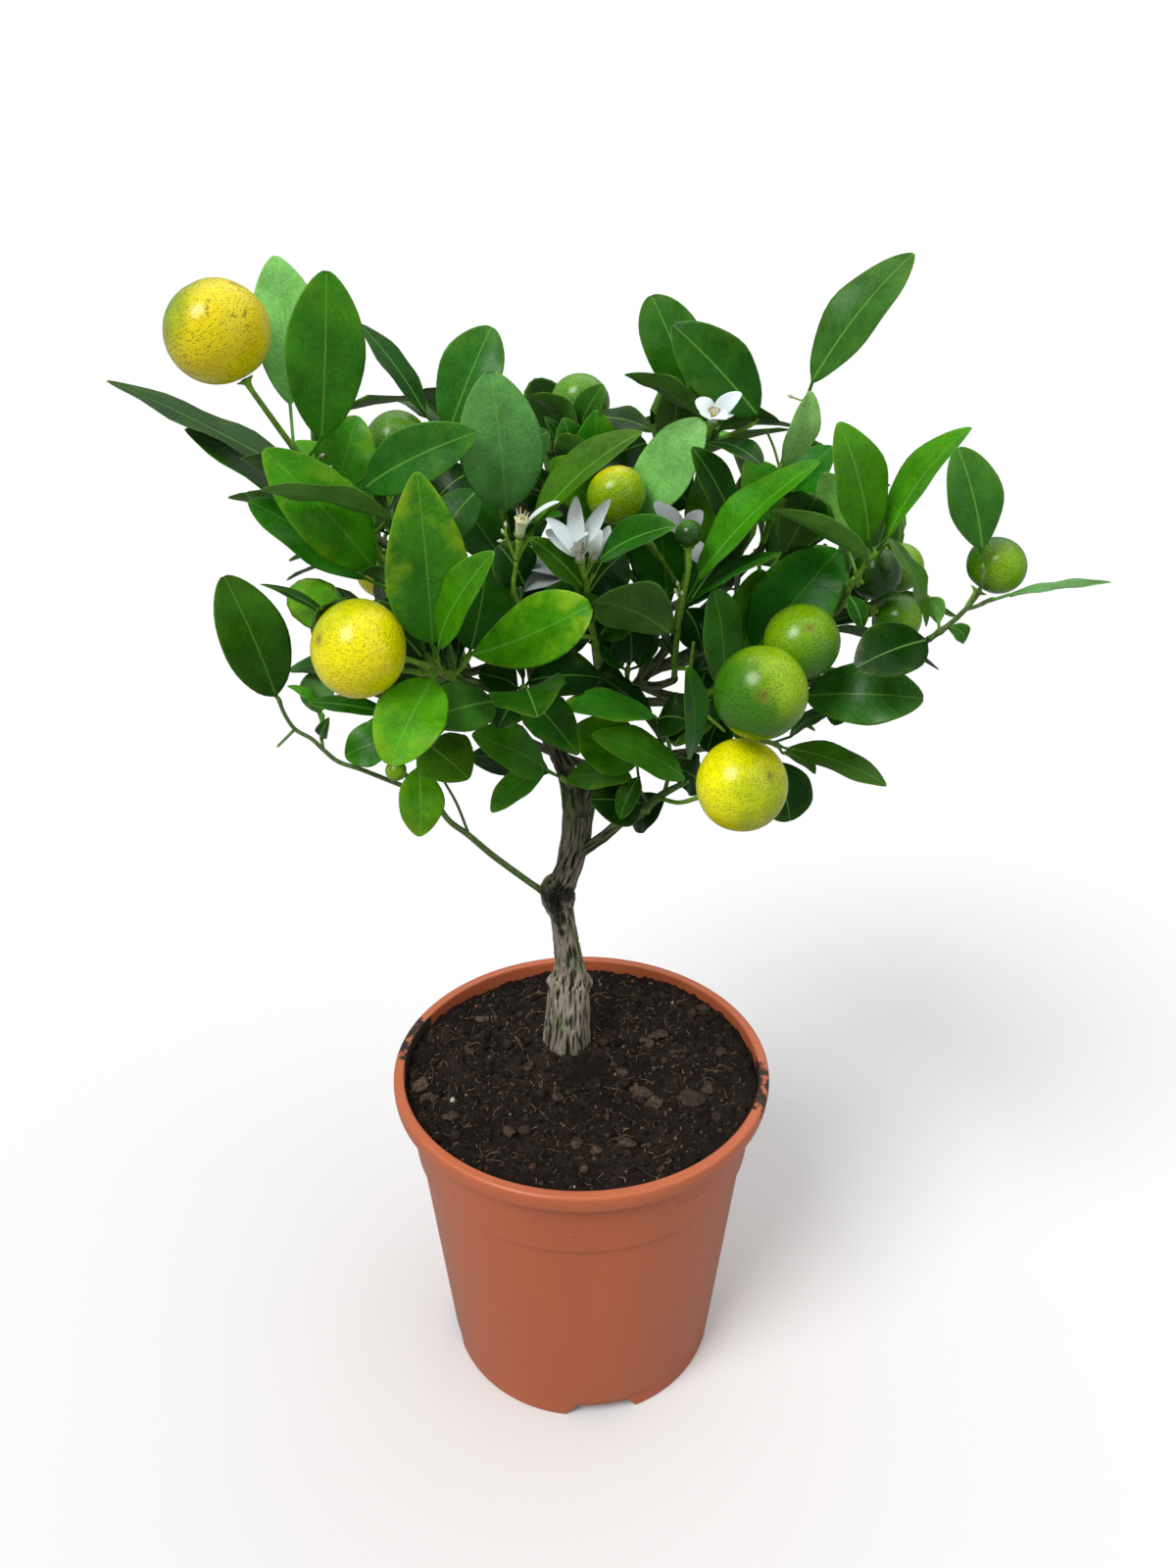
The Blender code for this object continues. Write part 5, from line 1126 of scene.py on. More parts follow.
class Finish:
    """A Principled material whose nodes are added and joined by short calls."""

    def __init__(self, name, **sockets):
        self.made = bpy.data.materials.new(name)
        self.made.use_nodes = True
        self.tree = self.made.node_tree
        self.shader = self.tree.nodes["Principled BSDF"]
        for socket, value in sockets.items():
            self.shader.inputs[socket.replace("_", " ")].default_value = value
        self.surface = self.node("ShaderNodeTexCoord").outputs["Object"]

    def node(self, kind, *values, **settings):
        """A node with its settings, and its inputs in order: numbers, colours, or outputs to join."""
        made = self.tree.nodes.new(kind)
        for name, value in settings.items():
            setattr(made, name, value)
        for socket, value in zip(made.inputs, values):
            self.give(socket, value)
        return made

    def give(self, socket, value):
        if isinstance(value, bpy.types.NodeSocket):
            self.tree.links.new(value, socket)
        elif value is not None:
            socket.default_value = value

    def maths(self, operation, *values, clamp=False):
        return self.node("ShaderNodeMath", *values, operation=operation, use_clamp=clamp).outputs[0]

    def times(self, first, second):
        return self.maths("MULTIPLY", first, second)

    def times_plus(self, first, second, third, clamp=False):
        """The product of the first two values, and the third added."""
        return self.maths("MULTIPLY_ADD", first, second, third, clamp=clamp)

    def between(self, value, low, high, out_low=0.0, out_high=1.0):
        """A cubic step of a value from one range to another."""
        return self.node("ShaderNodeMapRange", value, low, high, out_low, out_high,
                         interpolation_type="SMOOTHSTEP").outputs[0]

    def mixed(self, share, first, second, how="MIX"):
        made = self.tree.nodes.new("ShaderNodeMix")
        made.data_type = "RGBA"
        made.blend_type = how
        self.give(made.inputs["Factor"], share)
        colours = [socket for socket in made.inputs if socket.type == "RGBA"]
        self.give(colours[0], first)
        self.give(colours[1], second)
        return next(socket for socket in made.outputs if socket.type == "RGBA")

    def shaded(self, tint, value, low, high, dark, light):
        """A colour times a grey that goes from `dark` to `light` as a value goes from low to high."""
        level = self.between(value, low, high, dark, light)
        grey = self.node("ShaderNodeCombineColor", level, level, level).outputs[0]
        return self.mixed(1.0, tint, grey, "MULTIPLY")

    def grain(self, size, detail=3.0, roughness=0.55, stretch=None):
        """Noise whose lumps are about `size` millimetres across, stretched along the axes if asked."""
        where = self.surface
        if stretch:
            where = self.node("ShaderNodeMapping", where, None, None, stretch).outputs[0]
        made = self.tree.nodes.new("ShaderNodeTexNoise")
        self.give(made.inputs["Vector"], where)
        made.inputs["Scale"].default_value = 1 / (size * MM)
        made.inputs["Detail"].default_value = detail
        made.inputs["Roughness"].default_value = roughness
        return made.outputs["Fac"]

    def cells(self, size, feature="F1"):
        """Distance from the middle of cells about `size` millimetres across."""
        made = self.tree.nodes.new("ShaderNodeTexVoronoi")
        made.feature = feature
        self.give(made.inputs["Vector"], self.surface)
        made.inputs["Scale"].default_value = 1 / (size * MM)
        return made.outputs["Distance"]

    def tint(self):
        """The colour and the alpha that the mesh keeps at every point."""
        made = self.node("ShaderNodeAttribute", attribute_name="tint")
        return made.outputs["Color"], made.outputs["Alpha"]

    def place(self):
        """The vector that the mesh keeps at every point."""
        return self.node("ShaderNodeAttribute", attribute_name="place").outputs["Vector"]

    def parts(self, vector):
        return self.node("ShaderNodeSeparateXYZ", vector).outputs

    def relief(self, height, depth, strength=1.0):
        """Bump `depth` millimetres deep."""
        made = self.tree.nodes.new("ShaderNodeBump")
        made.inputs["Strength"].default_value = strength
        made.inputs["Distance"].default_value = depth * MM
        self.give(made.inputs["Height"], height)
        self.tree.links.new(made.outputs["Normal"], self.shader.inputs["Normal"])

    def colour(self, value):
        self.give(self.shader.inputs["Base Color"], value)

    def roughness(self, value):
        self.give(self.shader.inputs["Roughness"], value)


def leaf_finish(looks):
    """Waxy leaf: its own green in soft clouds, a fine pale midrib, hardly visible side veins, yellower
    towards the margin where its alpha asks for it, pale specks, and a duller, paler underside."""
    made = Finish("leaf", Coat_Weight=0.05, Coat_Roughness=0.2, Specular_IOR_Level=0.13)
    tint, patches = made.tint()
    along, sideways, reach = made.parts(made.place())
    off = made.maths("ABSOLUTE", sideways)
    half = made.maths("ABSOLUTE", reach)
    share = made.maths("DIVIDE", off, made.maths("MAXIMUM", half, 0.5))
    upper = made.between(reach, -0.1, 0.1)
    on_blade = made.between(along, 0.0, 0.05)
    thin = made.times_plus(along, -0.36, 0.52)
    rib = made.times(made.between(made.maths("DIVIDE", off, thin), 1.3, 0.5), on_blade)
    slant = made.times_plus(share, -0.2, along)
    wander = made.times_plus(made.grain(9.0, 1.0), 0.06, slant)
    turn = made.maths("FRACT", made.times(wander, 10.0))
    vein = made.between(made.maths("ABSOLUTE", made.maths("SUBTRACT", turn, 0.5)), 0.07, 0.0)
    vein = made.times(vein, made.times(on_blade, made.between(share, 0.95, 0.7)))
    cloud = made.grain(13.0, 4.0, 0.62)
    fine = made.grain(0.9, 3.0, 0.65)
    both = made.times_plus(fine, 0.42, made.times(cloud, 0.58))
    green = made.shaded(tint, both, 0.32, 0.68, 0.66, 1.32)
    margin = made.times(share, made.times(share, 0.2))
    tipward = made.times_plus(made.times(along, along), 0.24, margin)
    ripe = made.maths("ADD", made.grain(9.0, 3.0), tipward)
    patch = made.times(made.between(ripe, 0.62, 0.98), patches)
    green = made.mixed(made.times(patch, upper), green, (*looks.patches, 1.0))
    speck = made.between(made.cells(2.3), 0.13, 0.04, 0.0, 0.3)
    speck = made.times(speck, made.between(made.grain(10.0, 1.0), 0.5, 0.65))
    lines = made.times_plus(vein, looks.vein_strength, made.times(rib, looks.rib_strength), clamp=True)
    green = made.mixed(made.maths("MAXIMUM", lines, speck), green, (*looks.ribs, 1.0))
    edge = made.between(made.maths("SUBTRACT", half, off), 0.45, 0.1, 0.0, 0.5)
    made.colour(made.mixed(made.times(edge, on_blade), green, (*looks.ribs, 1.0)))
    worn = made.times_plus(fine, 0.16, made.between(cloud, 0.35, 0.7, 0.0, 0.14))
    made.roughness(made.maths("ADD", worn, made.between(upper, 0.0, 1.0, 0.42, 0.2)))
    height = made.times_plus(fine, 0.2, made.times(vein, -0.12))
    made.relief(made.times_plus(made.grain(4.0, 1.0), 0.8, height), 0.3)
    return made.made


def stem_finish():
    """Green twigs: their own colour with lighter streaks and small warts."""
    made = Finish("green_stem", Specular_IOR_Level=0.25)
    tint, _ = made.tint()
    streak = made.grain(2.2, 3.0)
    made.colour(made.shaded(tint, streak, 0.3, 0.72, 0.72, 1.25))
    made.roughness(made.between(streak, 0.2, 0.8, 0.42, 0.62))
    made.relief(made.grain(0.7, 2.0), 0.12)
    return made.made


def bark_finish():
    """Bark: the colours of its ridges and grooves, broken up by fine grain, dust and dark flecks."""
    made = Finish("bark", Specular_IOR_Level=0.25)
    tint, _ = made.tint()
    along_wood = made.node("ShaderNodeVectorMath", made.place(), (MM, MM, MM), operation="MULTIPLY")
    made.surface = along_wood.outputs[0]
    grain = made.grain(0.9, 4.0, 0.65)
    bark = made.shaded(tint, grain, 0.28, 0.72, 0.55, 1.45)
    fleck = made.between(made.grain(0.6, 2.0), 0.6, 0.75, 0.0, 0.55)
    made.colour(made.mixed(fleck, bark, (0.33, 0.31, 0.25, 1.0)))
    made.roughness(made.between(grain, 0.2, 0.8, 0.95, 0.75))
    made.relief(grain, 0.7)
    return made.made


def peel_finish(looks):
    """Citrus peel: its own colour, oil glands as fine pits with a lighter rim, and brown specks by alpha."""
    made = Finish("peel", Coat_Weight=0.65, Coat_Roughness=0.24, Specular_IOR_Level=0.08)
    tint, specks = made.tint()
    pore = made.cells(looks.pore_size / MM)
    pit = made.between(pore, 0.5, 0.05)
    peel = made.shaded(tint, made.grain(4.0, 4.0, 0.65), 0.28, 0.72, 0.92, 1.06)
    peel = made.mixed(made.times(pit, 0.25), peel, (0.72, 0.8, 0.5, 1.0), "MULTIPLY")
    fine = made.times(made.between(made.grain(1.5, 3.0), 0.67, 0.75), 0.45)
    coarse = made.between(made.grain(3.2, 4.0, 0.6), 0.6, 0.65, 0.0, 0.8)
    speck = made.times(made.maths("MAXIMUM", fine, coarse), specks)
    made.colour(made.mixed(speck, peel, (0.14, 0.09, 0.01, 1.0)))
    made.roughness(made.between(made.grain(2.0, 2.0), 0.2, 0.8, 0.24, 0.38))
    swell = made.times(made.grain(3.0, 1.0), 0.6)
    made.relief(made.maths("SUBTRACT", swell, pit), looks.pore_depth / MM)
    return made.made


def petal_finish():
    """Petals, stamens and style: their own colour, with a faint satin and fine lengthwise streaks."""
    made = Finish("petal", Specular_IOR_Level=0.35, Subsurface_Weight=0.2, Subsurface_Scale=0.002)
    tint, _ = made.tint()
    _, sideways, _ = made.parts(made.place())
    streak = made.maths("SINE", made.times(sideways, 8.0))
    made.colour(made.shaded(tint, streak, -1.0, 1.0, 0.95, 1.0))
    made.roughness(made.between(made.grain(1.0, 2.0), 0.2, 0.8, 0.4, 0.55))
    made.relief(streak, 0.03)
    return made.made


def compost_finish():
    """Compost: lumps and fibres in their own colours, broken up by fine crumbs."""
    made = Finish("compost", Specular_IOR_Level=0.2)
    tint, _ = made.tint()
    crumb = made.grain(0.75, 4.0, 0.75)
    made.colour(made.shaded(tint, crumb, 0.32, 0.68, 0.2, 2.1))
    made.roughness(made.between(crumb, 0.2, 0.8, 0.98, 0.8))
    made.relief(crumb, 1.3)
    return made.made


def plastic_finish(looks):
    """Terracotta coloured plastic: faint flow marks, scuffs, and dark smears where alpha asks for it: soil on
    the rim, and in the mouth partly soil and partly painted shade.
    """
    made = Finish("terracotta_plastic", Specular_IOR_Level=0.42, Coat_Weight=0.12, Coat_Roughness=0.12)
    _, dirt_and_shade = made.tint()
    flow = made.grain(60.0, 2.0, 0.5, (1.0, 1.0, 0.25))
    scuff = made.grain(1.6, 4.0, 0.6)
    plastic = made.shaded((*looks.plastic, 1.0), flow, 0.3, 0.7, 0.95, 1.05)
    plastic = made.mixed(made.between(scuff, 0.62, 0.8, 0.0, 0.12), plastic, (0.75, 0.45, 0.32, 1.0))
    # Dark smears: soil on the rim, and in the mouth partly soil and partly painted shade
    smear = made.between(made.times_plus(made.grain(4.0, 4.0, 0.7), 1.2, dirt_and_shade), 1.2, 1.32)
    made.colour(made.mixed(smear, plastic, (0.03, 0.018, 0.012, 1.0)))
    made.roughness(made.times_plus(smear, 0.4, made.between(scuff, 0.3, 0.75, 0.3, 0.42)))
    made.relief(made.times_plus(smear, 1.5, made.times(made.grain(0.8, 2.0), 0.15)), 0.15)
    return made.made


# Leaves and stems

# Points round a blade and its rows, for a leaf read from the picture and for a grown one
PICTURED_BLADE = (16, np.array((0.0, 0.02, 0.05, 0.1, 0.16, 0.23, 0.31, 0.39, 0.47, 0.55, 0.63, 0.71, 0.785,
                                0.85, 0.905, 0.945, 0.975, 0.993)))
GROWN_BLADE = (8, np.array((0.0, 0.06, 0.18, 0.36, 0.56, 0.75, 0.9, 0.98)))
PETIOLE_ROWS = np.array((0.0, 0.3, 0.65))
PETIOLE_THICK = 0.62
LEAF_HALF_THICK = 0.24
RIB_DEPTH = 0.5
RIB_HALF = 0.9
RIB_TAPER = 0.75
BLADE_STARTS = 0.08
TIP_STARTS = 0.9
TIP_THINNING = 0.7
FOLD_SOFTNESS = 0.12
TONE_SPREAD = 0.14
WAVE_HEIGHTS = (0.03, 0.13)
WAVE_BEATS = (8, 15)
# How far the red, green and blue of a leaf's upper side vary from leaf to leaf
COLOUR_SPREAD = np.array((0.22, 0.0, 0.1))
# How far leaves of a green have yellowed where their row doesn't say it
YELLOWED = {"bright": 0.4, "lime": 0.6, "fresh": 0.4, "green": 0.15}
YELLOWED_OTHERS = 0.08
# The greens that leaves without one of their own take in turn
GREEN_MIX = ("deep", "dim", "bottle", "deep", "fresh", "sage", "green", "olive", "bright")
# Inner leaves take dark green, which is painted shade, in turn with deep green
INNER_MIX = ("dark", "deep", "dark", "deep", "dark")


def bent_section(one, rng, around, rows, half_widths, half_thick, rib, wave):
    """A blade from root to tip: rings of points round its midrib.

    The midrib runs straight from root to base, then to the tip with a bow of 4u(1-u). A ring is an
    ellipse as wide as the blade there and very flat. Its points are raised by the fold, which grows with
    the distance from the midrib, by a wave along either edge that grows with that distance squared, and
    on the under side lowered by the rib, a bell curve round the midrib.
    """
    root, base, tip = one["root"], one["base"], one["tip"]
    along = unit(tip - base)
    length = np.linalg.norm(tip - base)
    top = across(one["top"], along)
    side = np.cross(along, top)
    bow = (4 * rows * (1 - rows))[:, None]
    bent = (top * one["arch"] + side * one["sweep"]) * bow
    blade_path = base + along * length * rows[:, None] + bent
    path = np.vstack((root + (base - root) * PETIOLE_ROWS[:, None], blade_path))
    ahead = unit(np.gradient(path, axis=0))
    up = across(np.broadcast_to(top, path.shape), ahead)
    left = np.cross(up, ahead)
    stalk = len(PETIOLE_ROWS)
    stalk_half = np.full(stalk, PETIOLE_THICK)
    half = np.concatenate((stalk_half, np.maximum(half_widths, PETIOLE_THICK * (1 - rows) + 0.03)))
    flat = step_between(0.0, BLADE_STARTS, rows)
    thick = np.concatenate((stalk_half, blend([PETIOLE_THICK], [half_thick], flat)[:, 0]))
    thick *= np.concatenate((np.ones(stalk), 1 - TIP_THINNING * step_between(TIP_STARTS, 1.0, rows)))
    angles = round_angles(around)
    x, y = np.cos(angles)[None], np.sin(angles)[None]
    u = np.concatenate((np.zeros(stalk), rows))[:, None]
    half, thick = half[:, None], thick[:, None]
    spread = half * np.concatenate((np.zeros(stalk), flat))[:, None]
    rise = math.tan(one["fold"]) * spread * (np.sqrt(x * x + FOLD_SOFTNESS**2) - FOLD_SOFTNESS)
    phase = rng.uniform(0, 2 * math.pi, 2)
    beat = np.where(x > 0, np.sin(u * wave[1] + phase[0]), np.sin(u * wave[1] + phase[1]))
    ripple = wave[0] * x * x * beat * np.sin(math.pi * np.clip(u, 0, 1)) * spread
    under = rib * bell(x * half, RIB_HALF) * (1 - RIB_TAPER * u) * (y < -0.1) * (u > 0)
    high = y * thick + rise + ripple - under
    rings = path[:, None] + left[:, None] * (x * half)[..., None] + up[:, None] * high[..., None]
    facing = np.where(y > -1e-6, 1.0, -1.0)
    place = np.stack(np.broadcast_arrays(np.where(u > 0, u, -1.0), -x * half, facing * half), -1)
    return rings, place


def leaf_surface(one, tone, looks, rng):
    """A leaf: its outline is a sine of its length's power, and each leaf gets its own wave and shade."""
    around, rows = PICTURED_BLADE if one["tone"] else GROWN_BLADE
    wave = (rng.uniform(*WAVE_HEIGHTS), rng.uniform(*WAVE_BEATS))
    half = half_outline(rows, *one["form"]) * one["wide"] / 2
    rings, place = bent_section(one, rng, around, rows, half, LEAF_HALF_THICK, RIB_DEPTH, wave)
    upper = np.array(getattr(looks, tone)) * (1 + rng.uniform(-TONE_SPREAD, TONE_SPREAD))
    upper = upper * (1 + COLOUR_SPREAD * rng.uniform(-1, 1))
    under = np.array(looks.underside) * (0.6 + 8 * upper.mean())
    under = np.minimum(under * (1 + rng.uniform(-TONE_SPREAD, TONE_SPREAD)), 0.5)
    patches = one.get("ripe") or YELLOWED.get(tone, YELLOWED_OTHERS)
    return skin(rings, with_alpha(blend(under, upper, place[..., 2] > 0), patches), place)


JOINT_SWELL = 0.22
JOINT_REACH = 1.6
STALK_AROUND = 20
LOBE_DEPTH = 0.28
BUD_ROWS = np.linspace(0.06, 0.97, 7)
BUD_AROUND = 8
BUD_LENGTH = 2.2
BUD_SEAT = 0.5
BUD_WIDTH = 0.62


def stem_surface(course, radii, tint, sides=10, bumps=()):
    """A twig: rings round its course, a little thicker where each leaf grows from it, by a bell curve."""
    radii = np.asarray(radii, float).copy()
    for spot in bumps:
        gaps = np.linalg.norm(course - spot, axis=1)
        radii *= 1 + JOINT_SWELL * bell(gaps, JOINT_REACH)
    return rod(course, radii, sides, tint, 1)


def stalk_surface(course, radii, tint):
    """A fruit or flower stalk: rings round its course, and where it spreads into the calyx the radius
    swells and shrinks with the cosine of five times the angle."""
    spans = len(course) - 1
    fine = smooth(course, 6 * spans + 1)
    wide = np.interp(np.linspace(0, spans, len(fine)), np.arange(spans + 1), radii)
    share = step_between(radii[0] * 1.3, max(radii), wide)[:, None]
    lobes = 1 + LOBE_DEPTH * share * np.cos(CALYX_LOBES * round_angles(STALK_AROUND))
    return rod(fine, wide[:, None] * lobes, STALK_AROUND, tint, 1)


def bud_surface(place, toward, size, tint, finish=1):
    """A small bud: an egg on an axis, its radius the sine of the way from end to end."""
    course = place + toward * (BUD_ROWS[:, None] * BUD_LENGTH - BUD_SEAT) * size
    wide = size * BUD_WIDTH * half_outline(BUD_ROWS, 0.8, 1.0)[:, None]
    return rod(course, wide, BUD_AROUND, tint, finish)


WOODY_SHOOTS = ("shoot_low_left", "shoot_low_centre", "shoot_low_right", "shoot_far_east")
# Small buds: the pixel and nearness of each, and whether it is white or a green calyx left empty
SMALL_BUDS = {
    "shoot_northwest": ((327, 466, 27, True), (335, 478, 25, True), (338, 484, 24, True)),
    "shoot_front_centre": ((514, 544, 42, True), (512, 552, 42, True), (516, 537, 42, True)),
    "shoot_front_right_up": ((692, 597, 36, True), (696, 606, 38, True), (690, 604, 37, True)),
    "shoot_northeast": ((808, 405, 3, True),),
    "shoot_front_left": ((424, 646, 26, False),),
    "shoot_east": ((872, 590, 26, False),),
}
TWIG_SHADES = (0.85, 1.15)
STALK_SHADE = 1.15
TIP_BUD_SIZE = 1.15
TIP_BUD_SHADE = 1.1
SIDE_BUD_SHADE = 1.2
SIDE_BUD_SIZE = 0.9
FLOWER_BUD_SIZE = 1.2
FLOWER_BUD_STALK = np.full(5, 0.35)
FLOWER_BUD_STALK_SHADE = 1.3
EMPTY_CALYX_SHADE = 1.7


def build_shoots(looks):
    """Every shoot with its stems, leaves, stalks and buds."""
    finishes = [leaf_finish(looks), stem_finish()]
    plants = SHOOTS + HIDDEN_SHOOTS
    leaves = placed_leaves(plants)
    for number, plant in enumerate(plants):
        rng = np.random.default_rng(SEED + 100 + number)
        stems, stalks = stem_tubes(plant)
        roots = [one["root"] for one, _ in leaves[plant["name"]]]
        green = np.array(looks.stems)
        woody = np.array(looks.woody_stems) if plant["name"] in WOODY_SHOOTS else green
        shapes = []
        for index, (one, _) in enumerate(leaves[plant["name"]]):
            mix = INNER_MIX if one.get("inner") else GREEN_MIX
            tone = one["tone"] or mix[(index * 4 + number) % len(mix)]
            shapes.append(leaf_surface(one, tone, looks, rng))
        for course, radii in stems:
            shapes.append(stem_surface(course, radii, woody * rng.uniform(*TWIG_SHADES), bumps=roots))
            ahead = unit(course[-1] - course[-2])
            shapes.append(bud_surface(course[-1], ahead, radii[-1] * TIP_BUD_SIZE, green * TIP_BUD_SHADE))
        for root in roots:
            out = unit(root - nearest_axis(stems, root))
            shapes.append(bud_surface(root, unit(out + UP), SIDE_BUD_SIZE, green * SIDE_BUD_SHADE))
        for course, radii in stalks:
            shapes.append(stalk_surface(course, radii, green * STALK_SHADE))
        for px, py, near, white in SMALL_BUDS.get(plant["name"], ()):
            spot = seen(px, py, near)
            course, index = nearest_on(stems, spot)
            line = smooth((course[index], (course[index] + spot) / 2 - UP * 0.3, spot), len(FLOWER_BUD_STALK))
            shapes.append(stem_surface(line, FLOWER_BUD_STALK, green * FLOWER_BUD_STALK_SHADE, 6))
            tint = looks.buds if white else green * EMPTY_CALYX_SHADE
            shapes.append(bud_surface(spot, unit(spot - course[index] + UP), FLOWER_BUD_SIZE, tint))
        make_piece(plant["name"].replace("shoot", "leafy"), shapes, finishes, [plant["name"]])


def nearest_axis(stems, point):
    """A spot a little further down the stem than the nearest one, so that a bud points away from it."""
    course, index = nearest_on(stems, point)
    return course[max(index - 3, 0)]


# Wood

GROOVE_MM = 1.4
GROOVE_STRETCH = 8.5
RING_SPACING = 1.6
WARP_FINENESS = 0.7
WARP_REACH = 0.5
RIDGE_LEVEL = 0.4
LUMP_SHARE = 0.8
BARK_BORDER = (-0.25, 0.62)
LUMP_MM = 9.0
CLOUD_MM = 14.0
MOSS_MM = 11.0
# Between these heights the wood is painted darker towards the crown, as painted shade under the foliage, and
# lighter below them
SHADE_HEIGHTS = (175, 330)
SHADE_LEVELS = ([1.18], [0.62])
# Points round the wood, and the share of the trunk's ridge depth that leaders and limbs have
TRUNK_AROUND, LEADER_AROUND, LIMB_AROUND = 140, 50, 18
LEADER_DEPTH, LIMB_DEPTH = 0.55, 0.18
LEADER_GREEN, LIMB_GREEN = 0.25, 0.6
# Dark bark at the pruning knob and the sheath below it: middle and reach of each round patch
DARK_BARK = ((seen(556, 914, -20), 7.0), (seen(568, 914, -18), 7.5), (seen(580, 914, -20), 6.0),
             (seen(566, 926, -19), 6.0), (seen(570, 938, -20), 4.5), (seen(574, 950, -20), 3.0))
# Small knobs that stand out of the trunk: middle, reach and height
KNOBS = ((seen(559, 1000, -22), 4.5, 2.2), (seen(601, 1001, -22), 5.0, 2.4), (seen(596, 992, -16), 3.5, 1.2),
         (seen(566, 1010, -14), 3.5, 1.0), (seen(592, 846, -22), 4.0, 1.4), (seen(574, 868, -22), 3.5, 1.2))


def bark_surface(points, radii, around, depth, looks, seed, green=0.0):
    """Wood with its bark: rings round a smooth course whose radius is raised by ridges.

    A ridge is where layered noise, stretched along the wood, is near 0, and broad lumps are added.
    """
    points, radii = np.array(points), np.array(radii, float)
    length = np.linalg.norm(np.diff(points, axis=0), axis=1).sum()
    count = max(int(length / (2 * math.pi * radii.mean() / around) / RING_SPACING), 6)
    course = smooth(points, count)
    wide = smooth(radii[:, None], count)[:, 0]
    rings = round_rings(course, wide, around)
    flat = rings.copy()
    out = unit(rings - course[:, None])
    run = np.concatenate(([0], np.cumsum(np.linalg.norm(np.diff(course, axis=0), axis=1))))
    angles = round_angles(around)
    circle = np.stack((np.cos(angles), np.sin(angles)), 1)[None] * wide[:, None, None] / GROOVE_MM
    lengthwise = np.broadcast_to(run[:, None, None] / (GROOVE_MM * GROOVE_STRETCH), (count, around, 1))
    grid = np.concatenate((circle, lengthwise), -1)
    warp = noise(grid * WARP_FINENESS, seed + 9)[..., None] * WARP_REACH
    ridges = 1 - 2.0 * np.abs(layered(grid + warp, seed, 2))
    lumps = noise(flat / LUMP_MM, seed + 4)
    knobs = sum(height * bell(np.linalg.norm(flat - spot, axis=-1), reach) ** 2
                for spot, reach, height in KNOBS)
    rings = rings + out * (depth * (ridges - RIDGE_LEVEL) + depth * LUMP_SHARE * lumps + knobs)[..., None]
    share = step_between(*BARK_BORDER, ridges)
    tint = blend(looks.grooves, looks.ridges, share)
    tint = tint * (0.85 + 0.35 * noise(flat / CLOUD_MM, seed + 6))[..., None]
    # Painted shade: darker towards the crown, lighter at the foot
    tint = tint * blend(*SHADE_LEVELS, step_between(*SHADE_HEIGHTS, flat[..., 2]))
    dark = np.max([step_between(reach, 0.55 * reach, np.linalg.norm(flat - spot, axis=-1))
                   for spot, reach in DARK_BARK], axis=0)
    tint = blend(tint, np.array(looks.scar) * (0.7 + 0.6 * share)[..., None], dark * 0.95)
    moss = np.clip(green + 0.5 * step_between(0.1, 0.6, noise(flat / MOSS_MM, seed + 7)), 0, 1)
    tint = blend(tint, np.array(looks.green_film) * (0.4 + 0.9 * share)[..., None], moss * 0.8)
    place = np.concatenate((circle * GROOVE_MM, lengthwise * GROOVE_MM), -1)
    return skin(rings, with_alpha(tint), place)


def build_trunk(looks):
    """The trunk, its leaders and the limbs that carry the shoots."""
    depth = looks.ridge_depth / MM
    shapes = [bark_surface(*zip(*TRUNK), TRUNK_AROUND, depth, looks, 1)]
    for number, course in enumerate(LEADERS):
        shapes.append(bark_surface(*zip(*course), LEADER_AROUND, LEADER_DEPTH * depth, looks, 20 + number,
                                   LEADER_GREEN))
    for number, plant in enumerate(SHOOTS + HIDDEN_SHOOTS):
        shapes.append(bark_surface(*limb_line(plant), LIMB_AROUND, LIMB_DEPTH * depth, looks, 40 + number,
                                   LIMB_GREEN))
    make_piece("woody_trunk", shapes, [bark_finish()], ["trunk"])


# Fruits

RIPE = (1.0, 0.88, 0.001)
GOLD = (0.9, 0.74, 0.001)
LEMON = (1.0, 0.97, 0.001)
LIME = (0.45, 0.56, 0.003)
TURNING = (0.2, 0.4, 0.002)
LEAFY = (0.3, 0.5, 0.002)
PALE_GREEN = (0.13, 0.34, 0.02)
GREEN = (0.05, 0.2, 0.003)
DARK_GREEN = (0.018, 0.07, 0.004)
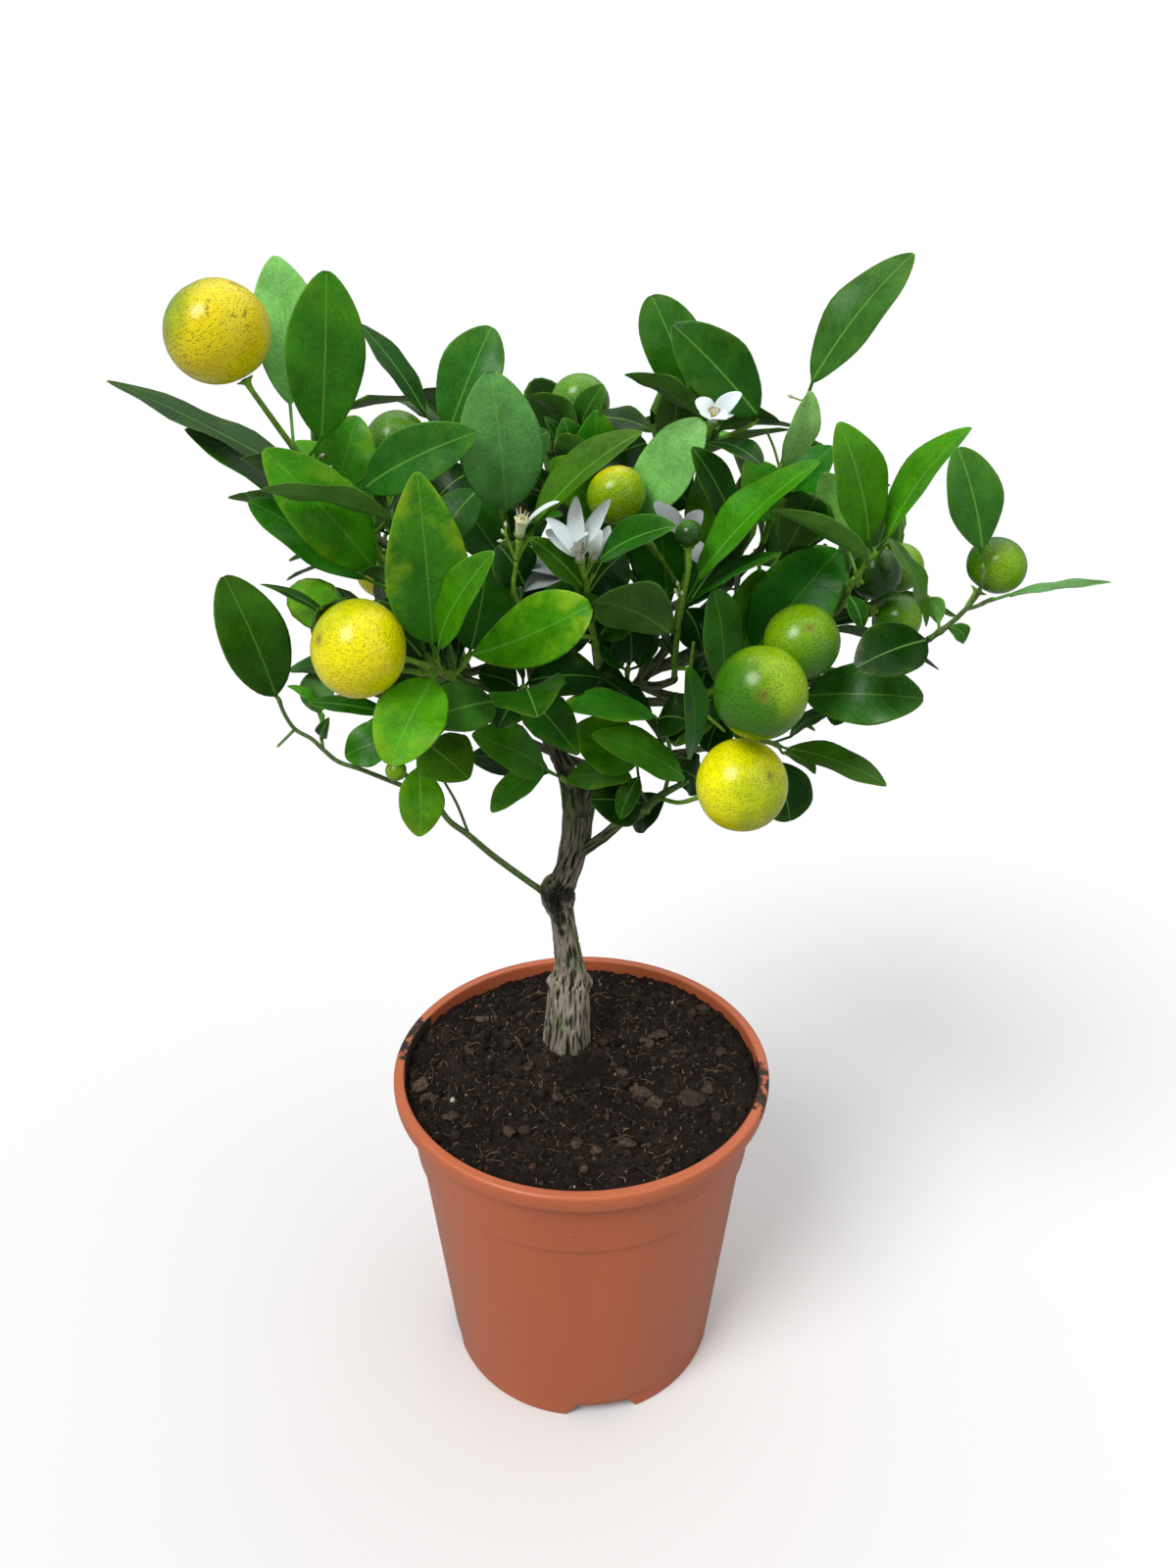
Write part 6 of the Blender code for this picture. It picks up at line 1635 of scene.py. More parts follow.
# Main colour, second colour, the way that it faces (right, up, near), where it starts, specks
FRUIT_LOOKS = {
    "fruit_west_top": (GOLD, PALE_GREEN, (-0.9, 0.4, 0.25), 0.68, 1.0),
    "fruit_front_left": (RIPE, LIME, (-0.45, 0.85, 0.2), 0.66, 0.1),
    "fruit_right_front": (GREEN, LEAFY, (0.7, 0.45, 0.3), 0.35, 0.25),
    "fruit_low_right": (LEMON, LIME, (0.55, -0.35, 0.6), 0.55, 0.2),
    "fruit_right_upper": (TURNING, GREEN, (0.35, -0.9, 0.0), 0.2, 0.3),
    "fruit_centre": (LEAFY, GOLD, (-0.1, 0.95, 0.3), 0.75, 0.1),
    "fruit_north_left": (PALE_GREEN, GREEN, (0.3, -0.9, 0.1), 0.1, 0.0),
    "fruit_north_centre": (PALE_GREEN, GREEN, (0.3, -0.9, 0.1), 0.2, 0.0),
    "fruitlet_centre": (DARK_GREEN, GREEN, (-0.3, 0.9, 0.1), 0.6, 0.0),
    "fruit_far_east": (GREEN, TURNING, (0.1, -0.3, 0.95), 0.55, 0.0),
    "fruit_east_upper": (DARK_GREEN, GREEN, (-0.3, 0.9, 0.2), 0.5, 0.0),
    "fruit_east_outer": (TURNING, GREEN, (-0.6, -0.6, 0.0), 0.3, 0.0),
    "fruit_east_lower": (GREEN, TURNING, (0.6, -0.3, 0.6), 0.7, 0.1),
    "fruitlet_low_left": (TURNING, GREEN, (0.3, 0.9, 0.1), 0.4, 0.0),
    "fruit_back_left": (RIPE, TURNING, (0.2, 0.9, 0.0), 0.4, 0.2),
    "fruit_back_right": (TURNING, RIPE, (0.2, -0.6, -0.6), 0.3, 0.1),
}
FRUIT_AROUND = 64
FRUIT_ROWS = 44
STALK_DENT = 0.34
PUCKERS = 8
SCAR_RADIUS = 0.13
SCAR_RING = 0.045
SCAR_TINT = (0.2, 0.15, 0.03)
UNEVENNESS = 0.014
PATCHINESS = 0.16
PATCH_MM = 7.0
SPECK_MM = 9.0
TINT_BORDER = 0.55


def fruit_surface(one, looks):
    """A fruit: rings round the axis from stalk end to blossom end.

    The radius is the sine of the way and the height its cosine, flattened. The stalk end sinks by a
    bell curve and its shoulder is puckered by the cosine of eight times the angle, the blossom end
    carries a small scar ring, and broad noise makes it a little uneven.
    """
    main, second, faces_to, level, specks = looks
    centre, radius = one["centre"], one["radius"]
    axis = unit(one["stalk"][-1] - centre)
    way = np.linspace(0.02, math.pi - 0.02, FRUIT_ROWS)[:, None]
    angles = round_angles(FRUIT_AROUND)[None]
    side = across(FRUIT_ASKEW, axis)
    other = np.cross(-axis, side)
    out = np.cos(angles)[..., None] * side + np.sin(angles)[..., None] * other
    seed = int(abs(centre.sum()) * 7) % 1000
    near_stalk = bell(np.sin(way), STALK_DENT) * (way < math.pi / 2)
    near_tip = bell(np.sin(way), SCAR_RADIUS) * (way > math.pi / 2)
    scar = bell(np.sin(way) - SCAR_RADIUS, SCAR_RING) * (way > math.pi / 2)
    reach = np.sin(way) * (1 + 0.05 * np.cos(PUCKERS * angles + seed) * near_stalk)
    height = FRUIT_FLATNESS * np.cos(way) - 0.045 * near_stalk + 0.03 * near_tip - 0.012 * scar
    course = centre + axis * radius * height[..., None]
    rings = course + radius * reach[..., None] * out
    facing = unit(rings - centre)
    rings = rings + facing * radius * (UNEVENNESS * noise(facing * 1.6, seed))[..., None]
    toward = RIGHT * faces_to[0] + UPRIGHT * faces_to[1] - AHEAD * faces_to[2]
    uneven = PATCHINESS * layered(rings / PATCH_MM, seed, 3)
    share = step_between(level - TINT_BORDER, level + TINT_BORDER, facing @ unit(toward) + uneven)
    tint = blend(main, second, share)
    tint = blend(tint, SCAR_TINT, np.broadcast_to(0.75 * near_tip, share.shape))
    tint = blend(tint, np.array(GREEN) * 1.4, np.broadcast_to(0.35 * near_stalk, share.shape))
    spread = np.clip(0.5 + noise(rings / SPECK_MM, seed + 3), 0, 1) * specks
    return skin(rings, with_alpha(tint, spread))


def build_fruits(looks):
    """Makes every fruit as a piece of its own."""
    made = peel_finish(looks)
    for plant in SHOOTS + HIDDEN_SHOOTS:
        for one in plant["fruits"]:
            piece = one["name"].replace("fruit", "citrus", 1)
            make_piece(piece, [fruit_surface(one, FRUIT_LOOKS[one["name"]])], [made], [one["name"]])


# Blooms

PETAL_ROWS = np.array((0.0, 0.03, 0.08, 0.16, 0.27, 0.4, 0.53, 0.66, 0.78, 0.88, 0.95, 0.99))
PETAL_AROUND = 14
PETAL_HALF_THICK = 0.3
PETAL_BROADER = 1.18
PETAL_ARCHED_MORE = 1.6
PETAL_SWEEP = 0.5
PETAL_FOLDS = (10, 22)
PETAL_FORM = (0.85, 0.58)
PETAL_RIB = 0.1
PETAL_WAVE = (0.08, 6.0)
PETAL_FOOT_TINT = (0.86, 0.95, 0.72)
CUP_AROUND = 14
CUP_HEIGHTS = np.linspace(-0.2, 3.2, 9)
SPENT_AROUND = 20
SPENT_WAY = np.linspace(0.1, 0.72, 9)
SPENT_PROFILE = ((0.1, 0.3, 0.6, 0.72), (1.7, 1.9, 2.2, 2.7))
SPENT_LOBES = 0.16
SPENT_STAMENS = 8
STAMEN_ROOT = 1.3
STAMEN_RADII = np.linspace(0.34, 0.2, 6)
ANTHER_SIZE = 0.62
STYLE_SHARE = 0.86
STYLE_RADII = np.array((0.9, 0.6, 0.45, 0.42, 0.42, 0.6, 0.9))
POLLEN = (0.5, 0.3, 0.14)
FILAMENT = (0.85, 0.86, 0.78)
STIGMA = (0.5, 0.5, 0.16)
CALYX = (0.22, 0.34, 0.08)
CREAM = (0.78, 0.8, 0.45)
SPENT = ("bloom_front_spent",)
# Blooms whose petals are painted darker, as painted shade from the leaves over them
SHADED = {"bloom_front_shaded": 0.5, "bloom_centre_shaded": 0.42}


def bloom_surfaces(one, looks, rng):
    """A bloom: petals whose width is a sine of their length's power, a cup, a ring of fused filaments
    that spread a little and end in anthers, and the style in their midst."""
    heart, axis = seat_of(one)
    side = across(ASKEW, axis)
    other = np.cross(axis, side)
    tall = one["stamens"]
    shapes = []
    for tip in one["petals"]:
        petal = petal_to(tip, heart, axis, arch=PETAL_ARCH * PETAL_ARCHED_MORE,
                         sweep=rng.uniform(-PETAL_SWEEP, PETAL_SWEEP),
                         fold=math.radians(rng.uniform(*PETAL_FOLDS)))
        half = PETAL_BROADER * half_outline(PETAL_ROWS, *PETAL_FORM) * one["wide"] / 2
        rings, place = bent_section(petal, rng, PETAL_AROUND, PETAL_ROWS, half, PETAL_HALF_THICK, PETAL_RIB,
                                    PETAL_WAVE)
        # Painted shade: the petals of shaded blooms are darkened
        petals = np.array(looks.petals) * rng.uniform(0.93, 1.05) * SHADED.get(one["name"], 1.0)
        tint = blend(petals * PETAL_FOOT_TINT, petals, step_between(0.0, 0.35, place[..., 0]))
        shapes.append(skin(rings, with_alpha(tint), place))
    heights, radii = zip(*HEART)
    cup = np.interp(CUP_HEIGHTS, heights, radii)
    shapes.append(rod(heart + axis * CUP_HEIGHTS[:, None], cup, CUP_AROUND, CALYX))
    if one["name"] in SPENT:
        way = SPENT_WAY[:, None]
        lobes = 1 + SPENT_LOBES * way * np.cos(CALYX_LOBES * round_angles(SPENT_AROUND))
        wide = np.interp(SPENT_WAY, *SPENT_PROFILE)[:, None] * lobes
        shapes.append(rod(heart + axis * tall * way, wide, SPENT_AROUND, CREAM))
    count = SPENT_STAMENS if one["name"] in SPENT else int(looks.stamens)
    for index in range(count):
        angle = 2 * math.pi * (index + rng.uniform(-0.25, 0.25)) / count
        out = math.cos(angle) * side + math.sin(angle) * other
        reach = tall * rng.uniform(0.82, 1.0)
        spread = STAMEN_SPREAD * rng.uniform(0.75, 1.1)
        way = np.linspace(0.12, 1, 6)[:, None]
        course = heart + axis * reach * way + out * (STAMEN_ROOT + (spread - STAMEN_ROOT) * way**2)
        shapes.append(rod(course, STAMEN_RADII, 5, FILAMENT))
        anther = course[-1] - axis * 0.5
        shapes.append(bud_surface(anther, unit(axis + 0.3 * out), ANTHER_SIZE, POLLEN, finish=0))
    way = np.linspace(0.1, 1, 7)[:, None]
    style = heart + axis * tall * STYLE_SHARE * way
    shapes.append(rod(style, STYLE_RADII, 8, STIGMA))
    return shapes


def build_blooms(looks):
    """Makes every bloom as a piece of its own."""
    made = petal_finish()
    rng = np.random.default_rng(SEED + 5)
    for plant in SHOOTS:
        for one in plant["blooms"]:
            piece = one["name"].replace("bloom", "blossom")
            make_piece(piece, bloom_surfaces(one, looks, rng), [made], [one["name"]])


# Compost

SOIL_AROUND = 288
SOIL_ROWS = 104
MOUND_HEIGHT = 3.2
MOUND_REACH = 17.0
DIP_DEPTH = 1.4
SWELL_MM = 28.0
LUMPS_MM = 6.5
GRAINS_MM = 1.7
DAMP_MM = 16.0
CRUMB_AROUND = 5
CRUMB_ROWS = np.array((0.08, 0.35, 0.68, 0.94))
CRUMB_FREE = 12.0
CLOD_SIZES = (1.8, 3.6)
# Shares of the crumbs: pale grit, pinkish, greenish, and the small ones above the last share like fibre
GRIT_SHARE, PINK_SHARE, GREEN_SHARE, PALE_SHARE = 0.005, 0.012, 0.022, 0.88
PINK_CRUMB = (0.09, 0.045, 0.035)
GREEN_CRUMB = (0.06, 0.07, 0.035)
SHORT_FIBRES = 0.72
# Flat bits of bark: the pixel that each shows at, its length and half width, its heading, how pale it is
CHIPS = ((655, 1116, 15, 4.2, 150, 0.8), (668, 1128, 10, 4.0, 40, 0.6), (704, 1122, 14, 6.0, 10, 0.25),
         (722, 1112, 9, 3.0, 80, 0.5), (428, 1106, 12, 4.5, 100, 0.9), (436, 1122, 9, 4.0, 60, 0.7),
         (672, 1058, 11, 3.5, 20, 0.55), (660, 1065, 8, 3.0, 130, 0.6), (493, 1040, 8, 3.0, 170, 0.7),
         (718, 1030, 9, 3.0, 150, 0.3), (588, 1170, 7, 3.0, 90, 0.6), (608, 1178, 6, 2.5, 30, 0.7),
         (540, 1090, 8, 2.4, 60, 0.45), (460, 1140, 8, 3.0, 20, 0.6), (520, 1160, 7, 2.6, 110, 0.5),
         (640, 1170, 8, 2.8, 160, 0.5), (735, 1075, 8, 2.8, 70, 0.45), (570, 1120, 7, 2.6, 140, 0.5),
         (596, 1192, 5, 2.0, 80, 0.9), (635, 1095, 9, 2.5, 120, 0.7), (480, 1075, 7, 2.5, 10, 0.35))


def from_trunk(x, y):
    """How far points lie from the trunk's foot, along the soil."""
    return np.hypot(x - TRUNK[0][0][0], y - TRUNK[0][0][1])


def soil_height(x, y):
    """How high the compost stands over a spot: broad swells, lumps and grains of noise, a slight mound
    at the trunk and a dip towards the wall at the back left."""
    spot = np.stack((x, y, 0 * x), -1)
    lumps = layered(spot / LUMPS_MM, 11, 3)
    grains = layered(spot / GRAINS_MM, 17, 2)
    dip = DIP_DEPTH * step_between(45, 90, -0.6 * x + 0.8 * y)
    return (SOIL_TOP - 0.6 + 1.2 * noise(spot / SWELL_MM, 3) + 1.9 * np.abs(lumps) + 0.75 * grains
            + MOUND_HEIGHT * bell(from_trunk(x, y), MOUND_REACH) - dip)


def soil_surface(looks):
    """The body of the compost: up the pot's inner wall, then in over its top to the middle."""
    angles = round_angles(SOIL_AROUND)
    circle = np.stack((np.cos(angles), np.sin(angles), 0 * angles), 1)
    heights = (FLOOR_UNDERSIDE + FLOOR_THICKNESS + GAP, POT_HEIGHT - COLLAR_DROP, SOIL_TOP - 6)
    walls = [circle * (inner_radius(z) - GAP) + UP * z for z in heights]
    reach = (inner_radius(SOIL_TOP) - GAP) * np.linspace(1, 0.01, SOIL_ROWS)[:, None] ** 0.9
    x, y = reach * np.cos(angles), reach * np.sin(angles)
    z = np.minimum(soil_height(x, y), POT_HEIGHT - 2.0)
    top = np.stack((x, y, z), -1)
    rings = np.concatenate((np.array(walls), top))
    wet = 0.5 + 0.5 * noise(rings / DAMP_MM, 21)
    # Painted shade: the compost is painted lighter on its heights and darker in its hollows, in patches of
    # noise
    high = step_between(-1.5, 2.5, rings[..., 2] - SOIL_TOP)
    tint = blend(looks.dark, looks.light, 0.3 * wet * high)
    return skin(rings, with_alpha(tint))


def crumb_surfaces(looks, rng):
    """Loose crumbs: short barrels of noise-bent rings, most dark, a few pale, pink or green ones."""
    shapes = []
    for index in range(int(looks.crumbs + looks.clods)):
        reach = (inner_radius(SOIL_TOP) - 2.5) * math.sqrt(rng.uniform(0.02, 1))
        angle = rng.uniform(0, 2 * math.pi)
        x, y = reach * math.cos(angle), reach * math.sin(angle)
        if from_trunk(x, y) < CRUMB_FREE:
            continue
        size = 0.4 + 1.3 * rng.uniform(0, 1) ** 3 if index < looks.crumbs else rng.uniform(*CLOD_SIZES)
        place = at(x, y, float(soil_height(np.array(x), np.array(y))) + 0.25 * size)
        lean = unit(rng.normal(size=3))
        course = place + lean * ((CRUMB_ROWS - 0.5) * 1.7 * size)[:, None]
        rings = round_rings(course, (size * half_outline(CRUMB_ROWS, 1.0, 0.7))[:, None], CRUMB_AROUND)
        rings = rings + (rings - place) * (0.45 * noise(rings / size * 0.9, index))[..., None]
        kind = rng.uniform()
        if kind < GRIT_SHARE:
            tint = looks.grit
        elif kind > PALE_SHARE and size < 1.3:
            tint = np.array(looks.fibre) * rng.uniform(0.5, 1.3)
        elif kind < GREEN_SHARE:
            tint = PINK_CRUMB if kind < PINK_SHARE else GREEN_CRUMB
        else:
            tint = np.array(looks.dark) + (np.array(looks.light) - looks.dark) * rng.uniform(0, 0.75) ** 2
        shapes.append(skin(rings, (*tint, 1.0)))
    return shapes


def chip_surfaces(looks, rng):
    """Flat bits of bark that lie on the compost where the picture shows them."""
    shapes = []
    for index, (px, py, length, half, heading, pale) in enumerate(CHIPS):
        ray = seen(px, py, 0) - EYE
        spot = EYE + ray * (SOIL_TOP - EYE[2]) / ray[2]
        place = at(spot[0], spot[1], float(soil_height(spot[0], spot[1])) + 0.9)
        ahead = at(math.cos(math.radians(heading)), math.sin(math.radians(heading)), rng.uniform(-0.2, 0.2))
        rows = np.linspace(0.04, 0.96, 12)
        course = place + unit(ahead) * ((rows - 0.5) * length)[:, None]
        rings = round_rings(course, (half * half_outline(rows, 1.0, 0.5))[:, None], 14)
        rings = rings + (rings - place) * (0.4 * noise(rings / 2.6, 60 + index))[..., None]
        rings[..., 2] = place[2] + 0.3 * (rings[..., 2] - place[2]) + 0.5 * noise(rings / 1.3, 90 + index)
        uneven = 0.8 + 0.5 * noise(rings / 1.6, index)
        tint = blend(looks.dark, looks.light, 0.35 + 0.65 * pale) * uneven[..., None]
        shapes.append(skin(rings, with_alpha(tint)))
    return shapes


def fibre_surfaces(looks, rng):
    """Fibres: thin bent threads that lie on the compost and dip into it at their ends."""
    shapes = []
    for _ in range(int(looks.fibres)):
        reach = (inner_radius(SOIL_TOP) - 8) * math.sqrt(rng.uniform(0.03, 1))
        angle, heading = rng.uniform(0, 2 * math.pi, 2)
        short = rng.uniform() < SHORT_FIBRES
        length = rng.uniform(1.4, 4.2) if short else rng.uniform(4, 15)
        way = np.linspace(-0.5, 0.5, 7)
        bend = rng.uniform(-0.5, 0.5)
        x = reach * math.cos(angle) + length * (way * math.cos(heading) - bend * way**2 * math.sin(heading))
        y = reach * math.sin(angle) + length * (way * math.sin(heading) + bend * way**2 * math.cos(heading))
        z = soil_height(x, y) + 0.5 - 3.0 * way**2 * (not short) + rng.uniform(-0.2, 0.9)
        tint = np.array(looks.fibre) * rng.uniform(0.25, 1.5)
        course = np.stack((x, y, z), -1)
        thick = rng.uniform(0.12, 0.34) if short else rng.uniform(0.09, 0.22)
        shapes.append(skin(round_rings(course, thick, 4), (*tint, 1.0)))
    return shapes


def build_compost(looks):
    """Makes the compost with its crumbs, bits of bark and fibres."""
    rng = np.random.default_rng(SEED + 50)
    shapes = [soil_surface(looks)] + crumb_surfaces(looks, rng) + chip_surfaces(looks, rng)
    shapes += fibre_surfaces(looks, rng)
    make_piece("compost", shapes, [compost_finish()], ["soil"])


# Pot

POT_AROUND = 288
# The two places on the rim that earth is smeared on, as directions, and how much of it
SMEARS = (math.radians(169), math.radians(-13))
SMEAR_DIRT = 0.72
# How dark the pot's mouth is smeared: partly soil, partly painted shade
MOUTH_DIRT_AND_SHADE = 0.42
ARC_STEPS = np.linspace(0, 1, 6)[:, None]


def inner_radius(height):
    """The radius of the pot's inner wall at a height."""
    heights = (FLOOR_UNDERSIDE + FLOOR_THICKNESS, POT_HEIGHT - COLLAR_DROP, POT_HEIGHT - LIP_HEIGHT,
               POT_HEIGHT)
    mouth = RIM_RADIUS - LIP_WIDTH
    radii = (FOOT_LINE_RADIUS - WALL, COLLAR_RADIUS - COLLAR_STEP - WALL, mouth, mouth)
    return float(np.interp(height, heights, radii))


def rounded(corners):
    """A profile with its corners rounded: each corner given as (radius, height, rounding) becomes the
    curve (1-t)^2 A + 2t(1-t) C + t^2 B between spots that far before and behind it."""
    points = np.array([corner[:2] for corner in corners])
    profile = []
    for index in range(1, len(corners) - 1):
        corner = points[index]
        before, after = points[index - 1] - corner, points[index + 1] - corner
        room = min(corners[index][2], 0.45 * np.linalg.norm(before), 0.45 * np.linalg.norm(after))
        start, end = corner + unit(before) * room, corner + unit(after) * room
        rest = 1 - ARC_STEPS
        profile.append(rest**2 * start + 2 * ARC_STEPS * rest * corner + ARC_STEPS**2 * end)
    return np.vstack((points[:1], *profile, points[-1:]))


def build_pot(looks):
    """The pot: its profile turned round its axis, with the foot ring squeezed upwards at the notches."""
    lip_low = POT_HEIGHT - LIP_HEIGHT
    step = POT_HEIGHT - COLLAR_DROP
    floor_top = FLOOR_UNDERSIDE + FLOOR_THICKNESS
    foot_inside = FOOT_RADIUS - FOOT_WALL
    soft = looks.rim_rounding / MM
    profile = rounded((
        (1.0, FLOOR_UNDERSIDE, 0), (foot_inside, FLOOR_UNDERSIDE, 0.8), (foot_inside, 0.0, 0.8),
        (FOOT_RADIUS, 0.0, 0.9), (FOOT_LINE_RADIUS - 0.5, FOOT_HEIGHT, 0.4),
        (FOOT_LINE_RADIUS + 0.25, FOOT_HEIGHT + 0.7, 0.3),
        (COLLAR_RADIUS - COLLAR_STEP, step - COLLAR_STEP, 0.5), (COLLAR_RADIUS, step, 0.6),
        (SHOULDER_RADIUS, lip_low - 1.6, 1.2), (RIM_RADIUS - 0.6, lip_low, 1.3),
        (RIM_RADIUS, POT_HEIGHT - LIP_HEIGHT / 2, 2.0), (RIM_RADIUS - 0.3, POT_HEIGHT, soft),
        (RIM_RADIUS - LIP_WIDTH, POT_HEIGHT, 1.4), (inner_radius(lip_low), lip_low, 1.0),
        (inner_radius(step), step, 1.5), (inner_radius(floor_top), floor_top, 1.5), (1.0, floor_top, 0),
    ))
    half_foot = math.asin(NOTCH_FOOT_WIDTH / 2 / FOOT_RADIUS)
    half_top = math.asin(NOTCH_TOP_WIDTH / 2 / FOOT_RADIUS)
    middles = FIRST_NOTCH + round_angles(NOTCH_COUNT)
    edges = middles[:, None] + np.array((-half_foot, -half_top, half_top, half_foot))
    edges = edges.ravel() % (2 * math.pi)
    angles = np.sort(np.concatenate((round_angles(POT_AROUND), edges)))
    radius, height = profile[:, :1], profile[:, 1:]
    away = np.abs((angles[:, None] - middles + math.pi) % (2 * math.pi) - math.pi).min(axis=1)
    rise = NOTCH_HEIGHT * np.clip((half_foot - away) / (half_foot - half_top), 0, 1)
    limit = np.where(radius < foot_inside + 0.5, FLOOR_UNDERSIDE, FOOT_HEIGHT)
    on_foot = (radius > foot_inside - 1) & (height < limit)
    z = np.where(on_foot, rise + height * (limit - rise) / limit, height)
    rings = np.stack((radius * np.cos(angles), radius * np.sin(angles), z), -1)
    lip = step_between(lip_low - 3, POT_HEIGHT - 3, rings[..., 2]) * (radius > RIM_RADIUS - LIP_WIDTH - 1)
    near_smear = np.maximum(*(np.cos(angles - smear) for smear in SMEARS))
    # The mouth is smeared darker: partly soil, partly painted shade
    mouth = (radius < RIM_RADIUS - LIP_WIDTH + 0.5) * (height > step)
    dirt_and_shade = SMEAR_DIRT * lip * step_between(0.955, 0.99, near_smear) + MOUTH_DIRT_AND_SHADE * mouth
    tint = with_alpha(np.broadcast_to(looks.plastic, rings.shape), dirt_and_shade)
    pot = make_piece("nursery_pot", [skin(rings, tint)], [plastic_finish(looks)], ["pot"])
    drains = []
    for angle in FIRST_NOTCH + round_angles(DRAIN_COUNT):
        middle = DRAIN_CIRCLE * at(math.cos(angle), math.sin(angle), 0)
        line = middle + UP * np.linspace(FLOOR_UNDERSIDE - 2, floor_top + 2, 2)[:, None]
        drains.append(rod(line, DRAIN_RADIUS, 32, looks.plastic))
    drill_out(pot, drains)


def drill_out(piece, shapes):
    """Takes closed shapes out of a piece with one Boolean difference, applied."""
    cutter = make_piece(piece.name + "_drains", shapes, [], [])
    remove = piece.modifiers.new("drains", "BOOLEAN")
    remove.operation = "DIFFERENCE"
    remove.object = cutter
    remove.solver = "EXACT"
    bpy.context.view_layer.update()
    evaluated = piece.evaluated_get(bpy.context.evaluated_depsgraph_get())
    mesh = bpy.data.meshes.new_from_object(evaluated)
    piece.modifiers.clear()
    piece.data = mesh
    bpy.data.objects.remove(cutter)


# Stage

FLOOR_REACH = 6.0
NEAR_CLIP = 0.01


def build_stage(looks):
    """A pale floor, soft even light from a studio's white sky and the picture's viewpoint.

    The floor looks pale but throws back less light than it shows, as a matt floor far below lamps does.
    """
    floor = bpy.data.meshes.new("floor")
    corners = [(x * FLOOR_REACH, y * FLOOR_REACH, 0) for x, y in ((-1, -1), (1, -1), (1, 1), (-1, 1))]
    floor.from_pydata(corners, [], [(0, 1, 2, 3)])
    ground = add_object("floor", floor)
    pale = Finish("pale_floor", Roughness=0.9, Specular_IOR_Level=0.0)
    direct = pale.node("ShaderNodeLightPath").outputs["Is Camera Ray"]
    pale.colour(pale.mixed(direct, (*looks.bounce, 1.0), (*looks.floor, 1.0)))
    floor.materials.append(pale.made)
    world = bpy.data.worlds.new("studio")
    world.use_nodes = True
    glow = world.node_tree.nodes["Background"]
    glow.inputs["Color"].default_value = (1.0, 1.0, 1.0, 1.0)
    behind = world.node_tree.nodes.new("ShaderNodeLightPath")
    strength = world.node_tree.nodes.new("ShaderNodeMapRange")
    strength.inputs["To Min"].default_value = looks.surround
    strength.inputs["To Max"].default_value = looks.backdrop
    world.node_tree.links.new(behind.outputs["Is Camera Ray"], strength.inputs["Value"])
    world.node_tree.links.new(strength.outputs["Result"], glow.inputs["Strength"])
    bpy.context.scene.world = world
    for name, place, spread, share in LAMPS:
        lamp = bpy.data.lights.new(name, "SUN")
        lamp.angle = math.radians(spread)
        lamp.energy = looks.lamp_power * share
        holder = add_object(name, lamp)
        holder.location = place
        holder.rotation_euler = (-holder.location).to_track_quat("-Z", "Y").to_euler()
    view = bpy.data.cameras.new("picture_view")
    view.sensor_width = SENSOR_MM
    view.sensor_fit = "AUTO"
    view.lens = SENSOR_MM * FOCAL_PX / PICTURE_HEIGHT_PX
    view.clip_start = NEAR_CLIP
    camera = add_object("picture_view", view)
    camera.location = Vector(EYE) * MM
    camera.rotation_euler = (math.pi / 2 - LOOK_DOWN, 0, 0)
    bpy.context.scene.camera = camera
    bpy.context.scene.view_settings.view_transform = "Standard"


# Name, where it shines from, how many degrees wide it is, and its share of the power
LAMPS = (
    ("key_lamp", (-1.0, -1.1, 1.7), 28, 1.0),
    ("top_lamp", (0.3, 0.4, 1.7), 80, 0.55),
    ("fill_lamp", (1.4, -1.1, 0.9), 60, 0.2),
)


# Settings that a user would change, the operators and their panel

def colour(name, words, value):
    return FloatVectorProperty(name=name, description=words, subtype="COLOR", size=3, min=0, max=1,
                               default=value)


def length(name, words, value):
    return FloatProperty(name=name, description=words, unit="LENGTH", min=0, default=value)


def amount(name, words, value, most=100.0):
    return FloatProperty(name=name, description=words, min=0, max=most, default=value)


def count(name, words, value, most):
    return IntProperty(name=name, description=words, min=0, max=most, default=value)


class PotLooks(bpy.types.PropertyGroup):
    plastic: colour("Plastic", "Colour of the moulded plastic", (0.55, 0.14, 0.055))
    rim_rounding: length("Rim rounding", "How far the rim's outer edge is rounded", 0.0018)


class CompostLooks(bpy.types.PropertyGroup):
    # Damp compost's colour also serves as painted shade in the hollows of the compost's top
    dark: colour("Damp compost", "Colour of the damp hollows", (0.011, 0.0065, 0.0045))
    light: colour("Dry compost", "Colour of the dry crumbs", (0.13, 0.09, 0.065))
    fibre: colour("Fibre", "Colour of the loose fibres", (0.2, 0.14, 0.09))
    grit: colour("Grit", "Colour of the few pale grains", (0.6, 0.58, 0.52))
    crumbs: count("Crumbs", "How many loose crumbs lie on top", 2500, 4000)
    clods: count("Clods", "How many larger clods lie on top", 46, 200)
    fibres: count("Fibres", "How many loose fibres lie on top", 480, 1000)


class BarkLooks(bpy.types.PropertyGroup):
    ridges: colour("Ridges", "Colour of the bark's ridges", (0.36, 0.31, 0.24))
    grooves: colour("Grooves", "Colour of the bark's grooves", (0.03, 0.024, 0.017))
    scar: colour("Scar", "Dark bark at the pruning knob", (0.018, 0.021, 0.014))
    green_film: colour("Green film", "Colour of the green film on bark and young wood", (0.12, 0.19, 0.06))
    ridge_depth: length("Ridge depth", "How far the trunk's ridges stand out", 0.0009)


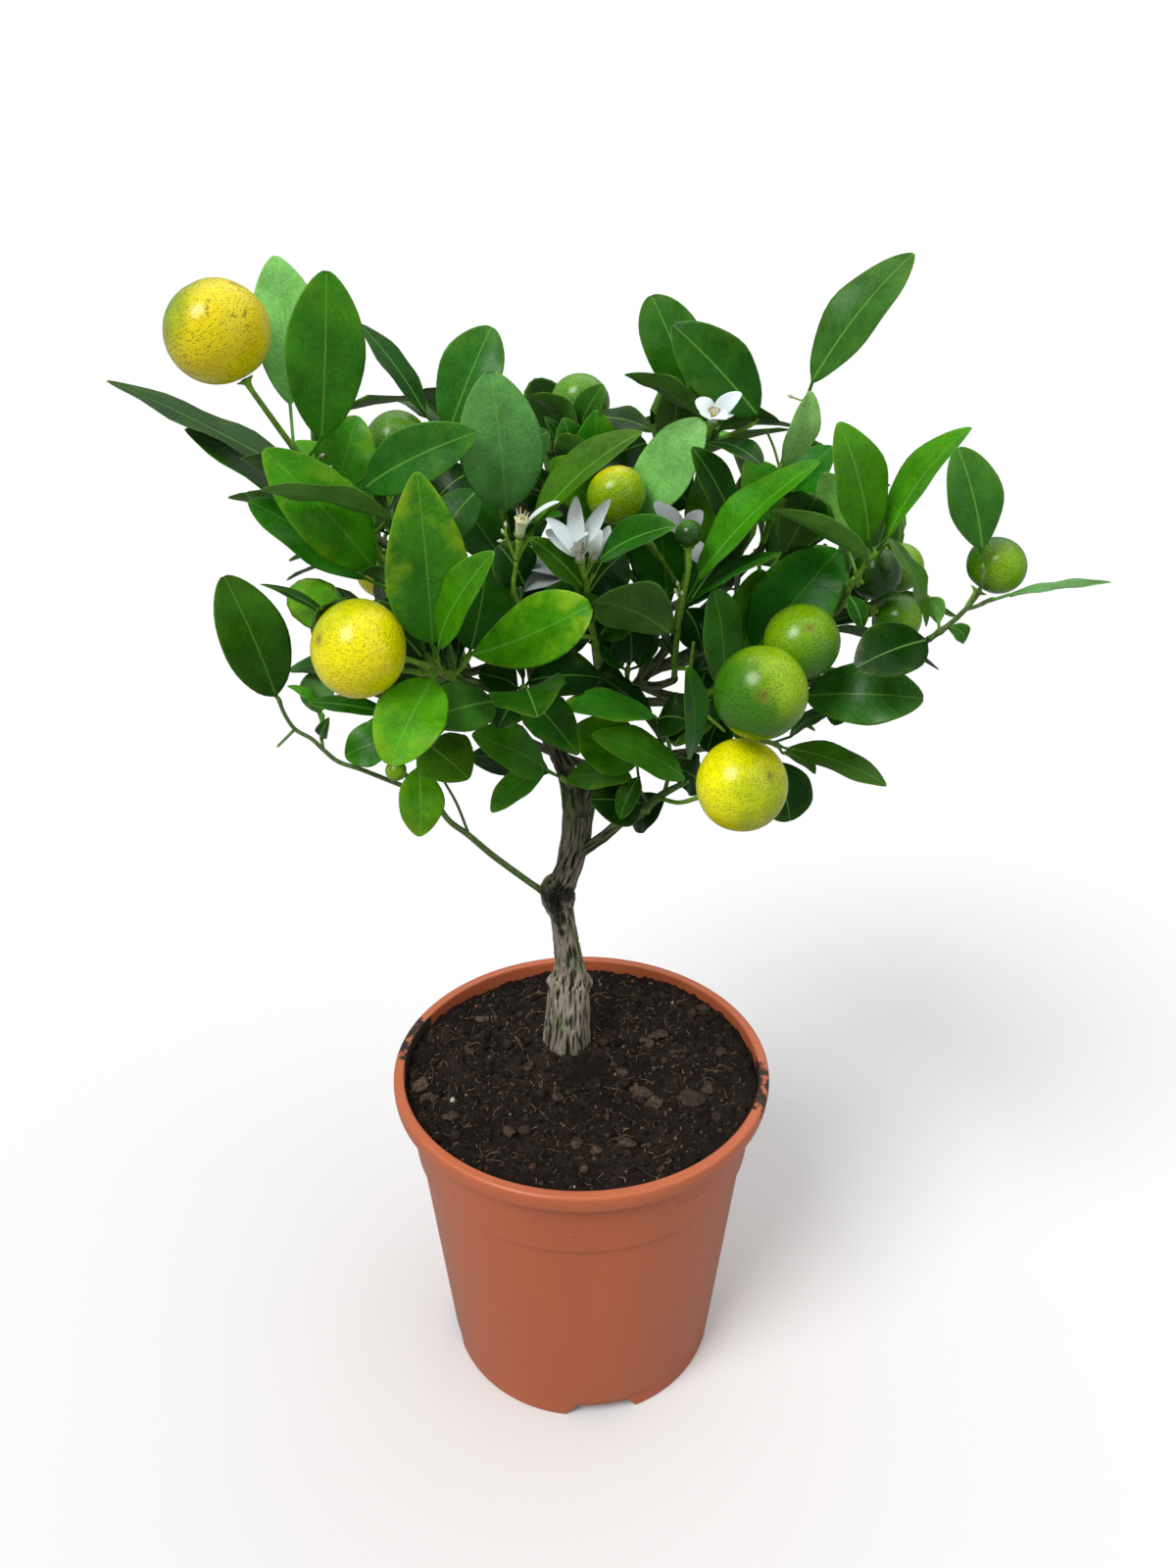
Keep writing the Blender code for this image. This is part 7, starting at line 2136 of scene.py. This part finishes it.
class LeafLooks(bpy.types.PropertyGroup):
    # Dark green is painted shade, for the leaves deep in the crown
    dark: colour("Dark green", "Leaves deep in the crown", (0.0065, 0.045, 0.0018))
    shade: colour("Shaded green", "The darkest leaves of the front", (0.0055, 0.0445, 0.0018))
    dim: colour("Dim green", "Leaves in half shade", (0.0094, 0.0716, 0.0017))
    deep: colour("Deep green", "Upper side of most leaves", (0.0157, 0.1066, 0.0029))
    olive: colour("Olive green", "Old brownish leaves", (0.0364, 0.1408, 0.0025))
    # Sage green holds painted sheen: the grey of the sky's reflection on leaves that face it
    sage: colour("Sage green", "Dull leaves that face the sky", (0.035, 0.1606, 0.0141))
    bottle: colour("Bottle green", "Clear green leaves", (0.0177, 0.1816, 0.0021))
    green: colour("Middle green", "Leaves in the light", (0.0556, 0.2341, 0.0096))
    grass: colour("Grass green", "Full-grown leaves in the sun", (0.0468, 0.2431, 0.002))
    # Waxy green's grey is painted sheen
    waxy: colour("Waxy green", "Greyish leaves with a sheen", (0.1172, 0.3013, 0.0751))
    fresh: colour("Fresh green", "Young leaves", (0.0725, 0.3173, 0.0033))
    bright: colour("Bright green", "The youngest leaves", (0.0721, 0.3878, 0.0175))
    lime: colour("Lime green", "Leaves that begin to yellow", (0.1965, 0.4453, 0.0035))
    # Pale green is painted sheen: the sky's light shining on glossy upper sides
    mint: colour("Pale green", "Leaves that the light comes through", (0.31, 0.66, 0.17))
    underside: colour("Underside", "Duller lower side of the leaves", (0.06, 0.15, 0.024))
    patches: colour("Patches", "Yellow patches on leaves", (0.32, 0.52, 0.012))
    ribs: colour("Ribs", "Midribs and veins", (0.2, 0.46, 0.07))
    stems: colour("Green stems", "Young stems and petioles", (0.19, 0.38, 0.035))
    buds: colour("Buds", "Flower buds that are still shut", (0.66, 0.7, 0.46))
    woody_stems: colour("Woody stems", "Older twigs", (0.13, 0.23, 0.06))
    rib_strength: amount("Midrib", "How clearly the midrib shows", 0.55, 1.0)
    vein_strength: amount("Veins", "How clearly side veins show", 0.03, 1.0)


class FruitLooks(bpy.types.PropertyGroup):
    pore_size: length("Pore spacing", "Distance between the peel's oil glands", 0.00105)
    pore_depth: length("Pore depth", "Depth of the peel's pits", 0.00034)


class BloomLooks(bpy.types.PropertyGroup):
    petals: colour("Petals", "Colour of the petals", (0.88, 0.95, 0.96))
    stamens: count("Stamens", "Stamens in an open bloom", 16, 30)


class StageLooks(bpy.types.PropertyGroup):
    floor: colour("Floor", "Colour of the pale floor", (0.8, 0.8, 0.8))
    bounce: colour("Bounce", "Colour of the light that the floor throws back", (0.32, 0.32, 0.32))
    surround: amount("Surround", "Light from the white surround", 0.33)
    backdrop: amount("Backdrop", "Brightness of the surround itself", 1.05)
    lamp_power: amount("Lamps", "Power of the key lamp", 2.15)


class CalamondinPiece:
    bl_options = {"REGISTER"}

    def execute(self, context):
        self.build(getattr(context.scene.calamondin, self.looks))
        return {"FINISHED"}


class CALAMONDIN_OT_stage(CalamondinPiece, bpy.types.Operator):
    """Makes the pale floor, the lamps and the camera"""
    bl_idname = "calamondin.stage"
    bl_label = "Stage"
    looks = "stage"
    build = staticmethod(build_stage)


class CALAMONDIN_OT_pot(CalamondinPiece, bpy.types.Operator):
    """Makes the plastic nursery pot"""
    bl_idname = "calamondin.pot"
    bl_label = "Pot"
    looks = "pot"
    build = staticmethod(build_pot)


class CALAMONDIN_OT_compost(CalamondinPiece, bpy.types.Operator):
    """Makes the compost with its crumbs and fibres"""
    bl_idname = "calamondin.compost"
    bl_label = "Compost"
    looks = "compost"
    build = staticmethod(build_compost)


class CALAMONDIN_OT_trunk(CalamondinPiece, bpy.types.Operator):
    """Makes the trunk with its leaders and limbs"""
    bl_idname = "calamondin.trunk"
    bl_label = "Trunk"
    looks = "bark"
    build = staticmethod(build_trunk)


class CALAMONDIN_OT_shoots(CalamondinPiece, bpy.types.Operator):
    """Makes every leafy shoot"""
    bl_idname = "calamondin.shoots"
    bl_label = "Leafy shoots"
    looks = "leaves"
    build = staticmethod(build_shoots)


class CALAMONDIN_OT_fruits(CalamondinPiece, bpy.types.Operator):
    """Makes the fruits"""
    bl_idname = "calamondin.fruits"
    bl_label = "Fruits"
    looks = "fruits"
    build = staticmethod(build_fruits)


class CALAMONDIN_OT_blooms(CalamondinPiece, bpy.types.Operator):
    """Makes the white blooms"""
    bl_idname = "calamondin.blooms"
    bl_label = "Blooms"
    looks = "blooms"
    build = staticmethod(build_blooms)


OPERATORS = (CALAMONDIN_OT_stage, CALAMONDIN_OT_pot, CALAMONDIN_OT_compost, CALAMONDIN_OT_trunk,
             CALAMONDIN_OT_shoots, CALAMONDIN_OT_fruits, CALAMONDIN_OT_blooms)


class CalamondinLooks(bpy.types.PropertyGroup):
    stage: PointerProperty(type=StageLooks)
    pot: PointerProperty(type=PotLooks)
    compost: PointerProperty(type=CompostLooks)
    bark: PointerProperty(type=BarkLooks)
    leaves: PointerProperty(type=LeafLooks)
    fruits: PointerProperty(type=FruitLooks)
    blooms: PointerProperty(type=BloomLooks)


class CALAMONDIN_PT_panel(bpy.types.Panel):
    """Lists the pieces with the settings that each one uses"""
    bl_idname = "CALAMONDIN_PT_panel"
    bl_label = "Calamondin"
    bl_space_type = "VIEW_3D"
    bl_region_type = "UI"
    bl_category = "Calamondin"

    def draw(self, context):
        for operator in OPERATORS:
            box = self.layout.box()
            box.operator(operator.bl_idname)
            looks = getattr(context.scene.calamondin, operator.looks)
            for name in looks.bl_rna.properties.keys():
                if name not in ("rna_type", "name"):
                    box.prop(looks, name)


CLASSES = (PotLooks, CompostLooks, BarkLooks, LeafLooks, FruitLooks, BloomLooks, StageLooks,
           CalamondinLooks, *OPERATORS, CALAMONDIN_PT_panel)


def register():
    for one in CLASSES:
        bpy.utils.register_class(one)
    bpy.types.Scene.calamondin = PointerProperty(type=CalamondinLooks)


def unregister():
    del bpy.types.Scene.calamondin
    for one in reversed(CLASSES):
        bpy.utils.unregister_class(one)


def main():
    register()
    for operator in OPERATORS:
        family, verb = operator.bl_idname.split(".")
        getattr(getattr(bpy.ops, family), verb)()
    bpy.context.view_layer.update()
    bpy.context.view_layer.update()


if __name__ == "__main__":
    main()
